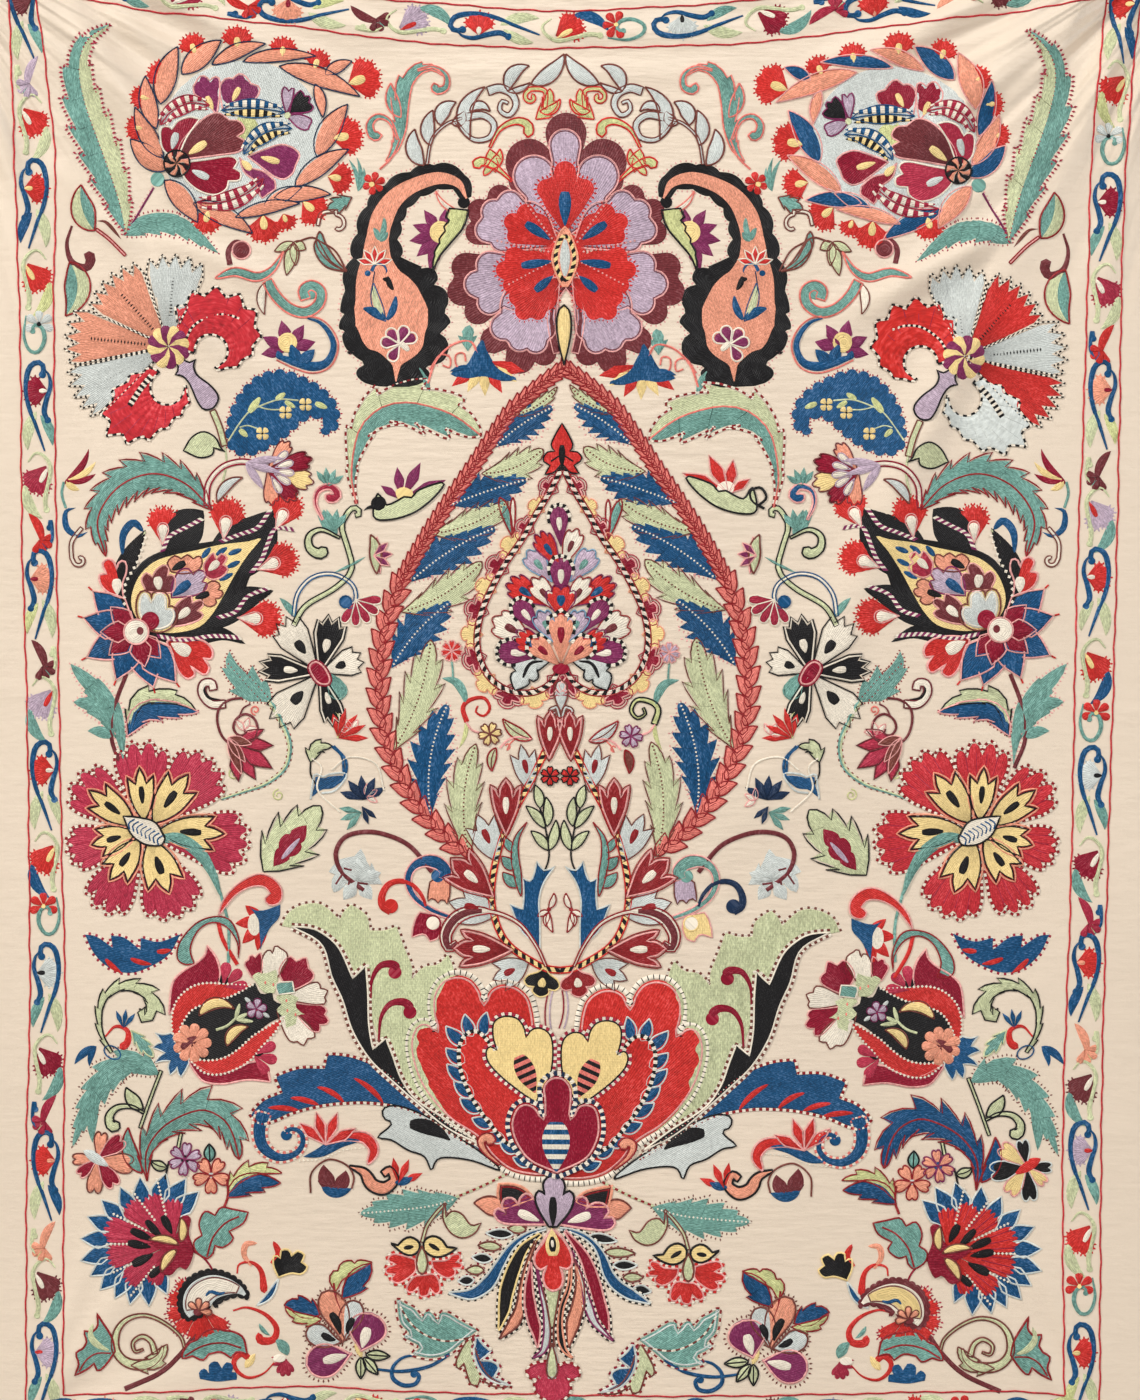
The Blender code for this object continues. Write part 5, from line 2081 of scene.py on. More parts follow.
def heart_medallion():
    """The heart: its twisted cord, outer lobes, spade finial and bouquet."""
    work = Needlework("heart_medallion")
    half = curve(points(*HEART_ROPE), 70)
    side_steps = normals(half)
    for mirrored in (False, True):
        work.side(mirrored, (-5.0, 0.0) if mirrored else (0.0, 0.0))
        # Outer lobes take turns in wine and gold, each on its own short base.
        for index, at in enumerate(range(5, 69, 5)):
            gold = index % 2 == 1
            out = heading_of(half[at], half[at] + side_steps[at])
            size = 22.0 if index > 2 else 18.0
            head(work, half[at] - side_steps[at] * 6.0, out, 1.02 * size, 1.4 * size,
                 "gold" if gold else "wine", "clover",
                 level=0.4 + 0.3 * gold, edge="peach" if gold else "crimson", edge_width=1.0,
                 inner=None if gold else "pink",
                 inset=2.2)
        rope(work, half, 4.4, "black", "ivory", 4.4, level=2.4)
        line(work, half - side_steps * 3.0, "dark_red", 1.2, level=2.0)
        line(work, half + side_steps * 3.0, "dark_red", 1.2, level=2.0)
    work.side(False)
    # The spade finial.
    cutwork(work, ([(569, 436), (573, 446), (570, 452)], [(578, 453), (582, 460), (574, 466)], [(579, 474)],
                   [(570, 473), (562, 464)], [(554, 473), (545, 475)], [(550, 466)],
                   [(543, 461), (547, 453), (555, 452)],
                   [(551, 446), (555, 436), (562, 424)]), "red", 0.0, 2.6, spacing=7.0, edge="black")
    leaf(work, (562, 470), (562, 444), 9.0, "black", kind="drop", peak=0.6, level=3.8)
    line(work, curve([(551, 462), (562, 456), (573, 462)], 8), "black", 1.6, level=3.8)
    for index, row in enumerate(BOUQUET):
        base, heading, length, spread, kind, level, sides = row
        thread, tip, edge, picot, drop = HEAD_KINDS[kind]
        for mirrored in ((False, True) if sides == "both" else (False,)):
            work.side(mirrored, (-8.0, 0.0) if mirrored else (0.0, 0.0))
            petal(work, base, heading, length, spread, thread, tip, edge=edge, level=level, picot=picot,
                  shoulder=0.3, drop=drop,
                  drop_span=(0.34, 0.72), drop_width=0.24, edge_width=1.1)
    for mirrored in (False, True):
        work.side(mirrored, (-8.0, 0.0) if mirrored else (0.0, 0.0))
        toothed(work, [(550, 661), (534, 662), (523, 674), (515, 690)], 30.0, "silver", 3, 0.4, "leaf", 0.5,
                edge="black",
                level=2.4, round_lobes=True)
        stroke(work, curve([(544, 661), (530, 664), (522, 680)], 12), 6.0, "black", "horn", level=4.2)
    work.side(False)
    disc(work, (561, 669), 12.0, "wine", level=8.0, across=18.0)
    # The silver fleuron in the notch.
    leaf(work, (561, 712), (561, 680), 14.0, "silver", kind="drop", peak=0.6, edge="brown", level=1.0)
    for sign in (-1.0, 1.0):
        curl(work, [(561, 722), (561 - 4 * sign, 708)], (561 - 8 * sign, 712), 4.0, 10.0 * sign,
             -300.0 * sign, 3.0, "silver",
             edge="brown", level=1.0)
    lay(work)


DROP_ROPE = (
    (560, 722), (545, 752), (530, 782), (514, 812), (501, 842), (493, 876), (492, 904), (499, 930),
    (511, 947), (530, 960),
    (546, 968), (560, 970),
)
DROP_FLOWERS = (
    # Base, heading, length, width, and whether the head is red.
    ((549, 760), 2.0, 46.0, 25.0, True),
    ((531, 792), -12.0, 46.0, 27.0, False),
    ((506, 836), 0.0, 54.0, 30.0, True),
    ((498, 862), -24.0, 50.0, 33.0, False),
    ((494, 897), -48.0, 54.0, 38.0, True),
    ((498, 914), -76.0, 48.0, 40.0, False),
    ((513, 950), -88.0, 56.0, 36.0, True),
    ((529, 962), -116.0, 38.0, 32.0, False),
)


def drop_medallion():
    """The drop: its gold cord, the lobed flowers round it and the sprigs inside."""
    work = Needlework("drop_medallion")
    half = curve(points(*DROP_ROPE), 70)
    side_steps = normals(half)
    for mirrored in (False, True):
        work.side(mirrored, (-10.0, 0.0) if mirrored else (0.0, 0.0))
        for base, heading, length, width, is_red in DROP_FLOWERS:
            looks = {"edge": "dark_red", "inner": "pink", "inset": 0.6} if is_red else {"edge": "brown"}
            head(work, base, heading, 1.06 * length, 0.96 * width, "dark_red" if is_red else "silver",
                 "tulip" if is_red else "iris",
                 drop="ivory" if is_red else "dark_red", level=0.8 + 1.6 * is_red, edge_width=1.0, **looks)
        dark = "dark_red" if mirrored else "black"
        head(work, (545, 966), -170.0, 31.0, 36.0, dark, "clover", drop="ivory" if mirrored else "gold",
             level=0.8,
             edge="pink" if mirrored else "gold", edge_width=1.2)
        rope(work, half, 4.6, "black", "gold", 4.6, level=1.4)
        line(work, half - side_steps * 3.0, "red", 1.4, level=1.2)
        line(work, half + side_steps * 3.0, "red", 1.4, level=1.2)
        flower(work, (550, 776), ring(6, 0.0), 10.0, 54.0, ["red"], tip="heart", edge="black", level=1.0,
               edge_width=1.0)
        for base, tip in (((540, 808), (535, 785)), ((547, 826), (546, 797)), ((545, 828), (526, 806)),
                          ((549, 850), (556, 820)),
                          ((548, 850), (531, 831))):
            leaf(work, base, tip, 10.0, "sage", 0.06, edge="black", level=0.8, edge_width=1.2)
        line(work, curve([(540, 808), (545, 826), (549, 850), (548, 862), (544, 872)], 16), "black", 1.5,
             level=0.8)
        # The branching blue leaf and the thin teal one beside it.
        cutwork(work, ([(540, 866), (544, 870)], [(550, 869), (555, 866)],
                       [(544, 882), (539, 900), (540, 922), (540, 950)],
                       [(534, 942), (521, 930), (510, 904)], [(517, 907), (523, 909)],
                       [(524, 894), (523, 878)],
                       [(530, 881), (534, 874), (537, 861)]), "blue", 0.0, 0.8, spacing=8.0, edge="silver",
                       edge_width=1.4)
        stroke(work, curve([(521, 896), (518, 876), (515, 856), (517, 838), (527, 822)], 20), 8.0, "teal",
               "leaf", 0.4,
               edge="dark_red", level=0.8, edge_width=1.1)
        for base, tip, width in (((516, 852), (504, 836), 9.0), ((517, 868), (502, 856), 12.0),
                                 ((520, 886), (503, 872), 12.0)):
            leaf(work, base, tip, width, "teal", -0.08, edge="dark_red", level=0.6, edge_width=1.0)
        stroke(work, curve([(521, 896), (518, 876), (515, 856), (517, 838), (526, 824)], 20), 6.5, "teal",
               "leaf", 0.4, level=2.0)
        # The pink sprig, in outline.
        for base, tip, width in (((549, 908), (554, 893), 6.0), ((549, 912), (538, 916), 6.0),
                                 ((549, 912), (546, 926), 6.0),
                                 ((549, 912), (553, 932), 6.0)):
            leaf(work, base, tip, width, "ivory", 0.1, edge="dark_red", level=0.8, edge_width=1.1)
        disc(work, (549, 909), 5.0, "dark_red", level=2.0)
        # The long hooked stalk.
        stalk = curve([(546, 966), (536, 945), (520, 924), (498, 913), (474, 911), (456, 918), (446, 934),
                       (449, 948), (457, 942)], 44)
        thick = np.linspace(1.2, 2.4, 44)
        thick[22:] += 4.4 * np.sin(np.linspace(0.0, math.pi, 22)) ** 0.7
        strip(work, stalk, thick, thick, "ivory", level=2.0)
        strip(work, stalk[24:], thick[24:] * 0.8, thick[24:] * 0.8, "maroon", level=2.4)
        line(work, rim(stalk, thick, thick), "dark_red", 1.3, closed=True, level=3.0)
    lay(work)


def little_sprigs():
    """The small flowers and scrolls between the two medallions."""
    work = Needlework("little_sprigs")
    for mirrored in (False, True):
        work.side(mirrored, (-9.0, 2.0) if mirrored else (0.0, 0.0))
        head = "lavender" if mirrored else "gold"
        flower(work, (490, 734), ring(6, 20.0), 12.0, 50.0, [head], tip="heart",
               edge="plum" if mirrored else "brown", level=0.6,
               edge_width=1.2)
        disc(work, (490, 734), 5.0, "dark_red", level=2.2)
        leaf(work, (532, 739), (503, 719), 12.0, "silver" if mirrored else "sage", -0.1, edge="dark_red",
             vein="brown")
        leaf(work, (496, 748), (492, 771), 9.0, "brown" if mirrored else "sage", 0.1, edge="dark_red",
             vein="brown")
        line(work, curve([(532, 739), (518, 737), (508, 740), (500, 748)], 14), "pink", 1.8)
        curl(work, [(516, 738), (510, 744)], (507, 746), 4.0, 180.0, -260.0, 1.8, "coral")
        leaf(work, (466, 718), (459, 748), 5.0, "lime", -0.1)
        ring_ink = "lime" if mirrored else "red"
        stroke(work, curve([(467, 722), (463, 708), (470, 700), (484, 698), (490, 708), (484, 716),
                            (476, 712), (478, 706)], 26),
               6.0, ring_ink, "tendril", edge="black" if mirrored else None)
        line(work, curve([(466, 722), (472, 730), (480, 733)], 10), "pink", 1.8)
        flower(work, (452, 651), ring(7, 0.0), 11.0, 46.0, ["lavender" if mirrored else "red"], tip="heart",
               level=0.6, edge="pink",
               edge_width=1.0)
        line(work, curve([(452, 662), (453, 672), (453, 680)], 8), "teal", 1.6)
        stroke(work, curve([(442, 678), (456, 682), (464, 694), (466, 706)], 16), 10.0, "teal", "leaf")
        stroke(work, curve([(500, 498), (506, 514), (513, 538)], 12), 9.0, "teal", "leaf", 0.35,
               edge="dark_red")
        stroke(work, curve([(513, 498), (513, 516), (513, 538)], 12), 5.0, "ivory", "leaf", 0.35,
               edge="dark_red")
    lay(work)


# The sides: palmettes on their rosettes, daisies and the leaves about them.


PALMETTE_HEADS = (
    # Outline in arcs, thread, edge, where the rows meet, and the drop: its line, width and thread.
    (([(146, 590), (142, 580), (147, 573), (153, 577)], [(157, 570), (165, 565), (170, 569), (168, 576)],
      [(174, 575), (176, 583), (172, 593), (146, 592)]), "maroon", "pink", (158, 596),
      ((160, 592), (158, 576)), 12.0, "ivory"),
    (([(172, 572), (168, 563), (175, 556), (182, 559)], [(188, 555), (194, 559)],
      [(200, 556), (203, 563), (198, 571), (184, 574), (172, 572)]),
     "peach", "brown", (180, 576), ((171, 571), (187, 562)), 10.0, "black"),
    (([(172, 597), (173, 584), (180, 571), (189, 569), (194, 575)], [(199, 570), (207, 574), (203, 582)],
      [(208, 584), (205, 591), (194, 596), (172, 598)]), "lavender", "plum", (172, 598),
      ((172, 597), (192, 581)), 13.0, "blue"),
    (([(207, 577), (204, 567), (208, 559), (214, 553), (217, 560)], [(222, 554), (228, 558), (224, 565)],
      [(229, 569), (223, 577), (213, 580), (207, 577)]), "crimson", "pink", (205, 580),
      ((208, 572), (220, 561)), 10.0, "ivory"),
    (([(203, 598), (206, 586), (214, 581), (221, 585), (219, 590)], [(224, 592), (221, 598), (216, 599)],
      [(217, 604), (210, 607), (203, 603), (203, 598)]), "peach", "brown", (196, 598),
      ((194, 599), (211, 593)), 9.0, "black"),
    (([(172, 626), (174, 610), (182, 600), (192, 596), (193, 603)], [(202, 600), (204, 606), (198, 611)],
      [(204, 614), (200, 620), (186, 625), (172, 627)]), "maroon", "pink", (172, 626),
      ((177, 620), (191, 608)), 11.0, "ivory"),
)


def side_palmette(work, body="gold", rosette=("blue", "wine"), heads="red", flame="black"):
    """The great bud on its rosette, with black sepals and fringed carnations."""
    sepals = (
        ([(128, 618), (122, 590), (128, 562), (146, 530)], 24.0, 0.45),
        ([(166, 560), (176, 540), (190, 524), (204, 511)], 44.0, 0.55),
        ([(206, 560), (232, 540), (254, 530), (276, 510)], 34.0, 0.5),
        ([(214, 582), (240, 566), (262, 545), (275, 514)], 36.0, 0.5),
        ([(188, 626), (222, 612), (248, 598), (274, 591)], 34.0, 0.45),
        ([(150, 634), (190, 636), (222, 634), (246, 644)], 22.0, 0.4),
    )
    for index, (base, heading, size) in enumerate(
        (((163, 545), 2.0, 40.0), ((224, 540), 8.0, 44.0), ((276, 530), 26.0, 42.0),
         ((258, 570), 68.0, 44.0),
         ((238, 618), 92.0, 46.0))
    ):
        petal(work, base, heading, size, 74.0, heads, "saw", picot=heads, shoulder=0.34, level=0.2,
              teeth_depth=0.10)
        petal(work, base, heading, 0.55 * size, 44.0, "ivory", "round", level=1.4, edge="pink",
              edge_width=1.0)
    bulb = curve([(150, 637), (130, 618), (127, 590), (142, 562), (172, 548), (214, 541), (262, 532),
                  (276, 512), (268, 548),
                  (252, 574), (240, 602), (212, 628), (180, 637)], 60, closed=True)
    fill(work, bulb, flame, "around", 0.6, spacing=10.0)
    for spine, width, peak in sepals:
        stroke(work, curve(spine, 22), width, flame, "leaf", peak, level=0.9)
    core = curve([(150, 630), (135, 616), (131, 598), (139, 576), (155, 561), (176, 554), (200, 549),
                  (222, 544), (248, 541),
                  (263, 538), (249, 556), (236, 576), (224, 598), (212, 617), (198, 629), (172, 634)], 70,
                  closed=True)
    fill(work, core, body, 60.0, 2.2, spacing=10.0)
    for path in ([(163, 552), (170, 537), (184, 529), (203, 519)],
                 [(221, 542), (240, 535), (258, 528), (271, 510)],
                 [(252, 573), (262, 560), (268, 545), (276, 529), (294, 530)],
                 [(218, 618), (236, 612), (248, 597), (270, 588)],
                 [(158, 636), (184, 640), (214, 636), (242, 638)]):
        rope(work, curve(path, 30), 4.2, "plum", "ivory", 3.0, level=2.6, slant=1.5)
    dots(work, curve([(125, 604), (126, 584), (138, 562), (146, 538)], 20), "ivory", 6.5, 3.0, level=2.8)
    for arcs, thread, edge, heart, drop, width, drop_thread in PALMETTE_HEADS:
        cutwork(work, arcs, thread, heart, 3.2, spacing=7.0, edge=edge, edge_width=1.5)
        leaf(work, *drop, width, drop_thread, kind="drop", peak=0.62, level=4.8)
    for base, tip in (((202, 559), (212, 547)), ((216, 556), (229, 547)), ((228, 555), (244, 549)),
                      ((227, 568), (242, 561)),
                      ((219, 581), (235, 573))):
        leaf(work, base, tip, 7.5, "blue", 0.0, level=3.4)
    for arcs, heart, drop, width in (
        (([(122, 598), (108, 592), (101, 584), (100, 575), (107, 574)],
          [(103, 564), (109, 559), (115, 563), (117, 570)],
          [(120, 562), (126, 562), (127, 572), (123, 584), (124, 598)]), (122, 600),
          ((118, 596), (117, 578)), 13.0),
        (([(168, 641), (186, 638), (204, 641), (213, 650), (212, 659), (204, 658)],
          [(210, 667), (206, 675), (198, 671), (191, 666)],
          [(196, 674), (188, 679), (179, 671), (172, 652)]), (168, 640), ((171, 643), (192, 654)), 17.0),
    ):
        cutwork(work, arcs, heads, heart, 1.0, spacing=7.0, edge="pink", edge_width=1.8)
        leaf(work, *drop, width, "ivory", kind="drop", peak=0.64, level=2.8)
    outer, inner = rosette
    heart = (137.0, 632.0)
    for index, (heading, length) in enumerate(((-47, 60), (-75, 55), (-117, 56), (-157, 52), (163, 58),
                                               (142, 64))):
        petal(work, heart, heading, length, 56.0, outer, "point", edge="pink",
              level=1.4 + 2.0 * (index % 2), shoulder=0.6,
              edge_width=1.4)
        line(work, np.stack([np.array(heart) + aim(heading) * (length + 1.0),
                             np.array(heart) + aim(heading) * (length + 6.0)]),
             "red", 1.5)
    for index, heading in enumerate((-46, -90, -130, 166, 137)):
        petal(work, heart, heading, 36.0, 62.0, inner, "point", edge="pink", level=5.2 + 2.0 * (index % 2),
              shoulder=0.55, edge_width=1.2)
    cutwork(work, ([(146, 628), (139, 614), (139, 600), (144, 592), (150, 595), (152, 601)],
                   [(155, 594), (162, 592), (168, 598), (168, 608)],
                   [(174, 608), (177, 616), (172, 626), (160, 631), (146, 628)]), "silver", (150, 630), 5.4,
                   spacing=7.0, edge="brown",
            edge_width=1.5, inner="ivory", inset=2.2)
    disc(work, (151, 621), 20.0, inner, level=8.2)
    disc(work, heart, 25.0, "ivory", edge="pink", level=9.6)
    disc(work, (141, 631), 10.0, "maroon", level=11.0, across=9.0)
    stroke(work, curve([(144, 532), (134, 523), (124, 534), (123, 552), (127, 562)], 20), 9.0, "blue",
           "leaf", 0.35)
    line(work, curve([(146, 532), (136, 545), (128, 562)], 10), "sage", 1.6)


def palmette_leaves(work, low="teal", upper="sage", blade="blue", edge="black"):
    """The stalk and the leaves beneath the side palmette."""
    stem(work, [(127, 674), (116, 704), (112, 738), (123, 768)], 4.6, "maroon")
    toothed(work, [(124, 764), (120, 726), (104, 696), (71, 664)], 30.0, low, 4, 0.25, "leaf", 0.6,
            picot="pink", balance=0.7)
    toothed(work, [(116, 738), (104, 716), (90, 704), (74, 702)], 22.0, low, 3, 0.3, "leaf", 0.6,
            picot="pink")
    leaf(work, (114, 738), (88, 731), 13.0, low, 0.1)
    toothed(work, [(130, 736), (133, 712), (140, 700), (158, 696), (180, 700), (196, 710)], 22.0, upper, 4,
            0.5, "leaf", 0.5,
            edge=edge, sides="left", balance=0.7)
    toothed(work, [(128, 736), (144, 716), (168, 712), (199, 712)], 26.0, blade, 4, 0.6, "leaf", 0.4,
            edge="pink", sides="right",
            picot="crimson", balance=0.8, level=0.6)


def feather_tail(work, main="teal", fleck="dark_red", scroll="maroon", bloom="rose"):
    """The flecked feather leaf with its long tail, the scroll and the pointed flower under it."""
    feather = arc_outline([(238, 664), (248, 674)], [(253, 665)], [(259, 676), (262, 682)], [(267, 679)],
                          [(271, 690), (273, 704)],
                          [(262, 702), (250, 702)], [(240, 697), (229, 691)], [(236, 688)],
                          [(229, 680), (222, 668)], [(227, 668)],
                          [(226, 660), (230, 651)])
    fill(work, feather, main, 140.0, 0.0, spacing=7.0)
    dots(work, feather, fleck, 3.8, 1.8, out=-0.8, closed=True, level=0.2, reach=3.0)
    tail = curve([(270, 700), (280, 718), (289, 738), (290, 754), (284, 770), (266, 784), (246, 791),
                  (222, 799)], 60)
    half = np.linspace(3.2, 1.6, 60)
    strip(work, tail, half, half, main, "sage")
    dots(work, rim(tail, half, half), (fleck, "ivory"), 3.2, 1.8, closed=True, level=0.6)
    for shift in (5.0, -5.0):
        dots(work, bow((234 + shift, 664), (266 + shift, 700), 0.0, 12), fleck, 4.4, 1.5, level=1.6)
    line(work, curve([(243, 698), (230, 700), (220, 708), (218, 722), (224, 738), (238, 747), (252, 742),
                      (258, 730), (255, 719),
                      (246, 714), (237, 719), (234, 728), (239, 735), (246, 734), (245, 729)], 70), scroll,
                      2.2)
    line(work, spiral((256, 710), 5.0, 1.5, 180.0, 420.0, 20), "coral", 1.3)
    line(work, curve([(240, 716), (244, 708), (251, 704)], 8), scroll, 1.4)
    stroke(work, curve([(226, 704), (212, 704), (203, 694), (204, 684), (212, 683), (214, 690)], 26), 8.0,
           "ivory", "stem", edge=scroll)
    stroke(work, curve([(221, 700), (210, 698), (205, 690), (208, 685)], 14), 5.0, "black", "horn",
           level=1.2)
    calyx = (234.0, 744.0)
    for index, (heading, length) in enumerate(((92, 40), (122, 46), (148, 42), (172, 38), (64, 34))):
        petal(work, calyx, heading, length, 34.0, bloom, "point", edge="maroon",
              level=0.6 + 1.6 * (index % 2), edge_width=1.2)
    for tip in ((252, 744), (246, 762), (242, 774)):
        leaf(work, (229, 738), tip, 9.0, "brown", level=4.2, edge="pink", edge_width=0.9)
    for centre in ((235, 774), (279, 795)):
        line(work, spiral(centre, 6.0, 1.5, 0.0, -500.0, 24), "lime", 1.0, level=0.2)


def daisy(work, first="ivory", second="black", core="wine", stalks=("sage", "blue")):
    """The seven-petalled daisy, its petals in two threads, with the scrolls that carry it."""
    heart = (320.0, 673.0)
    first_looks = {"edge": second, "drop": second}
    second_looks = {"edge": first, "drop": first}
    for heading, length, spread, sort in ((-36, 66, 42, 0), (14, 58, 40, 1), (70, 46, 50, 0),
                                          (162, 54, 30, 1), (-138, 68, 46, 0),
                                          (-84, 60, 34, 1)):
        looks = first_looks if sort == 0 else second_looks
        rim_line = petal(work, heart, heading, length, spread, first if sort == 0 else second, "spikes",
                         level=0.5 + 0.5 * sort,
                         shoulder=0.2, drop_span=(0.34, 0.62), drop_width=0.26, edge_width=1.2, **looks)
        if sort:
            line(work, rim_line - normals(rim_line, True) * 1.8, second, 1.2, closed=True, level=1.6)
    petal(work, heart, 116.0, 34.0, 46.0, "teal", "round", edge="teal", level=0.3, bend=18.0)
    outline = curve([(310, 668), (316, 662), (324, 667), (330, 678), (328, 684), (318, 682)], 22,
                    closed=True)
    fill(work, outline, core, "around", 3.0)
    line(work, outline, "pink", 1.5, closed=True, level=4.2)
    line(work, outline + normals(outline, True) * -1.8, core, 1.2, closed=True, level=4.0)
    sage, blue = stalks
    curl(work, [(294, 626), (306, 606), (336, 588), (352, 570), (348, 548), (342, 526)], (356, 514), 7.0,
         -60.0, 250.0, 5.0,
         sage, edge="black")
    stroke(work, curve([(340, 538), (322, 530), (310, 536), (310, 548), (320, 554), (327, 548)], 24), 11.0,
           sage, "hook", edge="black")
    leaf(work, (338, 534), (324, 510), 16.0, "teal", -0.1)
    curl(work, [(294, 616), (298, 594), (312, 578), (332, 574), (350, 582), (356, 592)], (348, 602), 8.0,
         80.0, 180.0, 3.4,
         "ivory", edge="blue")
    disc(work, (346, 602), 12.0, blue, edge="blue", level=1.4)
    flower(work, (356, 600), fan(5, 150.0, 120.0), 26.0, 30.0, ["crimson"], level=0.4, edge="ivory",
           edge_width=1.0)
    leaf(work, (296, 618), (280, 598), 8.0, "teal", 0.05)
    flower(work, (338, 738), fan(5, 40.0, 100.0), 32.0, 24.0, ["red"], tip="point", level=0.4)
    line(work, curve([(336, 712), (342, 722), (338, 738)], 10), "lime", 1.6)
    toothed(work, [(311, 762), (316, 748), (332, 746)], 18.0, sage, 3, 0.5, "leaf", 0.4, edge="black")
    line(work, curve([(332, 746), (342, 756), (344, 772)], 10), "blue", 2.2)
    line(work, curve([(311, 762), (311, 774), (316, 784)], 8), "black", 1.4)


def two_tone_arch(work, outer="sage", inner="teal", picot="dark_red"):
    """The arched leaf in two greens beside the oval."""
    spine = curve([(357, 504), (352, 480), (354, 452), (362, 426), (382, 408), (405, 403), (430, 407),
                   (456, 417), (481, 436)], 60)
    outline = toothed(work, spine, 50.0, outer, 6, 0.40, "leaf", 0.66, other=inner, vein="coral", lean=1.0,
                      balance=1.25)
    dots(work, outline, (picot, "ivory"), 4.0, 2.2, out=-0.8, closed=True, level=0.8)


def edge_lotus(work, petals="plum", core="gold", cup="sage", ink="black", ball=True):
    """The lotus that lies on its side by the oval."""
    heart = (402.0, 500.0)
    for heading, length, spread in ((-56, 26, 34), (-8, 34, 34), (27, 43, 30), (66, 50, 28)):
        petal(work, heart, heading, length, spread, petals, "point", level=0.5,
              edge="pink" if petals == "red" else None,
              edge_width=1.1)
    fill(work, oval((405, 495), 20.0, 16.0, 16, 20.0), core, "around", 1.6)
    cup_line = curve([(378, 494), (386, 505), (396, 502), (405, 497), (412, 498), (420, 490), (444, 483),
                      (434, 498), (414, 513),
                      (390, 520), (374, 517)], 50, closed=True)
    fill(work, cup_line, cup, 60.0, 2.2)
    line(work, cup_line, ink, 1.7, closed=True, level=3.2)
    if ball:
        disc(work, (379, 504), 16.0, ink, level=2.6)
        stroke(work, bow((364, 511), (381, 512), -0.25, 9), 4.0, ink, "leaf", level=2.6)
    else:
        line(work, curve([(372, 512), (364, 504), (370, 494), (380, 498), (378, 508), (366, 515)], 20), ink,
             2.2, level=2.6)


def arch_sprigs(work, hook="crimson", tuft="teal", star="plum", cup="sage"):
    """The hooks and the small thistle beside the daisy's scroll."""
    flower(work, (328, 487), fan(4, 10.0, 90.0), 20.0, 34.0, [tuft], tip="point")
    stroke(work, curve([(323, 520), (316, 504), (319, 491), (331, 487), (338, 495), (332, 499), (326, 495)],
                       26), 9.0, hook, "hook",
           edge="pink", level=1.0)
    flower(work, (334, 532), fan(4, -4.0, 80.0), 24.0, 34.0, [tuft], tip="point")
    flower(work, (374, 556), fan(5, 85.0, 150.0), 19.0, 36.0, [star], tip="point", edge="pink",
           edge_width=1.1)
    stroke(work, curve([(371, 535), (375, 545), (376, 556), (377, 574)], 12), 12.0, cup, "leaf",
           edge="brown", level=1.4)
    stroke(work, curve([(334, 573), (350, 566), (366, 557)], 10), 3.6, "teal", "leaf", level=0.6)


ROSE_PETALS = (
    # Heading, length, spread and rim of the outer petals.
    (-3, 92, 45, "four"), (43, 100, 45, "five"), (97, 106, 44, "five"), (158, 92, 50, "five"),
    (-150, 92, 40, "four"),
    (-104, 82, 40, "five"), (-53, 90, 44, "four"),
)
ROSE_STAR = (
    # Base, heading, length and width of the inner petals.
    ((145, 822), -5, 55, 27), ((153, 824), 36, 62, 36), ((158, 830), 93, 68, 34), ((150, 838), 160, 58, 38),
    ((141, 838), -144, 52, 32), ((137, 832), -106, 47, 29), ((137, 826), -53, 60, 31),
)


def rose_flower(work, outer="rose", inner="gold", drop="black", calyx=("blue", "ivory"), fleck="dark_red"):
    """The rose-coloured flower with its inner star and striped heart."""
    heart = (146.0, 832.0)
    for index, (heading, length, spread, tip) in enumerate(ROSE_PETALS):
        outline = petal(work, heart, heading, length, spread, outer, tip, level=0.4 + 1.4 * (index % 2),
                        shoulder=0.16)
        ladder(work, outline, 2.8, (fleck, "ivory"), 3.2, -0.6, True, 1.2 + 1.4 * (index % 2))
        for ray in (-0.26, -0.08, 0.1, 0.28):
            way = heading + ray * spread
            near = np.array(heart) + aim(way) * 0.55 * length
            far = np.array(heart) + aim(way) * 0.86 * length
            line(work, np.stack([near, 0.5 * (near + far), far]), "crimson", 1.0,
                 level=1.0 + 1.4 * (index % 2))
    for base, heading, length, width in ROSE_STAR:
        outline = head(work, base, heading, length, width, inner, "iris", drop=drop, drop_span=(0.28, 0.68),
                       drop_width=0.30, level=4.2)
        line(work, outline - normals(outline, True) * 1.8, "peach", 1.4, closed=True, level=5.0)
        line(work, outline + normals(outline, True) * 0.6, "black", 1.2, closed=True, level=5.6)
    lens = arc_outline([(138, 817), (156, 822), (166, 838)],
                       [(162, 845), (146, 844), (132, 834), (124, 816)])
    fill(work, lens, calyx[1], 110.0, 6.6)
    for share in np.linspace(0.10, 0.90, 8):
        x = 128.0 + 36.0 * share
        y = 820.0 + 20.0 * share
        line(work, curve([(x - 1, y + 7), (x - 2, y + 1), (x + 4, y - 3)], 6), calyx[0], 1.4, level=7.6)
    line(work, lens, "black", 1.6, closed=True, level=8.0)
    stalk = curve([(163, 838), (178, 838), (196, 848), (211, 868), (221, 894)], 26)
    half = np.interp(np.linspace(0.0, 1.0, 26), [0.0, 0.2, 0.45, 0.8, 1.0], [5.0, 8.5, 8.0, 4.0, 1.4])
    strip(work, stalk, half, half, "teal", level=5.2)
    line(work, curve([(221, 892), (229, 925), (229, 962)], 12), "teal", 2.4)


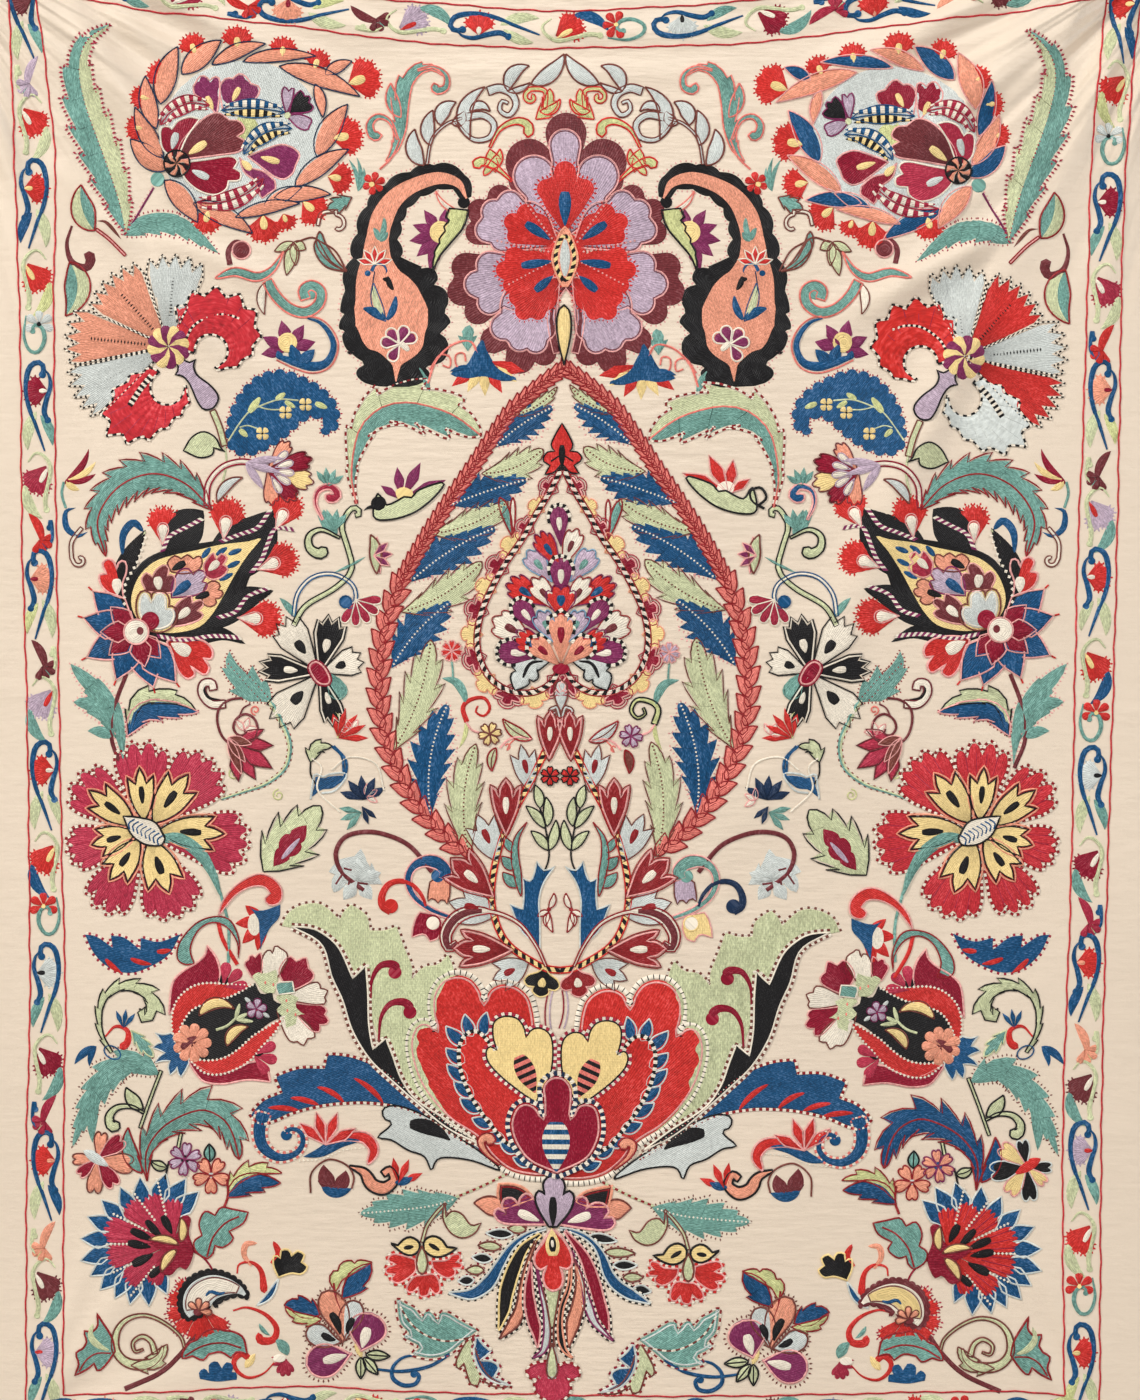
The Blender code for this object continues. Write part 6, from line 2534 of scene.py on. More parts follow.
def sickle_leaf(work, body="blue", stripe="red", picot="crimson"):
    """The blue boat-shaped leaf with red streaks."""
    outline = cutwork(work, ([(97, 936), (113, 947)], [(111, 935)], [(125, 937), (141, 949)], [(141, 937)],
                             [(160, 941), (182, 933)],
                             [(170, 954), (150, 967), (130, 973), (110, 968), (94, 953), (85, 934)]), body,
                             100.0, 0.0,
                      bars=("ivory", picot), out=1.0)
    for base, tip in (((105, 957), (123, 973)), ((129, 957), (154, 964)), ((156, 951), (173, 949))):
        leaf(work, base, tip, 7.0, stripe, 0.05, level=1.4, count=8)
    return outline


def acanthus_curl(work, body="sage", ink="black", hook="red", tuft="blue"):
    """The toothed scroll by the left edge, with its hook and leaflets."""
    spine = curve([(112, 1052), (102, 1034), (100, 1012), (106, 996), (122, 986), (140, 988), (150, 996),
                   (153, 1007), (147, 1014),
                   (141, 1010)], 70)
    toothed(work, spine, 27.0, body, 9, 0.6, "hook", 0.35, edge=ink, sides="left", balance=0.55, lean=0.9)
    stroke(work, curve([(106, 1036), (116, 1026), (128, 1030), (128, 1042), (120, 1048)], 20), 9.0, hook,
           "hook", level=0.8)
    flower(work, (124, 1028), fan(3, 8.0, 60.0), 20.0, 26.0, [tuft], tip="point", level=0.8)
    leaf(work, (97, 1046), (75, 1064), 9.0, tuft, 0.1)
    leaf(work, (97, 1046), (90, 1066), 7.0, tuft, 0.1)
    toothed(work, [(132, 1030), (142, 1042), (154, 1056)], 16.0, "teal", 3, 0.5, "leaf", 0.5, edge="sage")
    line(work, oval((113, 1052), 18.0, 12.0, 16, 30.0), "blue", 1.2, closed=True)


def hook_flower(work, hook="red", cup="blue", petals=("red", "ivory"), sickle="teal"):
    """The big hook that ends in a hanging flower, with the pale sickle beneath it."""
    for tip, width in (((246, 905), 12.0), ((236, 923), 14.0), ((243, 943), 14.0), ((258, 950), 13.0)):
        leaf(work, (264, 921), tip, width, petals[0], level=0.3)
    fill(work, oval((255, 924), 15.0, 24.0, 18), petals[1], 0.0, 1.2)
    cutwork(work, ([(262, 910), (281, 904)], [(280, 917), (270, 929), (261, 949)],
                   [(259, 930), (258, 919), (249, 906)]), cup, 60.0, 2.0)
    cutwork(work, ([(224, 900), (238, 884), (257, 874), (272, 877), (282, 888), (281, 901), (271, 905),
                    (265, 899), (271, 893)],
                   [(264, 886), (250, 887), (235, 896), (219, 916)]), hook, 60.0, 2.2, edge="pink")
    line(work, curve([(219, 922), (224, 940), (238, 964)], 14), hook, 3.4)
    cutwork(work, ([(240, 940), (232, 921), (218, 916), (198, 922), (181, 941), (178, 958), (186, 964),
                    (195, 963)],
                   [(191, 948), (199, 930), (213, 922), (228, 927), (238, 942), (239, 957)]), sickle, 60.0,
                   0.8, edge="dark_red")


MOUTH_PETALS = (
    # Outline in arcs, and which of the threads, for the fan at the mouth of the pomegranate.
    (([(263, 976), (262, 962), (265, 953), (270, 949), (273, 953)], [(276, 945), (281, 948)],
      [(287, 952), (288, 960), (283, 969), (276, 978), (263, 976)]), 1),
    (([(252, 976), (245, 963), (249, 960), (251, 954), (256, 957)],
      [(261, 952), (263, 964), (260, 978), (252, 976)]), 0),
    (([(290, 990), (280, 974), (282, 964), (290, 956), (297, 961)], [(306, 957), (308, 963), (309, 968)],
      [(314, 973), (312, 980), (300, 987), (290, 990)]), 0),
    (([(290, 994), (300, 988), (310, 983), (319, 982), (321, 988)], [(328, 990), (325, 997)],
      [(326, 1003), (314, 1004), (290, 1000)]), 1),
    (([(290, 1002), (308, 1004), (322, 1005), (327, 1010), (325, 1014)],
      [(329, 1020), (326, 1024), (320, 1024)],
      [(320, 1031), (312, 1030), (302, 1020), (290, 1004)]), 0),
    (([(278, 1012), (284, 1030), (291, 1041), (298, 1041)], [(304, 1045), (308, 1038)],
      [(315, 1037), (313, 1029), (300, 1016), (278, 1008)]), 1),
)


def pomegranate(work, flesh="black", skin="red", husk="wine", bloom="peach", calyx="blue",
                crown=("wine", "ivory")):
    """The pomegranate: its crescents, dark flesh with flowers, and the fan at its mouth."""
    for centre, heading in (((224, 986), 28.0), ((254, 1054), 84.0)):
        flower(work, centre, fan(4, heading, 120.0), 25.0, 40.0, ["rose"], tip="round", level=0.2)
        disc(work, np.array(centre) + aim(heading - 30.0) * 6.0, 12.0, "black", level=1.8)
    for arcs, rows in ((([(170, 1012), (173, 984), (182, 972), (198, 962), (206, 954), (208, 945)],
                         [(217, 957), (221, 972), (219, 984)],
                         [(196, 990), (180, 1002), (170, 1014)]), 30.0),
                       (([(190, 1062), (198, 1074), (206, 1081), (224, 1083), (248, 1079), (271, 1081)],
                         [(268, 1069), (260, 1061), (249, 1062)],
                         [(234, 1069), (214, 1072), (190, 1060)]), 80.0)):
        cutwork(work, arcs, husk, rows, 0.6, spacing=8.0, edge="pink", edge_width=1.6)
    cutwork(work, ([(173, 1032), (164, 1034), (156, 1032)], [(160, 1037), (163, 1042)],
                   [(158, 1043), (154, 1047)], [(160, 1049), (166, 1052)],
                   [(160, 1056), (156, 1062)], [(164, 1060), (171, 1060)], [(169, 1066), (171, 1074)],
                   [(176, 1070), (178, 1066)],
                   [(179, 1072), (182, 1076)], [(186, 1070), (190, 1062)], [(186, 1048), (173, 1032)]),
                   calyx, 60.0, 0.8, spacing=7.0,
            edge="silver", edge_width=1.2)
    cutwork(work, ([(184, 1056), (180, 1036), (188, 1014), (198, 1004), (224, 996), (256, 982)],
                   [(262, 993), (273, 991)], [(275, 1000), (282, 1003)],
                   [(280, 1011), (286, 1015)],
                   [(268, 1024), (248, 1042), (226, 1056), (206, 1060), (184, 1056)]), flesh, 70.0, 1.0,
                   spacing=9.0)
    for arcs, rows in ((([(254, 984), (229, 983), (206, 982), (190, 987), (177, 1000), (172, 1018),
                          (174, 1036), (182, 1056)],
                         [(180, 1034), (186, 1019), (194, 1009), (210, 1002), (232, 996), (254, 984)]),
                         40.0),
                       (([(285, 1016), (276, 1032), (262, 1047), (251, 1060), (236, 1069), (220, 1074),
                          (203, 1071), (186, 1054)],
                         [(198, 1058), (212, 1059), (226, 1056), (240, 1047), (256, 1033), (285, 1016)]),
                         60.0)):
        outline = cutwork(work, arcs, skin, rows, 2.0, spacing=8.0)
        dots(work, outline, "ivory", 4.2, 2.4, out=0.4, closed=True, level=3.0)
    disc(work, (193, 1042), 30.0, bloom, level=3.4)
    flower(work, (193, 1042), ring(9, 10.0), 21.0, 46.0, [bloom], tip="round", level=3.8)
    leaf(work, (181, 1048), (200, 1035), 13.0, "maroon", level=5.6)
    leaf(work, (200, 1015), (235, 1008), 12.0, "gold", -0.26, level=3.0, edge="brown", edge_width=1.0)
    leaf(work, (228, 1045), (249, 1026), 11.0, "gold", -0.2, level=3.0, edge="brown", edge_width=1.0)
    line(work, curve([(217, 1029), (228, 1025), (238, 1016)], 8), "sage", 2.2, level=3.0)
    for tip in ((241, 1001), (256, 1021), (250, 1012)):
        leaf(work, (236, 1019), tip, 5.5, "sage", level=3.0)
    flower(work, (257, 1008), ring(5, 10.0), 10.5, 62.0, ["lavender"], tip="round", edge="plum", level=3.0,
           edge_width=0.7)
    disc(work, (257, 1009), 4.0, "crimson", level=5.4)
    leaf(work, (252, 1003), (245, 996), 5.0, "silver", level=3.0)
    leaf(work, (263, 1012), (271, 1017), 5.0, "silver", level=3.0)
    # The fan of the mouth.
    for arcs, which in MOUTH_PETALS:
        cutwork(work, arcs, crown[which], (278, 998), 0.4, spacing=7.0, edge="brown" if which else "pink",
                edge_width=1.2)
    for arcs, thread in ((([(252, 976), (258, 971), (266, 972), (277, 968)], [(279, 978), (275, 993)],
                           [(264, 992), (256, 981)]), "sage"),
                         (([(276, 996), (290, 993), (300, 997)], [(297, 1006), (306, 1014)],
                           [(298, 1016), (297, 1024), (286, 1028)],
                           [(284, 1018), (276, 1010), (282, 1003)]), "sage")):
        cutwork(work, arcs, thread, 60.0, 1.8, spacing=7.0)
    for place in ((266, 982), (274, 984), (287, 1000), (288, 1010), (296, 1014)):
        disc(work, place, 5.0, "coral", level=3.6, across=3.6)
    cutwork(work, ([(277, 983), (293, 981)], [(295, 992)], [(279, 994)]), "teal", 60.0, 2.4, spacing=6.0,
            edge="ivory", edge_width=1.2)


def leaf_flower(work, rim_thread="sage", core="wine", stripe="lavender"):
    """The pointed leaf with a flower at its heart."""
    spine = curve([(264, 871), (280, 852), (300, 832), (321, 806)], 40)
    toothed(work, spine, 62.0, rim_thread, 4, 0.42, "leaf", 0.4, edge="black", lean=1.0)
    toothed(work, curve([(274, 866), (288, 848), (307, 825)], 30), 30.0, core, 3, 0.3, "leaf", 0.5,
            level=1.2, round_lobes=True)
    leaf(work, (281, 860), (302, 836), 7.0, stripe, level=2.6)


def water_lily(work, petals="navy", low="teal", cloud="blue"):
    """The small lily on its cream tendril."""
    flower(work, (364, 800), fan(5, -6.0, 130.0), 26.0, 36.0, [petals], tip="point", level=0.4)
    flower(work, (362, 806), (130.0, 160.0), 20.0, 30.0, [petals], tip="point", level=0.6)
    flower(work, (362, 812), (-110.0, -140.0, -80.0), 24.0, 30.0, [low], tip="point")
    line(work, curve([(312, 758), (322, 768), (318, 790), (340, 812)], 20), "ivory", 1.6)
    line(work, curve([(332, 770), (350, 757), (376, 764), (384, 790)], 20), "ivory", 1.6)
    line(work, curve([(334, 746), (346, 760), (345, 776), (334, 786)], 14), cloud, 2.4)
    fill(work, curve([(312, 797), (315, 784), (316, 776), (324, 778), (330, 776), (345, 776), (334, 788),
                      (322, 790)], 28, closed=True),
         cloud, 60.0, 0.4)
    line(work, curve([(311, 799), (313, 784), (315, 774), (324, 777), (330, 774), (347, 774), (336, 790),
                      (322, 793)], 28), "silver", 1.8,
         level=1.2)


def silver_leaf(work, vine_thread="maroon", body="silver"):
    """The silver leaf on its red-brown vine."""
    toothed(work, [(382, 884), (362, 872), (352, 866), (340, 880), (334, 892)], 40.0, body, 4, 0.45, "leaf",
            0.5)
    flower(work, (358, 880), ring(5, 0.0), 25.0, 66.0, [body], tip="point", level=0.2)
    line(work, curve([(432, 872), (410, 846), (384, 834), (362, 832), (344, 838), (336, 854), (342, 872),
                      (356, 884), (364, 890)], 44),
         vine_thread, 4.0, level=1.0)
    for base, tip in (((344, 872), (336, 884)), ((350, 878), (348, 892)), ((354, 882), (368, 884)),
                      ((344, 868), (352, 870))):
        line(work, np.array([base, (np.array(base) + tip) / 2.0, tip], dtype=float), "maroon", 1.8,
             level=1.2)


def blue_red_hooks(work, ball="blue", tulip="peach", hook="red", flower_thread="wine"):
    """The hooks and the tulip between the oval and the base palmette."""
    cutwork(work, ([(428, 894), (428, 901)], [(433, 898), (438, 903)], [(443, 899), (447, 904)],
                   [(450, 894), (450, 880)],
                   [(440, 876), (430, 882)]), tulip, 0.0, 0.4, spacing=6.0, edge="brown")
    crook = curve([(452, 918), (430, 909), (414, 896), (408, 880), (413, 867), (425, 861), (438, 863),
                   (446, 871), (444, 879)], 44)
    half = np.interp(np.linspace(0.0, 1.0, 44), [0.0, 0.35, 0.6, 0.8, 1.0], [2.0, 2.8, 3.6, 6.6, 5.6])
    stroke_line = rim(crook, half, half)
    strip(work, crook, half, half, ball, level=1.2)
    line(work, stroke_line, "pink", 1.2, closed=True, level=1.8)
    disc(work, (438, 876), 14.0, ball, level=2.2)
    loop = curve([(426, 906), (421, 894), (411, 884), (399, 881), (388, 885), (382, 896), (383, 906),
                  (391, 911)], 36)
    half = np.interp(np.linspace(0.0, 1.0, 36), [0.0, 0.5, 1.0], [1.6, 3.0, 4.6])
    strip(work, loop, half, half, hook, level=2.2)
    disc(work, (391, 906), 15.0, hook, level=2.4)
    cutwork(work, ([(416, 918), (413, 928)], [(412, 937)], [(424, 934), (430, 941)],
                   [(438, 938), (442, 928)], [(438, 916), (420, 912)]),
            flower_thread, 0.0, 0.6, spacing=7.0, edge="pink")
    disc(work, (433, 923), 15.0, "ivory", edge=flower_thread, level=2.2)


PALMETTE_LEAVES = (
    # Tip and width of the blue leaves, each with its base on the inner heart.
    ((465, 1014), 13.0, (473, 1036)), ((487, 1012), 13.0, (484, 1036)), ((446, 1026), 14.0, (466, 1044)),
    ((446, 1048), 14.0, (465, 1062)),
    ((447, 1064), 14.0, (468, 1080)), ((454, 1081), 14.0, (474, 1095)), ((460, 1098), 14.0, (482, 1110)),
    ((472, 1118), 13.0, (493, 1124)),
    ((486, 1134), 12.0, (505, 1138)), ((500, 1142), 12.0, (518, 1150)), ((513, 1157), 11.0, (532, 1163)),
)


def base_palmette():
    """The great red palmette at the foot of the drop."""
    work = Needlework("base_palmette")
    for mirrored in (False, True):
        work.side(mirrored, (-16.0, 4.0) if mirrored else (0.0, 0.0))
        outer = arc_outline([(432, 1012), (433, 994), (442, 980), (457, 975), (471, 979), (480, 990),
                             (484, 1003)],
                            [(490, 990), (502, 984), (516, 986), (528, 996), (533, 1011), (535, 1026)],
                            [(546, 1060), (557, 1130), (557, 1175)],
                            [(535, 1176), (511, 1171), (492, 1157), (477, 1138), (452, 1122), (433, 1103),
                             (419, 1082), (411, 1058),
                             (410, 1038), (417, 1024), (428, 1022), (437, 1030)])
        fill(work, outer, "red", (557, 1175), 0.6, spacing=12.0)
        line(work, outer - normals(outer, True) * 3.0, "ivory", 4.2, closed=True, level=1.0)
        dots(work, outer, "black", 5.2, 1.7, out=-3.0, closed=True, level=1.8, reach=5.0)
        line(work, outer + normals(outer, True) * 2.6, "pink", 1.6, closed=True, level=1.8)
        for tip, width, base in PALMETTE_LEAVES:
            leaf(work, base, tip, width, "blue", -0.06, edge="silver", level=2.2, edge_width=1.3, peak=0.4,
                 count=9)
        inner = arc_outline([(488, 1042), (478, 1032), (467, 1034), (460, 1047), (461, 1068), (469, 1090),
                             (482, 1112), (504, 1140)],
                            [(540, 1162)], [(548, 1110)],
                            [(520, 1090), (500, 1076), (489, 1062), (488, 1050), (497, 1050)])
        fill(work, inner, "red", (540, 1158), 3.2, spacing=12.0)
        ladder(work, inner, 4.4, ("black", "ivory"), 3.4, -0.6, True, 3.6)
        heart = arc_outline([(493, 1036), (494, 1022), (504, 1016), (517, 1018), (524, 1027), (526, 1037)],
                            [(532, 1029), (542, 1028), (551, 1036), (553, 1054), (550, 1075), (541, 1092),
                             (536, 1102)],
                            [(521, 1092), (502, 1077), (489, 1063), (486, 1052), (490, 1046), (497, 1050)])
        fill(work, heart, "gold", 0.0, 4.8, spacing=10.0)
        ladder(work, heart, 3.6, ("ivory", "crimson"), 3.2, -2.2, True, 5.2)
        line(work, heart, "black", 1.3, closed=True, level=6.0)
        striped(work, bow((536, 1094), (518, 1054), 0.0, 12), 27.0, "coral", "black", 11, "drop", 0.6,
                level=6.0)
        curl_at = curve([(500, 1164), (486, 1152), (481, 1141), (488, 1137), (493, 1144)], 20)
        stroke(work, curl_at, 11.0, "peach", "hook", edge="dark_red", level=5.0)
    work.side(False)
    plum = arc_outline([(543, 1100), (542, 1086), (549, 1077), (557, 1075), (565, 1077), (572, 1086),
                        (573, 1100), (571, 1117)],
                       [(577, 1105), (587, 1102), (597, 1107), (601, 1124), (598, 1142), (586, 1160),
                        (557, 1174)],
                       [(530, 1162), (516, 1145), (510, 1125), (515, 1108), (525, 1102), (536, 1106),
                        (543, 1117)])
    fill(work, plum, "wine", 0.0, 6.4, spacing=10.0)
    ladder(work, plum, 4.6, ("navy", "ivory"), 3.4, -2.6, True, 6.8)
    line(work, plum + normals(plum, True) * 2.4, "pink", 1.6, closed=True, level=7.6)
    striped(work, bow((556, 1173), (556, 1119), 0.0, 12), 38.0, "blue", "ivory", 11, "drop", 0.6, level=7.6)
    for x, bend in ((549, 0.06), (562, -0.08)):
        line(work, bow((x, 990), (x - 3, 1028), bend, 8), "wine", 1.2)
        line(work, bow((x + 4, 990), (x + 2, 1028), bend, 8), "lavender", 1.2)
    lay(work)


def sage_acanthus(work, body="sage", band="black", hook="wine", picot="brown"):
    """The pale acanthus that cups the base palmette, with its dark inner band."""
    pale = arc_outline([(289, 912), (304, 904), (322, 904), (340, 919)], [(344, 911), (351, 904)],
                       [(361, 910), (368, 917), (370, 930)],
                       [(384, 930), (397, 926)], [(404, 946), (412, 966), (412, 979)],
                       [(423, 967), (438, 964), (448, 954)],
                       [(453, 966), (456, 990), (436, 1040), (450, 1096), (482, 1148)],
                       [(446, 1128), (412, 1098), (388, 1062), (366, 1004), (346, 962), (322, 938),
                        (300, 930), (282, 926)])
    fill(work, pale, body, 0.0, 0.2, spacing=12.0)
    ladder(work, pale[: int(0.55 * len(pale))], 3.4, (picot, "ivory"), 3.4, -1.2, False, 0.6)
    dark = arc_outline([(312, 928), (326, 935), (340, 949), (353, 978)], [(366, 965)],
                       [(368, 990), (369, 1024), (373, 1049)],
                       [(386, 1038)], [(393, 1056), (402, 1080), (418, 1101), (450, 1122), (480, 1144)],
                       [(446, 1127), (414, 1100), (394, 1082), (371, 1060), (353, 1031), (343, 1000),
                        (332, 976), (322, 944), (292, 926)])
    fill(work, dark, band, 20.0, 1.2, spacing=10.0)
    line(work, dark, "ivory", 1.4, closed=True, level=2.2)
    ladder(work, dark, 2.6, (picot, "ivory"), 3.2, -2.4, True, 1.8)
    for path, ball in (([(371, 998), (372, 980), (380, 966), (392, 964), (399, 970)], (395, 972)),
                       ([(379, 1040), (381, 1018), (390, 1004), (404, 1002), (413, 1010)], (410, 1012))):
        stroke(work, curve(path, 26), 12.0, hook, "hook", level=2.0)
        disc(work, ball, 15.0, hook, level=2.2)


def feather_leaf(work, body="blue", streak="red", picot="dark_red"):
    """The broad blue leaf with red streaks that sweeps under the acanthus."""
    broad = arc_outline([(428, 1111), (402, 1087), (376, 1067), (352, 1057), (328, 1054)], [(325, 1068)],
                        [(300, 1068), (276, 1076)],
                        [(283, 1092)], [(264, 1100), (251, 1114)], [(262, 1122), (276, 1119)],
                        [(294, 1111), (318, 1105), (342, 1102), (374, 1102), (412, 1110), (448, 1132),
                         (484, 1152)])
    fill(work, broad, body, 70.0, 0.4, spacing=11.0)
    ladder(work, broad, 2.8, (picot, "ivory"), 3.4, -1.2, True, 0.8)
    for base, tip, bend in (((384, 1104), (350, 1076), 0.08), ((345, 1103), (314, 1086), 0.1),
                            ((320, 1105), (288, 1097), 0.06),
                            ((300, 1110), (266, 1107), 0.04)):
        leaf(work, base, tip, 7.5, streak, bend, level=1.6)
    coil = curve([(264, 1112), (260, 1130), (264, 1146), (278, 1156), (294, 1154), (303, 1144), (302, 1133),
                  (294, 1128), (286, 1130)], 44)
    half = np.interp(np.linspace(0.0, 1.0, 44), [0.0, 0.3, 0.6, 1.0], [7.0, 6.0, 3.4, 2.4])
    strip(work, coil, half, half, body, level=0.4)
    ladder(work, rim(coil, half, half), 2.4, ("coral", "ivory"), 3.4, -0.8, True, 0.8)
    disc(work, (287, 1134), 12.0, body, level=1.2)


def silver_tulip(work, body="silver", seed="black"):
    """The pale tulip beside the base palmette."""
    outline = curve([(500, 1170), (470, 1160), (440, 1158), (432, 1170), (430, 1168), (424, 1156),
                     (408, 1150), (392, 1140), (378, 1137),
                     (388, 1128), (392, 1122), (384, 1118), (384, 1108), (400, 1106), (430, 1118),
                     (460, 1138), (486, 1156)], 70, closed=True)
    fill(work, outline, body, 120.0, 0.8)
    line(work, outline, seed, 1.6, closed=True, level=1.8)
    stroke(work, bow((452, 1142), (407, 1124), 0.1, 16), 20.0, seed, "drop", 0.6, level=2.0)


def ribbon_lotus(work, petals="red", under="blue"):
    """The red lotus on its hooked ribbon beneath the feather leaf."""
    flower(work, (326, 1144), (-50.0, -16.0, 20.0, 62.0), 34.0, 30.0, [petals], tip="point", edge="pink",
           level=0.6, edge_width=1.2)
    stroke(work, curve([(330, 1140), (350, 1136), (366, 1138), (374, 1150), (368, 1164)], 24), 14.0, petals,
           "horn", edge="pink", level=0.8)
    stroke(work, curve([(304, 1156), (320, 1152), (340, 1142), (362, 1140)], 20), 13.0, under, "leaf",
           level=1.2)
    dots(work, curve([(300, 1160), (322, 1158), (342, 1150), (364, 1147)], 20), "ivory", 4.0, 2.0)


# The foot of the cloth.


def picot_leaf(work, body="teal", picot="brown"):
    """The ragged leaf by the side border."""
    spine = curve([(160, 1074), (136, 1062), (112, 1072), (96, 1092), (84, 1116), (73, 1146)], 60)
    toothed(work, spine, 38.0, body, 7, 0.45, "leaf", 0.35, picot=picot, lean=0.9)
    leaf(work, (98, 1090), (93, 1142), 13.0, body, 0.05)
    stem(work, [(162, 1070), (152, 1096), (141, 1127)], 3.0, "sage", edge="black")
    leaf(work, (144, 1108), (127, 1087), 13.0, "sage", -0.1, edge="black")
    stroke(work, curve([(145, 1112), (132, 1106), (118, 1107), (110, 1116), (113, 1126), (120, 1122)], 24),
           11.0, "sage", "hook",
           edge="black")


def heart_flower(work, first="peach", second="wine", core="silver", edge="brown"):
    """The flower with notched petals in two threads."""
    heart = (98.0, 1158.0)
    rows = ((10, 28, 42, 0), (52, 34, 44, 1), (100, 38, 48, 0), (147, 34, 44, 1), (-174, 36, 40, 0),
            (-132, 26, 40, 1), (-92, 26, 40, 0))
    for heading, length, spread, sort in rows:
        thread = second if sort else first
        petal(work, heart, heading, length, spread, thread, "heart", edge="pink" if sort else edge,
              level=0.4 + 0.4 * sort,
              shoulder=0.3, edge_width=1.2)
    leaf(work, (84, 1150), (110, 1166), 13.0, core, edge=None, level=2.4)


def teal_arch(work, body="teal", edge="dark_red"):
    """The arched acanthus over the two small flowers."""
    spine = curve([(148, 1180), (147, 1152), (160, 1130), (180, 1116), (204, 1109), (224, 1118),
                   (234, 1134), (240, 1158)], 70)
    toothed(work, spine, 50.0, body, 8, 0.55, "leaf", 0.55, edge=edge, vein=edge, lean=1.2, balance=0.9)
    leaf(work, (143, 1172), (129, 1127), 15.0, body, -0.12, edge=edge)
    stem(work, [(182, 1132), (180, 1142), (178, 1152)], 3.0, "sage", edge="black")


def posy(work, first="lavender", first_core="black", second="peach", second_core="silver"):
    """The two small flowers, the bud and the split leaf."""
    flower(work, (186, 1158), ring(6, 8.0), 17.0, 50.0, [first], tip="heart", edge="plum", level=0.6,
           edge_width=1.2)
    disc(work, (186, 1158), 10.0, first_core, level=2.6)
    flower(work, (212, 1174), ring(5, 36.0), 19.0, 58.0, [second], tip="heart", edge="dark_red", level=0.6,
           edge_width=1.2)
    disc(work, (212, 1174), 7.0, second_core, level=2.6)
    leaf(work, (211, 1160), (210, 1143), 11.0, "teal", 0.0, edge="black", vein="black")
    leaf(work, (168, 1166), (152, 1160), 10.0, "sage", -0.1, edge="black", vein="black")
    line(work, curve([(170, 1160), (168, 1168), (166, 1178)], 8), "black", 1.8)
    toothed(work, [(229, 1192), (240, 1178), (258, 1170), (282, 1172)], 26.0, "lime", 4, 0.5, "leaf", 0.4,
            edge="dark_red", sides="left",
            balance=0.3)
    toothed(work, [(228, 1196), (244, 1186), (262, 1182), (281, 1182)], 24.0, "blue", 3, 0.5, "leaf", 0.4,
            edge="dark_red", sides="right",
            balance=1.0, level=0.4)
    line(work, curve([(228, 1180), (229, 1194), (225, 1206)], 8), "dark_red", 2.2)


CARNATION_SEPALS = (
    (200, 1190), (187, 1177), (167, 1172), (141, 1176), (121, 1186), (102, 1199), (88, 1216), (81, 1238),
    (81, 1260), (91, 1275),
    (101, 1289), (116, 1297), (131, 1303), (150, 1305), (168, 1293),
)


def base_carnation(work, petals="rose", seed="black", calyx="wine", lobes="gold", sepals="blue",
                   edge="silver"):
    """The carnation at the lower corner, in its ring of sepals."""
    middle = np.array((146.0, 1240.0))
    for tip in CARNATION_SEPALS:
        tip = np.array(tip, dtype=float)
        way = heading_of(middle, tip)
        reach = float(np.linalg.norm(tip - middle))
        petal(work, tip - aim(way) * 0.62 * reach, way, 0.62 * reach, 44.0, sepals, "point", edge=edge,
              level=0.2, edge_width=1.5,
              shoulder=0.4)
    heart = np.array((174.0, 1242.0))
    for index, (heading, length, spread) in enumerate(
        ((0, 48, 32), (-26, 58, 28), (-50, 66, 26), (-78, 76, 26), (-103, 74, 24), (-129, 66, 24),
         (-153, 50, 26))
    ):
        petal(work, heart, heading, length, spread, petals, "five", level=2.6 + 0.6 * (index % 2),
              shoulder=0.12)
        for ray in (-0.3, 0.0, 0.3):
            way = heading + ray * spread
            line(work, np.stack([heart + aim(way) * 34.0, heart + aim(way) * 0.88 * length]), "crimson",
                 1.0, level=3.8)
    for way in (-14, -38, -64, -91, -116, -141):
        dots(work, np.stack([heart + aim(way) * 30.0, heart + aim(way) * 66.0]), "ivory", 3.8, 2.4,
             level=5.0)
    for tip, root, width in (((146, 1218), (166, 1240), 10.0), ((130, 1228), (157, 1240), 11.0),
                             ((127, 1241), (154, 1246), 11.0),
                             ((132, 1264), (156, 1252), 12.0), ((163, 1213), (174, 1234), 11.0),
                             ((150, 1276), (166, 1262), 10.0)):
        leaf(work, root, tip, width, seed, kind="drop", peak=0.62, level=5.0)
    husk = curve([(195, 1250), (190, 1232), (192, 1217), (183, 1214), (180, 1228), (172, 1236), (160, 1236),
                  (150, 1238), (156, 1246),
                  (166, 1252), (160, 1262), (162, 1272), (172, 1274), (180, 1266), (188, 1268)], 56,
                  closed=True)
    fill(work, husk, calyx, 90.0, 6.4)
    for base, tip, width in (((182, 1240), (182, 1216), 9.0), ((180, 1243), (150, 1238), 8.0),
                             ((178, 1248), (163, 1270), 10.0)):
        leaf(work, base, tip, width, lobes, 0.1, level=7.4, edge="brown", edge_width=1.0)
    stem(work, [(193, 1249), (204, 1256), (212, 1266), (216, 1278)], 2.4, calyx)


def oak_leaf(work, body="teal", edge="dark_red"):
    """The lobed leaf beside the carnation."""
    cutwork(work, ([(208, 1257), (197, 1250), (195, 1240), (203, 1234)],
                   [(200, 1222), (206, 1210), (216, 1214)], [(222, 1206), (234, 1208), (249, 1211)],
                   [(244, 1222), (230, 1230)], [(234, 1238), (224, 1246), (216, 1244)], [(214, 1252)]),
            body, 40.0, 0.3, spacing=7.0, edge=edge, edge_width=1.5)
    line(work, curve([(208, 1255), (214, 1236), (226, 1222), (240, 1215)], 20), edge, 1.6, level=2.0)


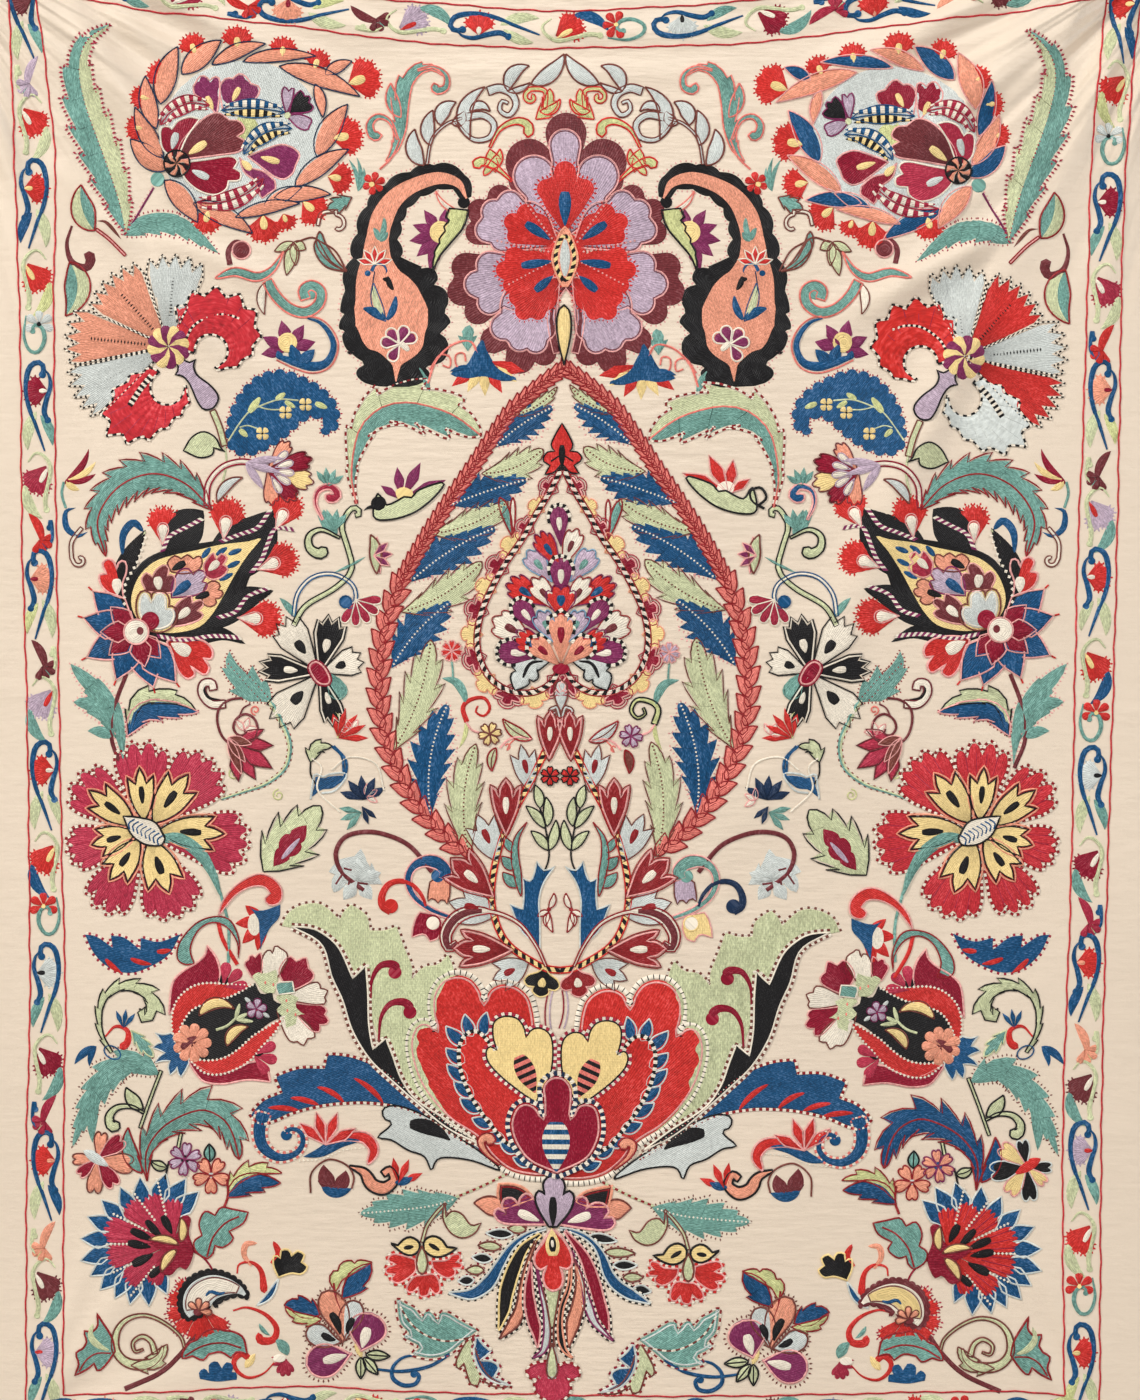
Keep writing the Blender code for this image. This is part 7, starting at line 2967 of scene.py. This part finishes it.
def small_boteh(work, rim_thread="black", ring_thread="silver", body="ivory", petals="red"):
    """The small boteh in a nest of fringed petals."""
    heart = (202.0, 1306.0)
    for heading in (-168, -136, -104, -72, -40, 164, 132):
        petal(work, heart, heading, 37.0, 34.0, petals, "saw", level=0.2, picot="crimson", shoulder=0.2,
              teeth_depth=0.12,
              tooth_gap=6.0)
    spine = curve([(201, 1316), (196, 1306), (200, 1293), (212, 1285), (226, 1284), (240, 1288),
                   (249, 1296)], 50)
    share = np.linspace(0.0, 1.0, 50)
    swell = girth("drop", 1.0 - share, 0.72)
    half = 2.6 + 20.0 * swell
    around = scalloped(rim(spine, half * 0.85, half), 7.0, 1.6)
    fill(work, around, rim_thread, "around", 2.8, spacing=7.0)
    half = 1.0 + 15.5 * swell
    fill(work, rim(spine[3:48], half[3:48] * 0.85, half[3:48]), ring_thread, "around", 4.2, spacing=7.0)
    half = 0.4 + 11.5 * swell
    inside = rim(spine[6:42], half[6:42] * 0.85, half[6:42])
    fill(work, inside, body, "around", 5.4, spacing=7.0)
    line(work, inside, "brown", 1.0, closed=True, level=6.2)
    flower(work, (200, 1309), fan(4, 24.0, 150.0), 13.0, 40.0, ["peach"], tip="round", edge="brown",
           level=6.6, edge_width=1.0)
    disc(work, (199, 1310), 9.0, "maroon", level=8.4, across=11.0)
    stroke(work, curve([(204, 1298), (211, 1290), (220, 1292), (228, 1290)], 12), 5.0, "blue", "drop",
           level=6.8)


def corner_scroll(work, leaf_thread="sage", scroll="sage", ink="brown", blade="teal"):
    """The leaf, scroll and stalk in the lower corner."""
    cutwork(work, ([(116, 1350), (112, 1334), (98, 1312)], [(99, 1324), (93, 1331)],
                   [(85, 1330), (88, 1340), (84, 1347)],
                   [(77, 1352), (80, 1362), (76, 1374)], [(88, 1368), (95, 1362)],
                   [(99, 1370), (108, 1362), (116, 1350)]),
            blade, 60.0, 0.2, spacing=7.0, edge="dark_red", edge_width=1.8)
    stroke(work, curve([(112, 1350), (100, 1344), (92, 1334), (94, 1322)], 20), 9.0, leaf_thread, "leaf",
           level=1.6)
    line(work, curve([(112, 1352), (98, 1352), (88, 1358), (80, 1370)], 20), "dark_red", 1.4, level=2.0)
    path = curve([(186, 1347), (181, 1334), (165, 1321), (147, 1314), (130, 1317), (119, 1328), (116, 1345),
                  (122, 1357), (134, 1363),
                  (150, 1362), (160, 1355), (164, 1345)], 70)
    share = np.linspace(0.0, 1.0, 70)
    half = np.interp(share, [0.0, 0.35, 0.6, 0.82, 1.0], [1.2, 1.6, 3.6, 5.0, 1.2])
    strip(work, path, half, half, scroll)
    line(work, rim(path, half, half), ink, 1.5, closed=True)
    toothed(work, [(132, 1364), (148, 1364), (160, 1357), (168, 1343)], 18.0, scroll, 3, 0.5, "leaf", 0.5,
            edge=ink, sides="right",
            balance=1.0, level=0.4)
    stroke(work, curve([(156, 1352), (152, 1340), (143, 1335), (134, 1341), (136, 1350), (144, 1348)], 30),
           5.5, scroll, "tendril", edge=ink,
           level=1.0)
    stem(work, [(197, 1332), (182, 1352), (161, 1371), (126, 1387)], 5.5, "maroon")
    cutwork(work, ([(183, 1356), (188, 1343), (198, 1338)], [(206, 1330), (216, 1327), (226, 1329)],
                   [(234, 1330), (244, 1336), (248, 1352)],
                   [(238, 1350), (232, 1356)], [(222, 1350), (210, 1352)], [(204, 1358), (194, 1354)]),
            blade, 70.0, 0.3, spacing=7.0, edge="dark_red", edge_width=1.7)
    line(work, curve([(186, 1354), (204, 1344), (224, 1341), (242, 1346)], 20), "dark_red", 1.6, level=2.0)
    cutwork(work, ([(201, 1377), (200, 1370), (206, 1366), (210, 1371)],
                   [(210, 1362), (218, 1359), (223, 1366)], [(227, 1360), (235, 1363), (233, 1370)],
                   [(238, 1371), (238, 1378)], [(218, 1380), (201, 1377)]), "blue", 90.0, 0.4, spacing=7.0)
    stroke(work, curve([(275, 1361), (264, 1372), (249, 1376), (238, 1369), (235, 1359), (243, 1352),
                        (252, 1359)], 34), 7.5, "red", "hook")
    leaf(work, (246, 1366), (256, 1352), 9.0, "gold", level=0.6)
    petal(work, (285, 1356), 176.0, 20.0, 84.0, "crimson", "four", level=0.4, shoulder=0.3)
    for way in (-82, -112):
        petal(work, (288, 1358), way, 17.0, 34.0, "crimson", "point", level=0.4)
    disc(work, (280, 1357), 9.0, "ivory", level=2.4, across=14.0)
    leaf(work, (288, 1354), (276, 1338), 12.0, "teal", 0.1, level=0.8)
    stroke(work, curve([(234, 1309), (248, 1306), (266, 1313), (277, 1326), (274, 1338), (262, 1339),
                        (259, 1331)], 34), 9.5, "red", "hook")
    leaf(work, (260, 1322), (271, 1334), 5.0, "teal", 0.1)
    stroke(work, curve([(238, 1272), (240, 1263), (252, 1261), (262, 1270), (265, 1292)], 24), 8.5, "red",
           "hook")
    stroke(work, curve([(252, 1264), (245, 1254), (247, 1243), (258, 1242)], 14), 9.0, "peach", "horn")
    stroke(work, curve([(272, 1262), (279, 1252), (274, 1240)], 12), 9.0, "red", "horn")
    cutwork(work, ([(279, 1276), (274, 1264), (275, 1254), (281, 1257)],
                   [(282, 1249), (290, 1249), (292, 1255)], [(298, 1250), (305, 1254), (302, 1261)],
                   [(308, 1266), (302, 1273), (292, 1272), (279, 1276)]), "black", (278, 1278), 0.6,
                   spacing=7.0, edge="gold", edge_width=1.6)
    stroke(work, curve([(258, 1304), (270, 1294), (279, 1278)], 16), 6.0, "blue", "leaf", edge="silver")


def veined_leaf(work, body="teal", vein="dark_red", picot="brown"):
    """The lobed leaf under the hanging fans, with its vein of white stitches."""
    outline = cutwork(work, ([(397, 1298), (406, 1304), (414, 1308), (422, 1318)],
                             [(425, 1312), (431, 1312), (438, 1321)],
                             [(440, 1313), (448, 1313), (461, 1321), (478, 1330)],
                             [(463, 1342), (448, 1354), (430, 1358), (411, 1354)],
                             [(420, 1347), (410, 1341), (402, 1335)],
                             [(410, 1334), (400, 1322), (397, 1300)]),
                      body, 120.0, 0.2, spacing=7.0, inner="silver")
    dots(work, outline, (vein, "ivory"), 4.0, 2.0, out=-1.6, closed=True, level=1.2)
    dots(work, curve([(400, 1306), (410, 1322), (424, 1334), (445, 1341), (468, 1338)], 30),
         ("ivory", picot), 4.4, 2.0, level=2.0)


def ringed_leaf(work, first="maroon", second="blue", squiggle="peach", star=("red", "blue")):
    """The small leaf in its ring, the squiggle and the spiked flower."""
    leaf(work, (334, 1190), (324, 1164), 18.0, first, -0.1)
    leaf(work, (336, 1190), (346, 1170), 16.0, first, 0.1)
    leaf(work, (338, 1188), (318, 1180), 12.0, first)
    leaf(work, (322, 1186), (352, 1188), 13.0, second, 0.15, level=0.6)
    line(work, curve([(311, 1192), (312, 1172), (328, 1159), (346, 1164), (354, 1176), (352, 1188)], 26),
         "brown", 1.6)
    path = curve([(350, 1166), (364, 1172), (372, 1184), (384, 1188), (394, 1180), (390, 1170),
                  (383, 1174)], 40)
    share = np.linspace(0.0, 1.0, 40)
    half = np.interp(share, [0.0, 0.3, 0.55, 0.8, 1.0], [1.0, 6.0, 6.5, 4.0, 3.5])
    strip(work, path, half, half, squiggle)
    line(work, rim(path, half, half), "black", 2.0, closed=True)
    flower(work, (398, 1184), (-10.0, 24.0, 66.0), 28.0, 30.0, [star[0]], tip="point", level=0.5)
    leaf(work, (394, 1182), (414, 1176), 9.0, star[1], 0.1, level=1.0)


def long_leaf(work, body="teal"):
    """The leaf on its dotted stalk beneath the palmette."""
    toothed(work, [(458, 1198), (430, 1206), (396, 1210), (360, 1213)], 46.0, body, 6, 0.4, "leaf", 0.45,
            picot="brown", vein=("ivory",),
            lean=1.0)
    dots(work, curve([(456, 1197), (482, 1186), (508, 1173)], 20), ("sage", "dark_red"), 3.4, 2.4)


def fan_bell(work, fans="red", drops="gold", stalk="sage"):
    """The hanging flower with three fans."""
    stem(work, [(446, 1203), (437, 1212), (427, 1226), (422, 1242)], 3.0, stalk, edge="brown")
    cutwork(work, ([(445, 1202), (446, 1217)], [(452, 1211), (462, 1214), (471, 1225), (481, 1223)],
                   [(475, 1233), (463, 1238), (451, 1233), (443, 1219), (444, 1203)]), stalk, 60.0, 0.2,
                   spacing=7.0, edge="brown",
            edge_width=1.4)
    for arcs, seed in ((([(390, 1243), (398, 1245)],
                         [(404, 1239), (411, 1237), (419, 1242), (419, 1250), (412, 1255), (403, 1253),
                          (392, 1244)]),
                        ((403, 1248), (415, 1246))),
                       (([(424, 1250), (424, 1241), (432, 1236), (441, 1239), (447, 1247)], [(457, 1248)],
                         [(448, 1254), (438, 1257), (430, 1255), (424, 1250)]),
                         ((428, 1243), (441, 1251)))):
        cutwork(work, arcs, drops, 90.0, 1.2, spacing=7.0, edge="black", edge_width=2.0)
        leaf(work, *seed, 6.0, "black", level=2.8)
    for arcs, rows in (
        (([(415, 1259), (416, 1270), (408, 1278), (398, 1283), (391, 1279), (395, 1274)],
          [(387, 1273), (386, 1268), (396, 1264)],
          [(388, 1260), (392, 1254), (402, 1255), (415, 1259)]), (420, 1264)),
        (([(432, 1261), (447, 1260), (452, 1255), (460, 1254), (460, 1259), (456, 1262)],
          [(462, 1263), (461, 1268), (453, 1268)],
          [(456, 1273), (449, 1278), (440, 1275), (433, 1268), (432, 1261)]), (426, 1262)),
        (([(424, 1275), (434, 1274), (439, 1281), (440, 1291), (435, 1294), (430, 1288)],
          [(428, 1295), (420, 1296), (418, 1287)],
          [(413, 1292), (407, 1291), (408, 1284), (415, 1276), (424, 1275)]), (424, 1266)),
    ):
        cutwork(work, arcs, fans, rows, 0.4, spacing=7.0, edge="pink", edge_width=1.6, bars=(fans, "ivory"))
    stroke(work, bow((422, 1246), (422, 1274), 0.0, 12), 11.0, stalk, "drop", 0.6, edge="brown", level=1.8)


def bicolour_leaf(work, first="lime", second="blue", edge="dark_red"):
    """The small leaf in two colours above the plum cluster, and the one beside it."""
    toothed(work, [(336, 1290), (340, 1278), (352, 1270), (372, 1262)], 24.0, first, 3, 0.4, "leaf", 0.4,
            edge=edge, sides="left", balance=0.3,
            round_lobes=True)
    toothed(work, [(342, 1298), (352, 1288), (362, 1276), (371, 1263)], 24.0, second, 2, 0.4, "leaf", 0.5,
            edge=edge, sides="right",
            balance=1.0, level=0.4)
    line(work, curve([(334, 1282), (336, 1296), (342, 1312)], 8), edge, 2.0)
    toothed(work, [(320, 1314), (306, 1306), (294, 1302), (285, 1304)], 22.0, second, 3, 0.4, "leaf", 0.4,
            edge=edge, sides="right", balance=1.0)
    toothed(work, [(322, 1318), (306, 1316), (294, 1312), (286, 1306)], 20.0, first, 3, 0.4, "leaf", 0.4,
            edge=edge, sides="left", balance=0.3,
            level=0.4)


def plum_cluster(work, plum="plum", first="peach", second="silver"):
    """The cluster of rimmed petals at the foot."""
    for base, tip, width, outer, drop, bend in (
        ((343, 1342), (322, 1292), 27.0, first, "black", 0.10),
        ((346, 1340), (360, 1302), 23.0, second, "black", -0.10),
        ((342, 1341), (309, 1326), 22.0, second, "black", -0.10),
    ):
        outline = leaf(work, base, tip, width, outer, bend, kind="drop", peak=0.66, edge="brown", level=0.8,
                       count=20)
        dots(work, outline, "brown", 4.2, 2.0, out=-2.4, closed=True, level=0.4, reach=3.6)
        near = np.array(base) + (np.array(tip) - np.array(base)) * 0.12
        far = np.array(base) + (np.array(tip) - np.array(base)) * 0.62
        leaf(work, near, far, 0.42 * width, drop, bend, kind="drop", peak=0.62, level=2.4)
    for base, tip, width in (((361, 1352), (372, 1312), 40.0), ((353, 1353), (306, 1364), 36.0)):
        outline = leaf(work, base, tip, width, plum, 0.0, kind="drop", peak=0.6, level=1.0, count=26)
        dots(work, outline, "brown", 4.4, 2.2, out=-2.6, closed=True, level=0.4, reach=4.2)
        line(work, outline + normals(outline, True) * 1.4, "pink", 1.6, closed=True, level=2.0)
        near = np.array(base) + (np.array(tip) - np.array(base)) * 0.08
        far = np.array(base) + (np.array(tip) - np.array(base)) * 0.66
        leaf(work, near, far, 0.34 * width, "ivory", kind="drop", peak=0.62, level=2.6)
    for base, tip in (((361, 1357), (361, 1378)), ((364, 1357), (378, 1374)), ((366, 1354), (390, 1356))):
        leaf(work, base, tip, 10.0, "sage", edge="black", vein="black", level=0.8)
    leaf(work, (356, 1340), (362, 1358), 8.0, "gold", level=0.6)


def blue_coil(work, thread="blue"):
    """The coiled tendril."""
    for path, width in (([(414, 1355), (402, 1358), (393, 1367), (393, 1378), (403, 1385), (415, 1384),
                          (419, 1376), (413, 1371)], 5.0),
                        ([(362, 1366), (385, 1370), (405, 1371), (430, 1366), (450, 1354)], 4.2)):
        path = curve(path, 40)
        half = 0.5 * width * np.interp(np.linspace(0.0, 1.0, 40), [0.0, 0.5, 1.0], [0.5, 1.0, 0.9])
        strip(work, path, half, half, thread, level=0.6)
    disc(work, (414, 1374), 8.0, thread, level=0.8)


def foot_leaf(work):
    """The leaf in two threads at the foot of the middle."""
    cutwork(work, ([(469, 1337), (461, 1350), (456, 1362), (458, 1369), (464, 1363)],
                   [(467, 1374), (471, 1384), (478, 1385), (480, 1378)],
                   [(494, 1386), (512, 1386)], [(494, 1380), (482, 1366), (472, 1340)]), "sage", 30.0, 0.2,
                   spacing=7.0, edge="brown",
            edge_width=1.5, bars=("dark_red", "ivory"))
    cutwork(work, ([(477, 1336), (483, 1344), (491, 1351)], [(486, 1356), (480, 1360)],
                   [(492, 1361), (499, 1367), (494, 1377)],
                   [(502, 1381), (510, 1385)], [(492, 1381), (480, 1370), (474, 1354), (476, 1338)]),
                   "blue", 30.0, 0.6, spacing=7.0,
            edge="silver", edge_width=2.0, bars=("wine", "ivory"))


FOUNTAIN_TEETH = (
    ((486, 1233), (513, 1234), "black"), ((478, 1245), (501, 1247), "sage"),
    ((472, 1257), (492, 1259), "black"),
    ((466, 1270), (484, 1270), "sage"), ((458, 1281), (474, 1280), "black"),
    ((508, 1228), (526, 1229), "sage"),
    ((617, 1240), (589, 1235), "black"), ((635, 1252), (604, 1251), "sage"),
    ((637, 1264), (613, 1264), "black"),
    ((643, 1276), (623, 1276), "sage"), ((651, 1290), (633, 1287), "black"),
)
FOUNTAIN_LEAVES = (
    # Path, widths along it, thread and outline, from the outside in.
    (((546, 1228), (528, 1234), (512, 1246), (500, 1264), (489, 1282), (472, 1294), (449, 1293)),
     (2, 4, 6, 9, 13, 10, 1), "blue", "silver"),
    (((560, 1228), (575, 1231), (590, 1239), (601, 1253), (609, 1274), (622, 1288), (650, 1302)),
     (2, 4, 5, 9, 11, 11, 1), "blue", "silver"),
    (((540, 1234), (524, 1248), (514, 1268), (507, 1290), (504, 1310), (499, 1330)), (3, 9, 13, 14, 11, 1),
     "black", "gold"),
    (((565, 1230), (583, 1254), (592, 1276), (599, 1300), (605, 1322), (609, 1338)), (2, 8, 12, 12, 11, 1),
     "wine", "pink"),
    (((536, 1240), (528, 1262), (523, 1284), (521, 1305), (514, 1322), (500, 1338)), (2, 3, 5, 9, 11, 1),
     "peach", "brown"),
    (((572, 1250), (582, 1280), (588, 1304), (594, 1320), (604, 1331), (613, 1339)), (1, 3, 5, 8, 5, 1),
     "silver", "plum"),
    (((571, 1254), (579, 1276), (579, 1300), (573, 1322), (568, 1347)), (1, 6, 12, 13, 1), "peach",
     "brown"),
    (((531, 1262), (529, 1288), (531, 1310), (536, 1330), (538, 1347)), (1, 7, 11, 11, 1), "wine", "pink"),
    (((536, 1262), (541, 1290), (546, 1312), (547, 1334), (543, 1350), (533, 1357)), (1, 2, 4, 6, 7, 1),
     "silver", "plum"),
    (((571, 1262), (569, 1286), (562, 1306), (560, 1326), (563, 1346), (572, 1357)), (2, 3, 4, 4, 6, 1),
     "black", "peach"),
)


def fountain_flower():
    """The hanging flower on the middle line, with its long curved leaves."""
    work = Needlework("fountain_flower")
    for tip, root, thread in FOUNTAIN_TEETH:
        outline = leaf(work, root, tip, 9.0, thread, 0.0, peak=0.45,
                       edge="silver" if thread == "black" else "brown", level=0.2)
        dots(work, outline, ("wine", "ivory"), 3.2, 1.6, out=-1.8, closed=True, level=0.2)
    for index, (path, widths, thread, edge) in enumerate(FOUNTAIN_LEAVES):
        spine = curve(path, 40)
        half = 0.5 * np.interp(np.linspace(0.0, 1.0, 40), np.linspace(0.0, 1.0, len(widths)), widths)
        level = 0.4 + 0.35 * index
        strip(work, spine, half, half, thread, level=level)
        outline = rim(spine, half, half)
        line(work, outline, edge, 1.7, closed=True, level=level + 0.6)
        dots(work, outline, ("black", "ivory"), 3.2, 1.9, out=-2.0, closed=True, level=level + 0.3)
    leaf(work, (506, 1214), (474, 1203), 19.0, "peach", 0.1, edge="brown", level=0.4)
    leaf(work, (604, 1214), (631, 1207), 20.0, "peach", -0.1, edge="brown", level=0.4)
    for arcs in (([(502, 1208), (498, 1196), (499, 1184)], [(512, 1184), (524, 1188), (534, 1198)],
                  [(518, 1204)]),
                 ([(576, 1201), (584, 1192), (597, 1188), (612, 1185)], [(611, 1194), (608, 1206)],
                  [(590, 1206)])):
        cutwork(work, arcs, "black", 80.0, 0.6, spacing=7.0, edge="peach", edge_width=2.4, inner="dark_red")
    for arcs, drop in (
        (([(546, 1224), (540, 1208), (533, 1197), (526, 1193), (520, 1198), (519, 1205)],
          [(513, 1198), (504, 1199), (502, 1207), (505, 1212)],
          [(498, 1208), (494, 1213), (499, 1221), (512, 1224), (546, 1224)]), ((541, 1221), (517, 1211))),
        (([(560, 1224), (567, 1206), (575, 1198), (584, 1196), (588, 1202), (586, 1208)],
          [(594, 1202), (604, 1203), (609, 1210), (604, 1217)],
          [(612, 1216), (615, 1223), (607, 1229), (588, 1228), (560, 1224)]), ((566, 1222), (592, 1213))),
    ):
        cutwork(work, arcs, "plum", (553, 1224), 1.4, spacing=7.0, edge="pink", edge_width=2.0)
        leaf(work, *drop, 12.0, "ivory", kind="drop", peak=0.66, level=3.0)
    cutwork(work, ([(549, 1226), (540, 1212), (535, 1198), (539, 1190), (545, 1194)],
                   [(543, 1184), (547, 1177), (554, 1175), (562, 1178), (565, 1186), (563, 1194)],
                   [(569, 1190), (574, 1196), (570, 1210), (557, 1226)], [(549, 1226)]), "lavender",
                   (553, 1226), 3.0, spacing=7.0, edge="black",
            edge_width=2.0)
    leaf(work, (553, 1228), (553, 1194), 11.0, "black", kind="drop", peak=0.6, level=4.6)
    cutwork(work, ([(547, 1362), (539, 1363), (530, 1367), (528, 1373), (535, 1377), (541, 1375)],
                   [(536, 1383), (538, 1392), (546, 1397), (553, 1399)],
                   [(560, 1398), (568, 1392), (569, 1383), (565, 1375)],
                   [(573, 1377), (579, 1372), (574, 1365), (566, 1363), (560, 1366)],
                   [(547, 1362)]), "rose", (552, 1356), 3.4, spacing=7.0, edge="crimson", edge_width=1.6,
                   bars=("dark_red", "ivory"))
    half = np.linspace(9.0, 1.2, 24)
    strip(work, curve([(552, 1284), (552, 1300), (552, 1326)], 24), half, half, "sage", level=4.2)
    for side in (-1.0, 1.0):
        line(work, curve([(552 + 9 * side, 1286), (552 + 6 * side, 1302), (552 + 1.5 * side, 1328),
                          (552 + 2.2 * side, 1346)], 24), "brown", 1.5,
             level=5.0)
    leaf(work, (552, 1338), (552, 1381), 15.0, "silver", kind="drop", peak=0.74, level=4.4)
    leaf(work, (552, 1342), (552, 1378), 11.0, "sage", kind="drop", peak=0.74, edge="brown", level=5.4)
    cutwork(work, ([(552, 1229), (543, 1242), (535, 1254), (535, 1264), (541, 1269), (547, 1265)],
                   [(543, 1276), (546, 1286), (553, 1290), (561, 1286), (563, 1276), (560, 1266)],
                   [(567, 1268), (572, 1263), (571, 1252), (563, 1238), (553, 1229)]), "red", (552, 1228),
                   6.2, spacing=7.0, edge="pink",
            edge_width=2.0)
    leaf(work, (552, 1227), (553, 1257), 19.0, "gold", kind="drop", peak=0.6, level=7.8)
    leaf(work, (552, 1233), (553, 1252), 10.0, "black", kind="drop", peak=0.55, level=9.2)
    leaf(work, (552, 1237), (553, 1249), 4.0, "ivory", level=10.4)
    lay(work)


# Small motifs between the great ones.


def hanging_bell(work, petals=("red", "gold"), cap="blue", scroll="coral"):
    """The bell flower beneath the crown, with its thin coiled stalks."""
    base = np.array((484.0, 362.0))
    for heading, length, thread in ((-128, 42, petals[0]), (-152, 36, petals[1]), (178, 36, petals[1]),
                                    (150, 38, petals[0]),
                                    (122, 40, petals[1]), (104, 46, petals[0])):
        petal(work, base, heading, length, 32.0, thread, "point", level=0.3 + 0.2 * (heading % 3),
              shoulder=0.4)
    fill(work, curve([(482, 340), (488, 352), (498, 368), (518, 380), (500, 382), (484, 378), (466, 380),
                      (450, 374), (466, 366)], 40,
                     closed=True), cap, 0.0, 1.4)
    leaf(work, (478, 372), (450, 372), 8.0, cap, 0.1, level=1.4)
    line(work, curve([(478, 354), (470, 342), (452, 346), (436, 362), (428, 384)], 26), scroll, 1.8)
    line(work, curve([(430, 370), (440, 356), (450, 358), (450, 368), (443, 366)], 20), scroll, 1.5)
    line(work, curve([(474, 370), (458, 368), (456, 356), (464, 354), (466, 362)], 20), scroll, 1.5)
    stroke(work, curve([(418, 366), (424, 376), (430, 392)], 10), 8.0, "teal", "leaf")
    toothed(work, [(468, 352), (468, 336), (470, 326)], 22.0, "teal", 2, 0.5, "leaf", 0.5)


def ball_hook(work, hook="maroon"):
    """The ball hook by the wreath."""
    stroke(work, curve([(231, 266), (229, 252), (236, 243), (246, 246)], 18), 6.0, hook, "stem")
    disc(work, (242, 251), 18.0, hook, edge="pink", level=0.6)


def outline_sprigs(work):
    """The thin-lined sprigs between the leaf vines."""
    for centre, size, turn in (((245, 730), 13.0, 20.0), ((352, 730), 12.0, -30.0),
                               ((367, 796), 12.0, 60.0)):
        for index in range(3):
            way = turn + 60.0 * index - 60.0
            leaf(work, centre, np.array(centre) + aim(way) * size, 0.45 * size, "ivory", edge="pink",
                 edge_width=0.9)


ground = ground_cloth()
border()
crown_palmette()
pair("silver_garlands", silver_scrolls)
pair("teal_scrolls", teal_scroll)
pair("great_botehs", paisley)
pair("corner_wreaths", wreath, (6, 6), leaf_threads=("blue", "peach"), leaf_edge="pink",
     petals=("crimson", "maroon", "rose"), side_petals="wine")
pair("corner_blades", corner_blades, (5, 8))
pair("great_carnations", great_carnation, (2, 11), petals=("red", "silver", "silver", "red"),
     curls=("red", "silver"), ribs=("crimson", "silver"))
pair("blue_botehs", blue_boteh, (2, 0))
pair("arched_leaves", arched_leaf, (2, 0))
pair("edge_lilies", edge_lily)
pair("small_lotuses", small_lotus)
oval_braid()
oval_leaves()
heart_medallion()
drop_medallion()
little_sprigs()
pair("side_palmettes", side_palmette, (7, -2))
pair("palmette_leaves", palmette_leaves, (7, 0))
pair("feather_tails", feather_tail)
pair("daisies", daisy)
pair("two_tone_arches", two_tone_arch, (0, 4))
pair("edge_lotuses", edge_lotus, (0, -6), petals="red", core="ivory", cup="sage", ball=False)
pair("arch_sprigs", arch_sprigs, hook="blue")
pair("rose_flowers", rose_flower, (-6, 0), outer="cherry")
pair("sickle_leaves", sickle_leaf, (4, 0))
pair("acanthus_curls", acanthus_curl, (8, 0))
pair("hook_flowers", hook_flower, (2, 14))
pair("pomegranates", pomegranate, (4, 4))
pair("leaf_flowers", leaf_flower, (0, 4))
pair("water_lilies", water_lily)
pair("silver_leaves", silver_leaf)
pair("blue_red_hooks", blue_red_hooks, (-6, 0), ball="teal", tulip="lavender", hook="navy",
     flower_thread="gold")
base_palmette()
pair("sage_acanthus", sage_acanthus, (-8, 6))
pair("feather_leaves", feather_leaf, (-8, 6))
pair("silver_tulips", silver_tulip, (-16, 8))
pair("ribbon_lotuses", ribbon_lotus, (0, 6))
pair("picot_leaves", picot_leaf, (0, 8))
pair("heart_flowers", heart_flower, (-6, 8), first="black", second="gold", core="red", edge="silver")
pair("teal_arches", teal_arch, (-6, 10), body="blue")
pair("posies", posy, (-6, 8), first="peach", first_core="blue", second="peach")
pair("base_carnations", base_carnation, (-8, 10), petals="red", calyx="wine")
pair("oak_leaves", oak_leaf, (-8, 12))
pair("small_botehs", small_boteh, (-22, 10), rim_thread="maroon", ring_thread="ivory", body="gold")
pair("corner_scrolls", corner_scroll, (-4, 4))
pair("veined_leaves", veined_leaf, (-14, 8))
pair("ringed_leaves", ringed_leaf, (-8, 4))
pair("long_leaves", long_leaf, (-20, 8))
pair("fan_bells", fan_bell, (-20, 6))
pair("bicolour_leaves", bicolour_leaf, (-16, 8))
pair("plum_clusters", plum_cluster, (-16, 6))
pair("blue_coils", blue_coil, (-16, 4))
pair("foot_leaves", foot_leaf, (-20, 6))
fountain_flower()
pair("hanging_bells", hanging_bell, (-4, 4), petals=("red", "gold"))
pair("ball_hooks", ball_hook, (-4, -2))
pair("scroll_leaves", scroll_leaves, (-4, 0))
pair("bell_flowers", bell_flower, (-4, 2))
pair("outline_sprigs", outline_sprigs, (-8, 4))
studio()
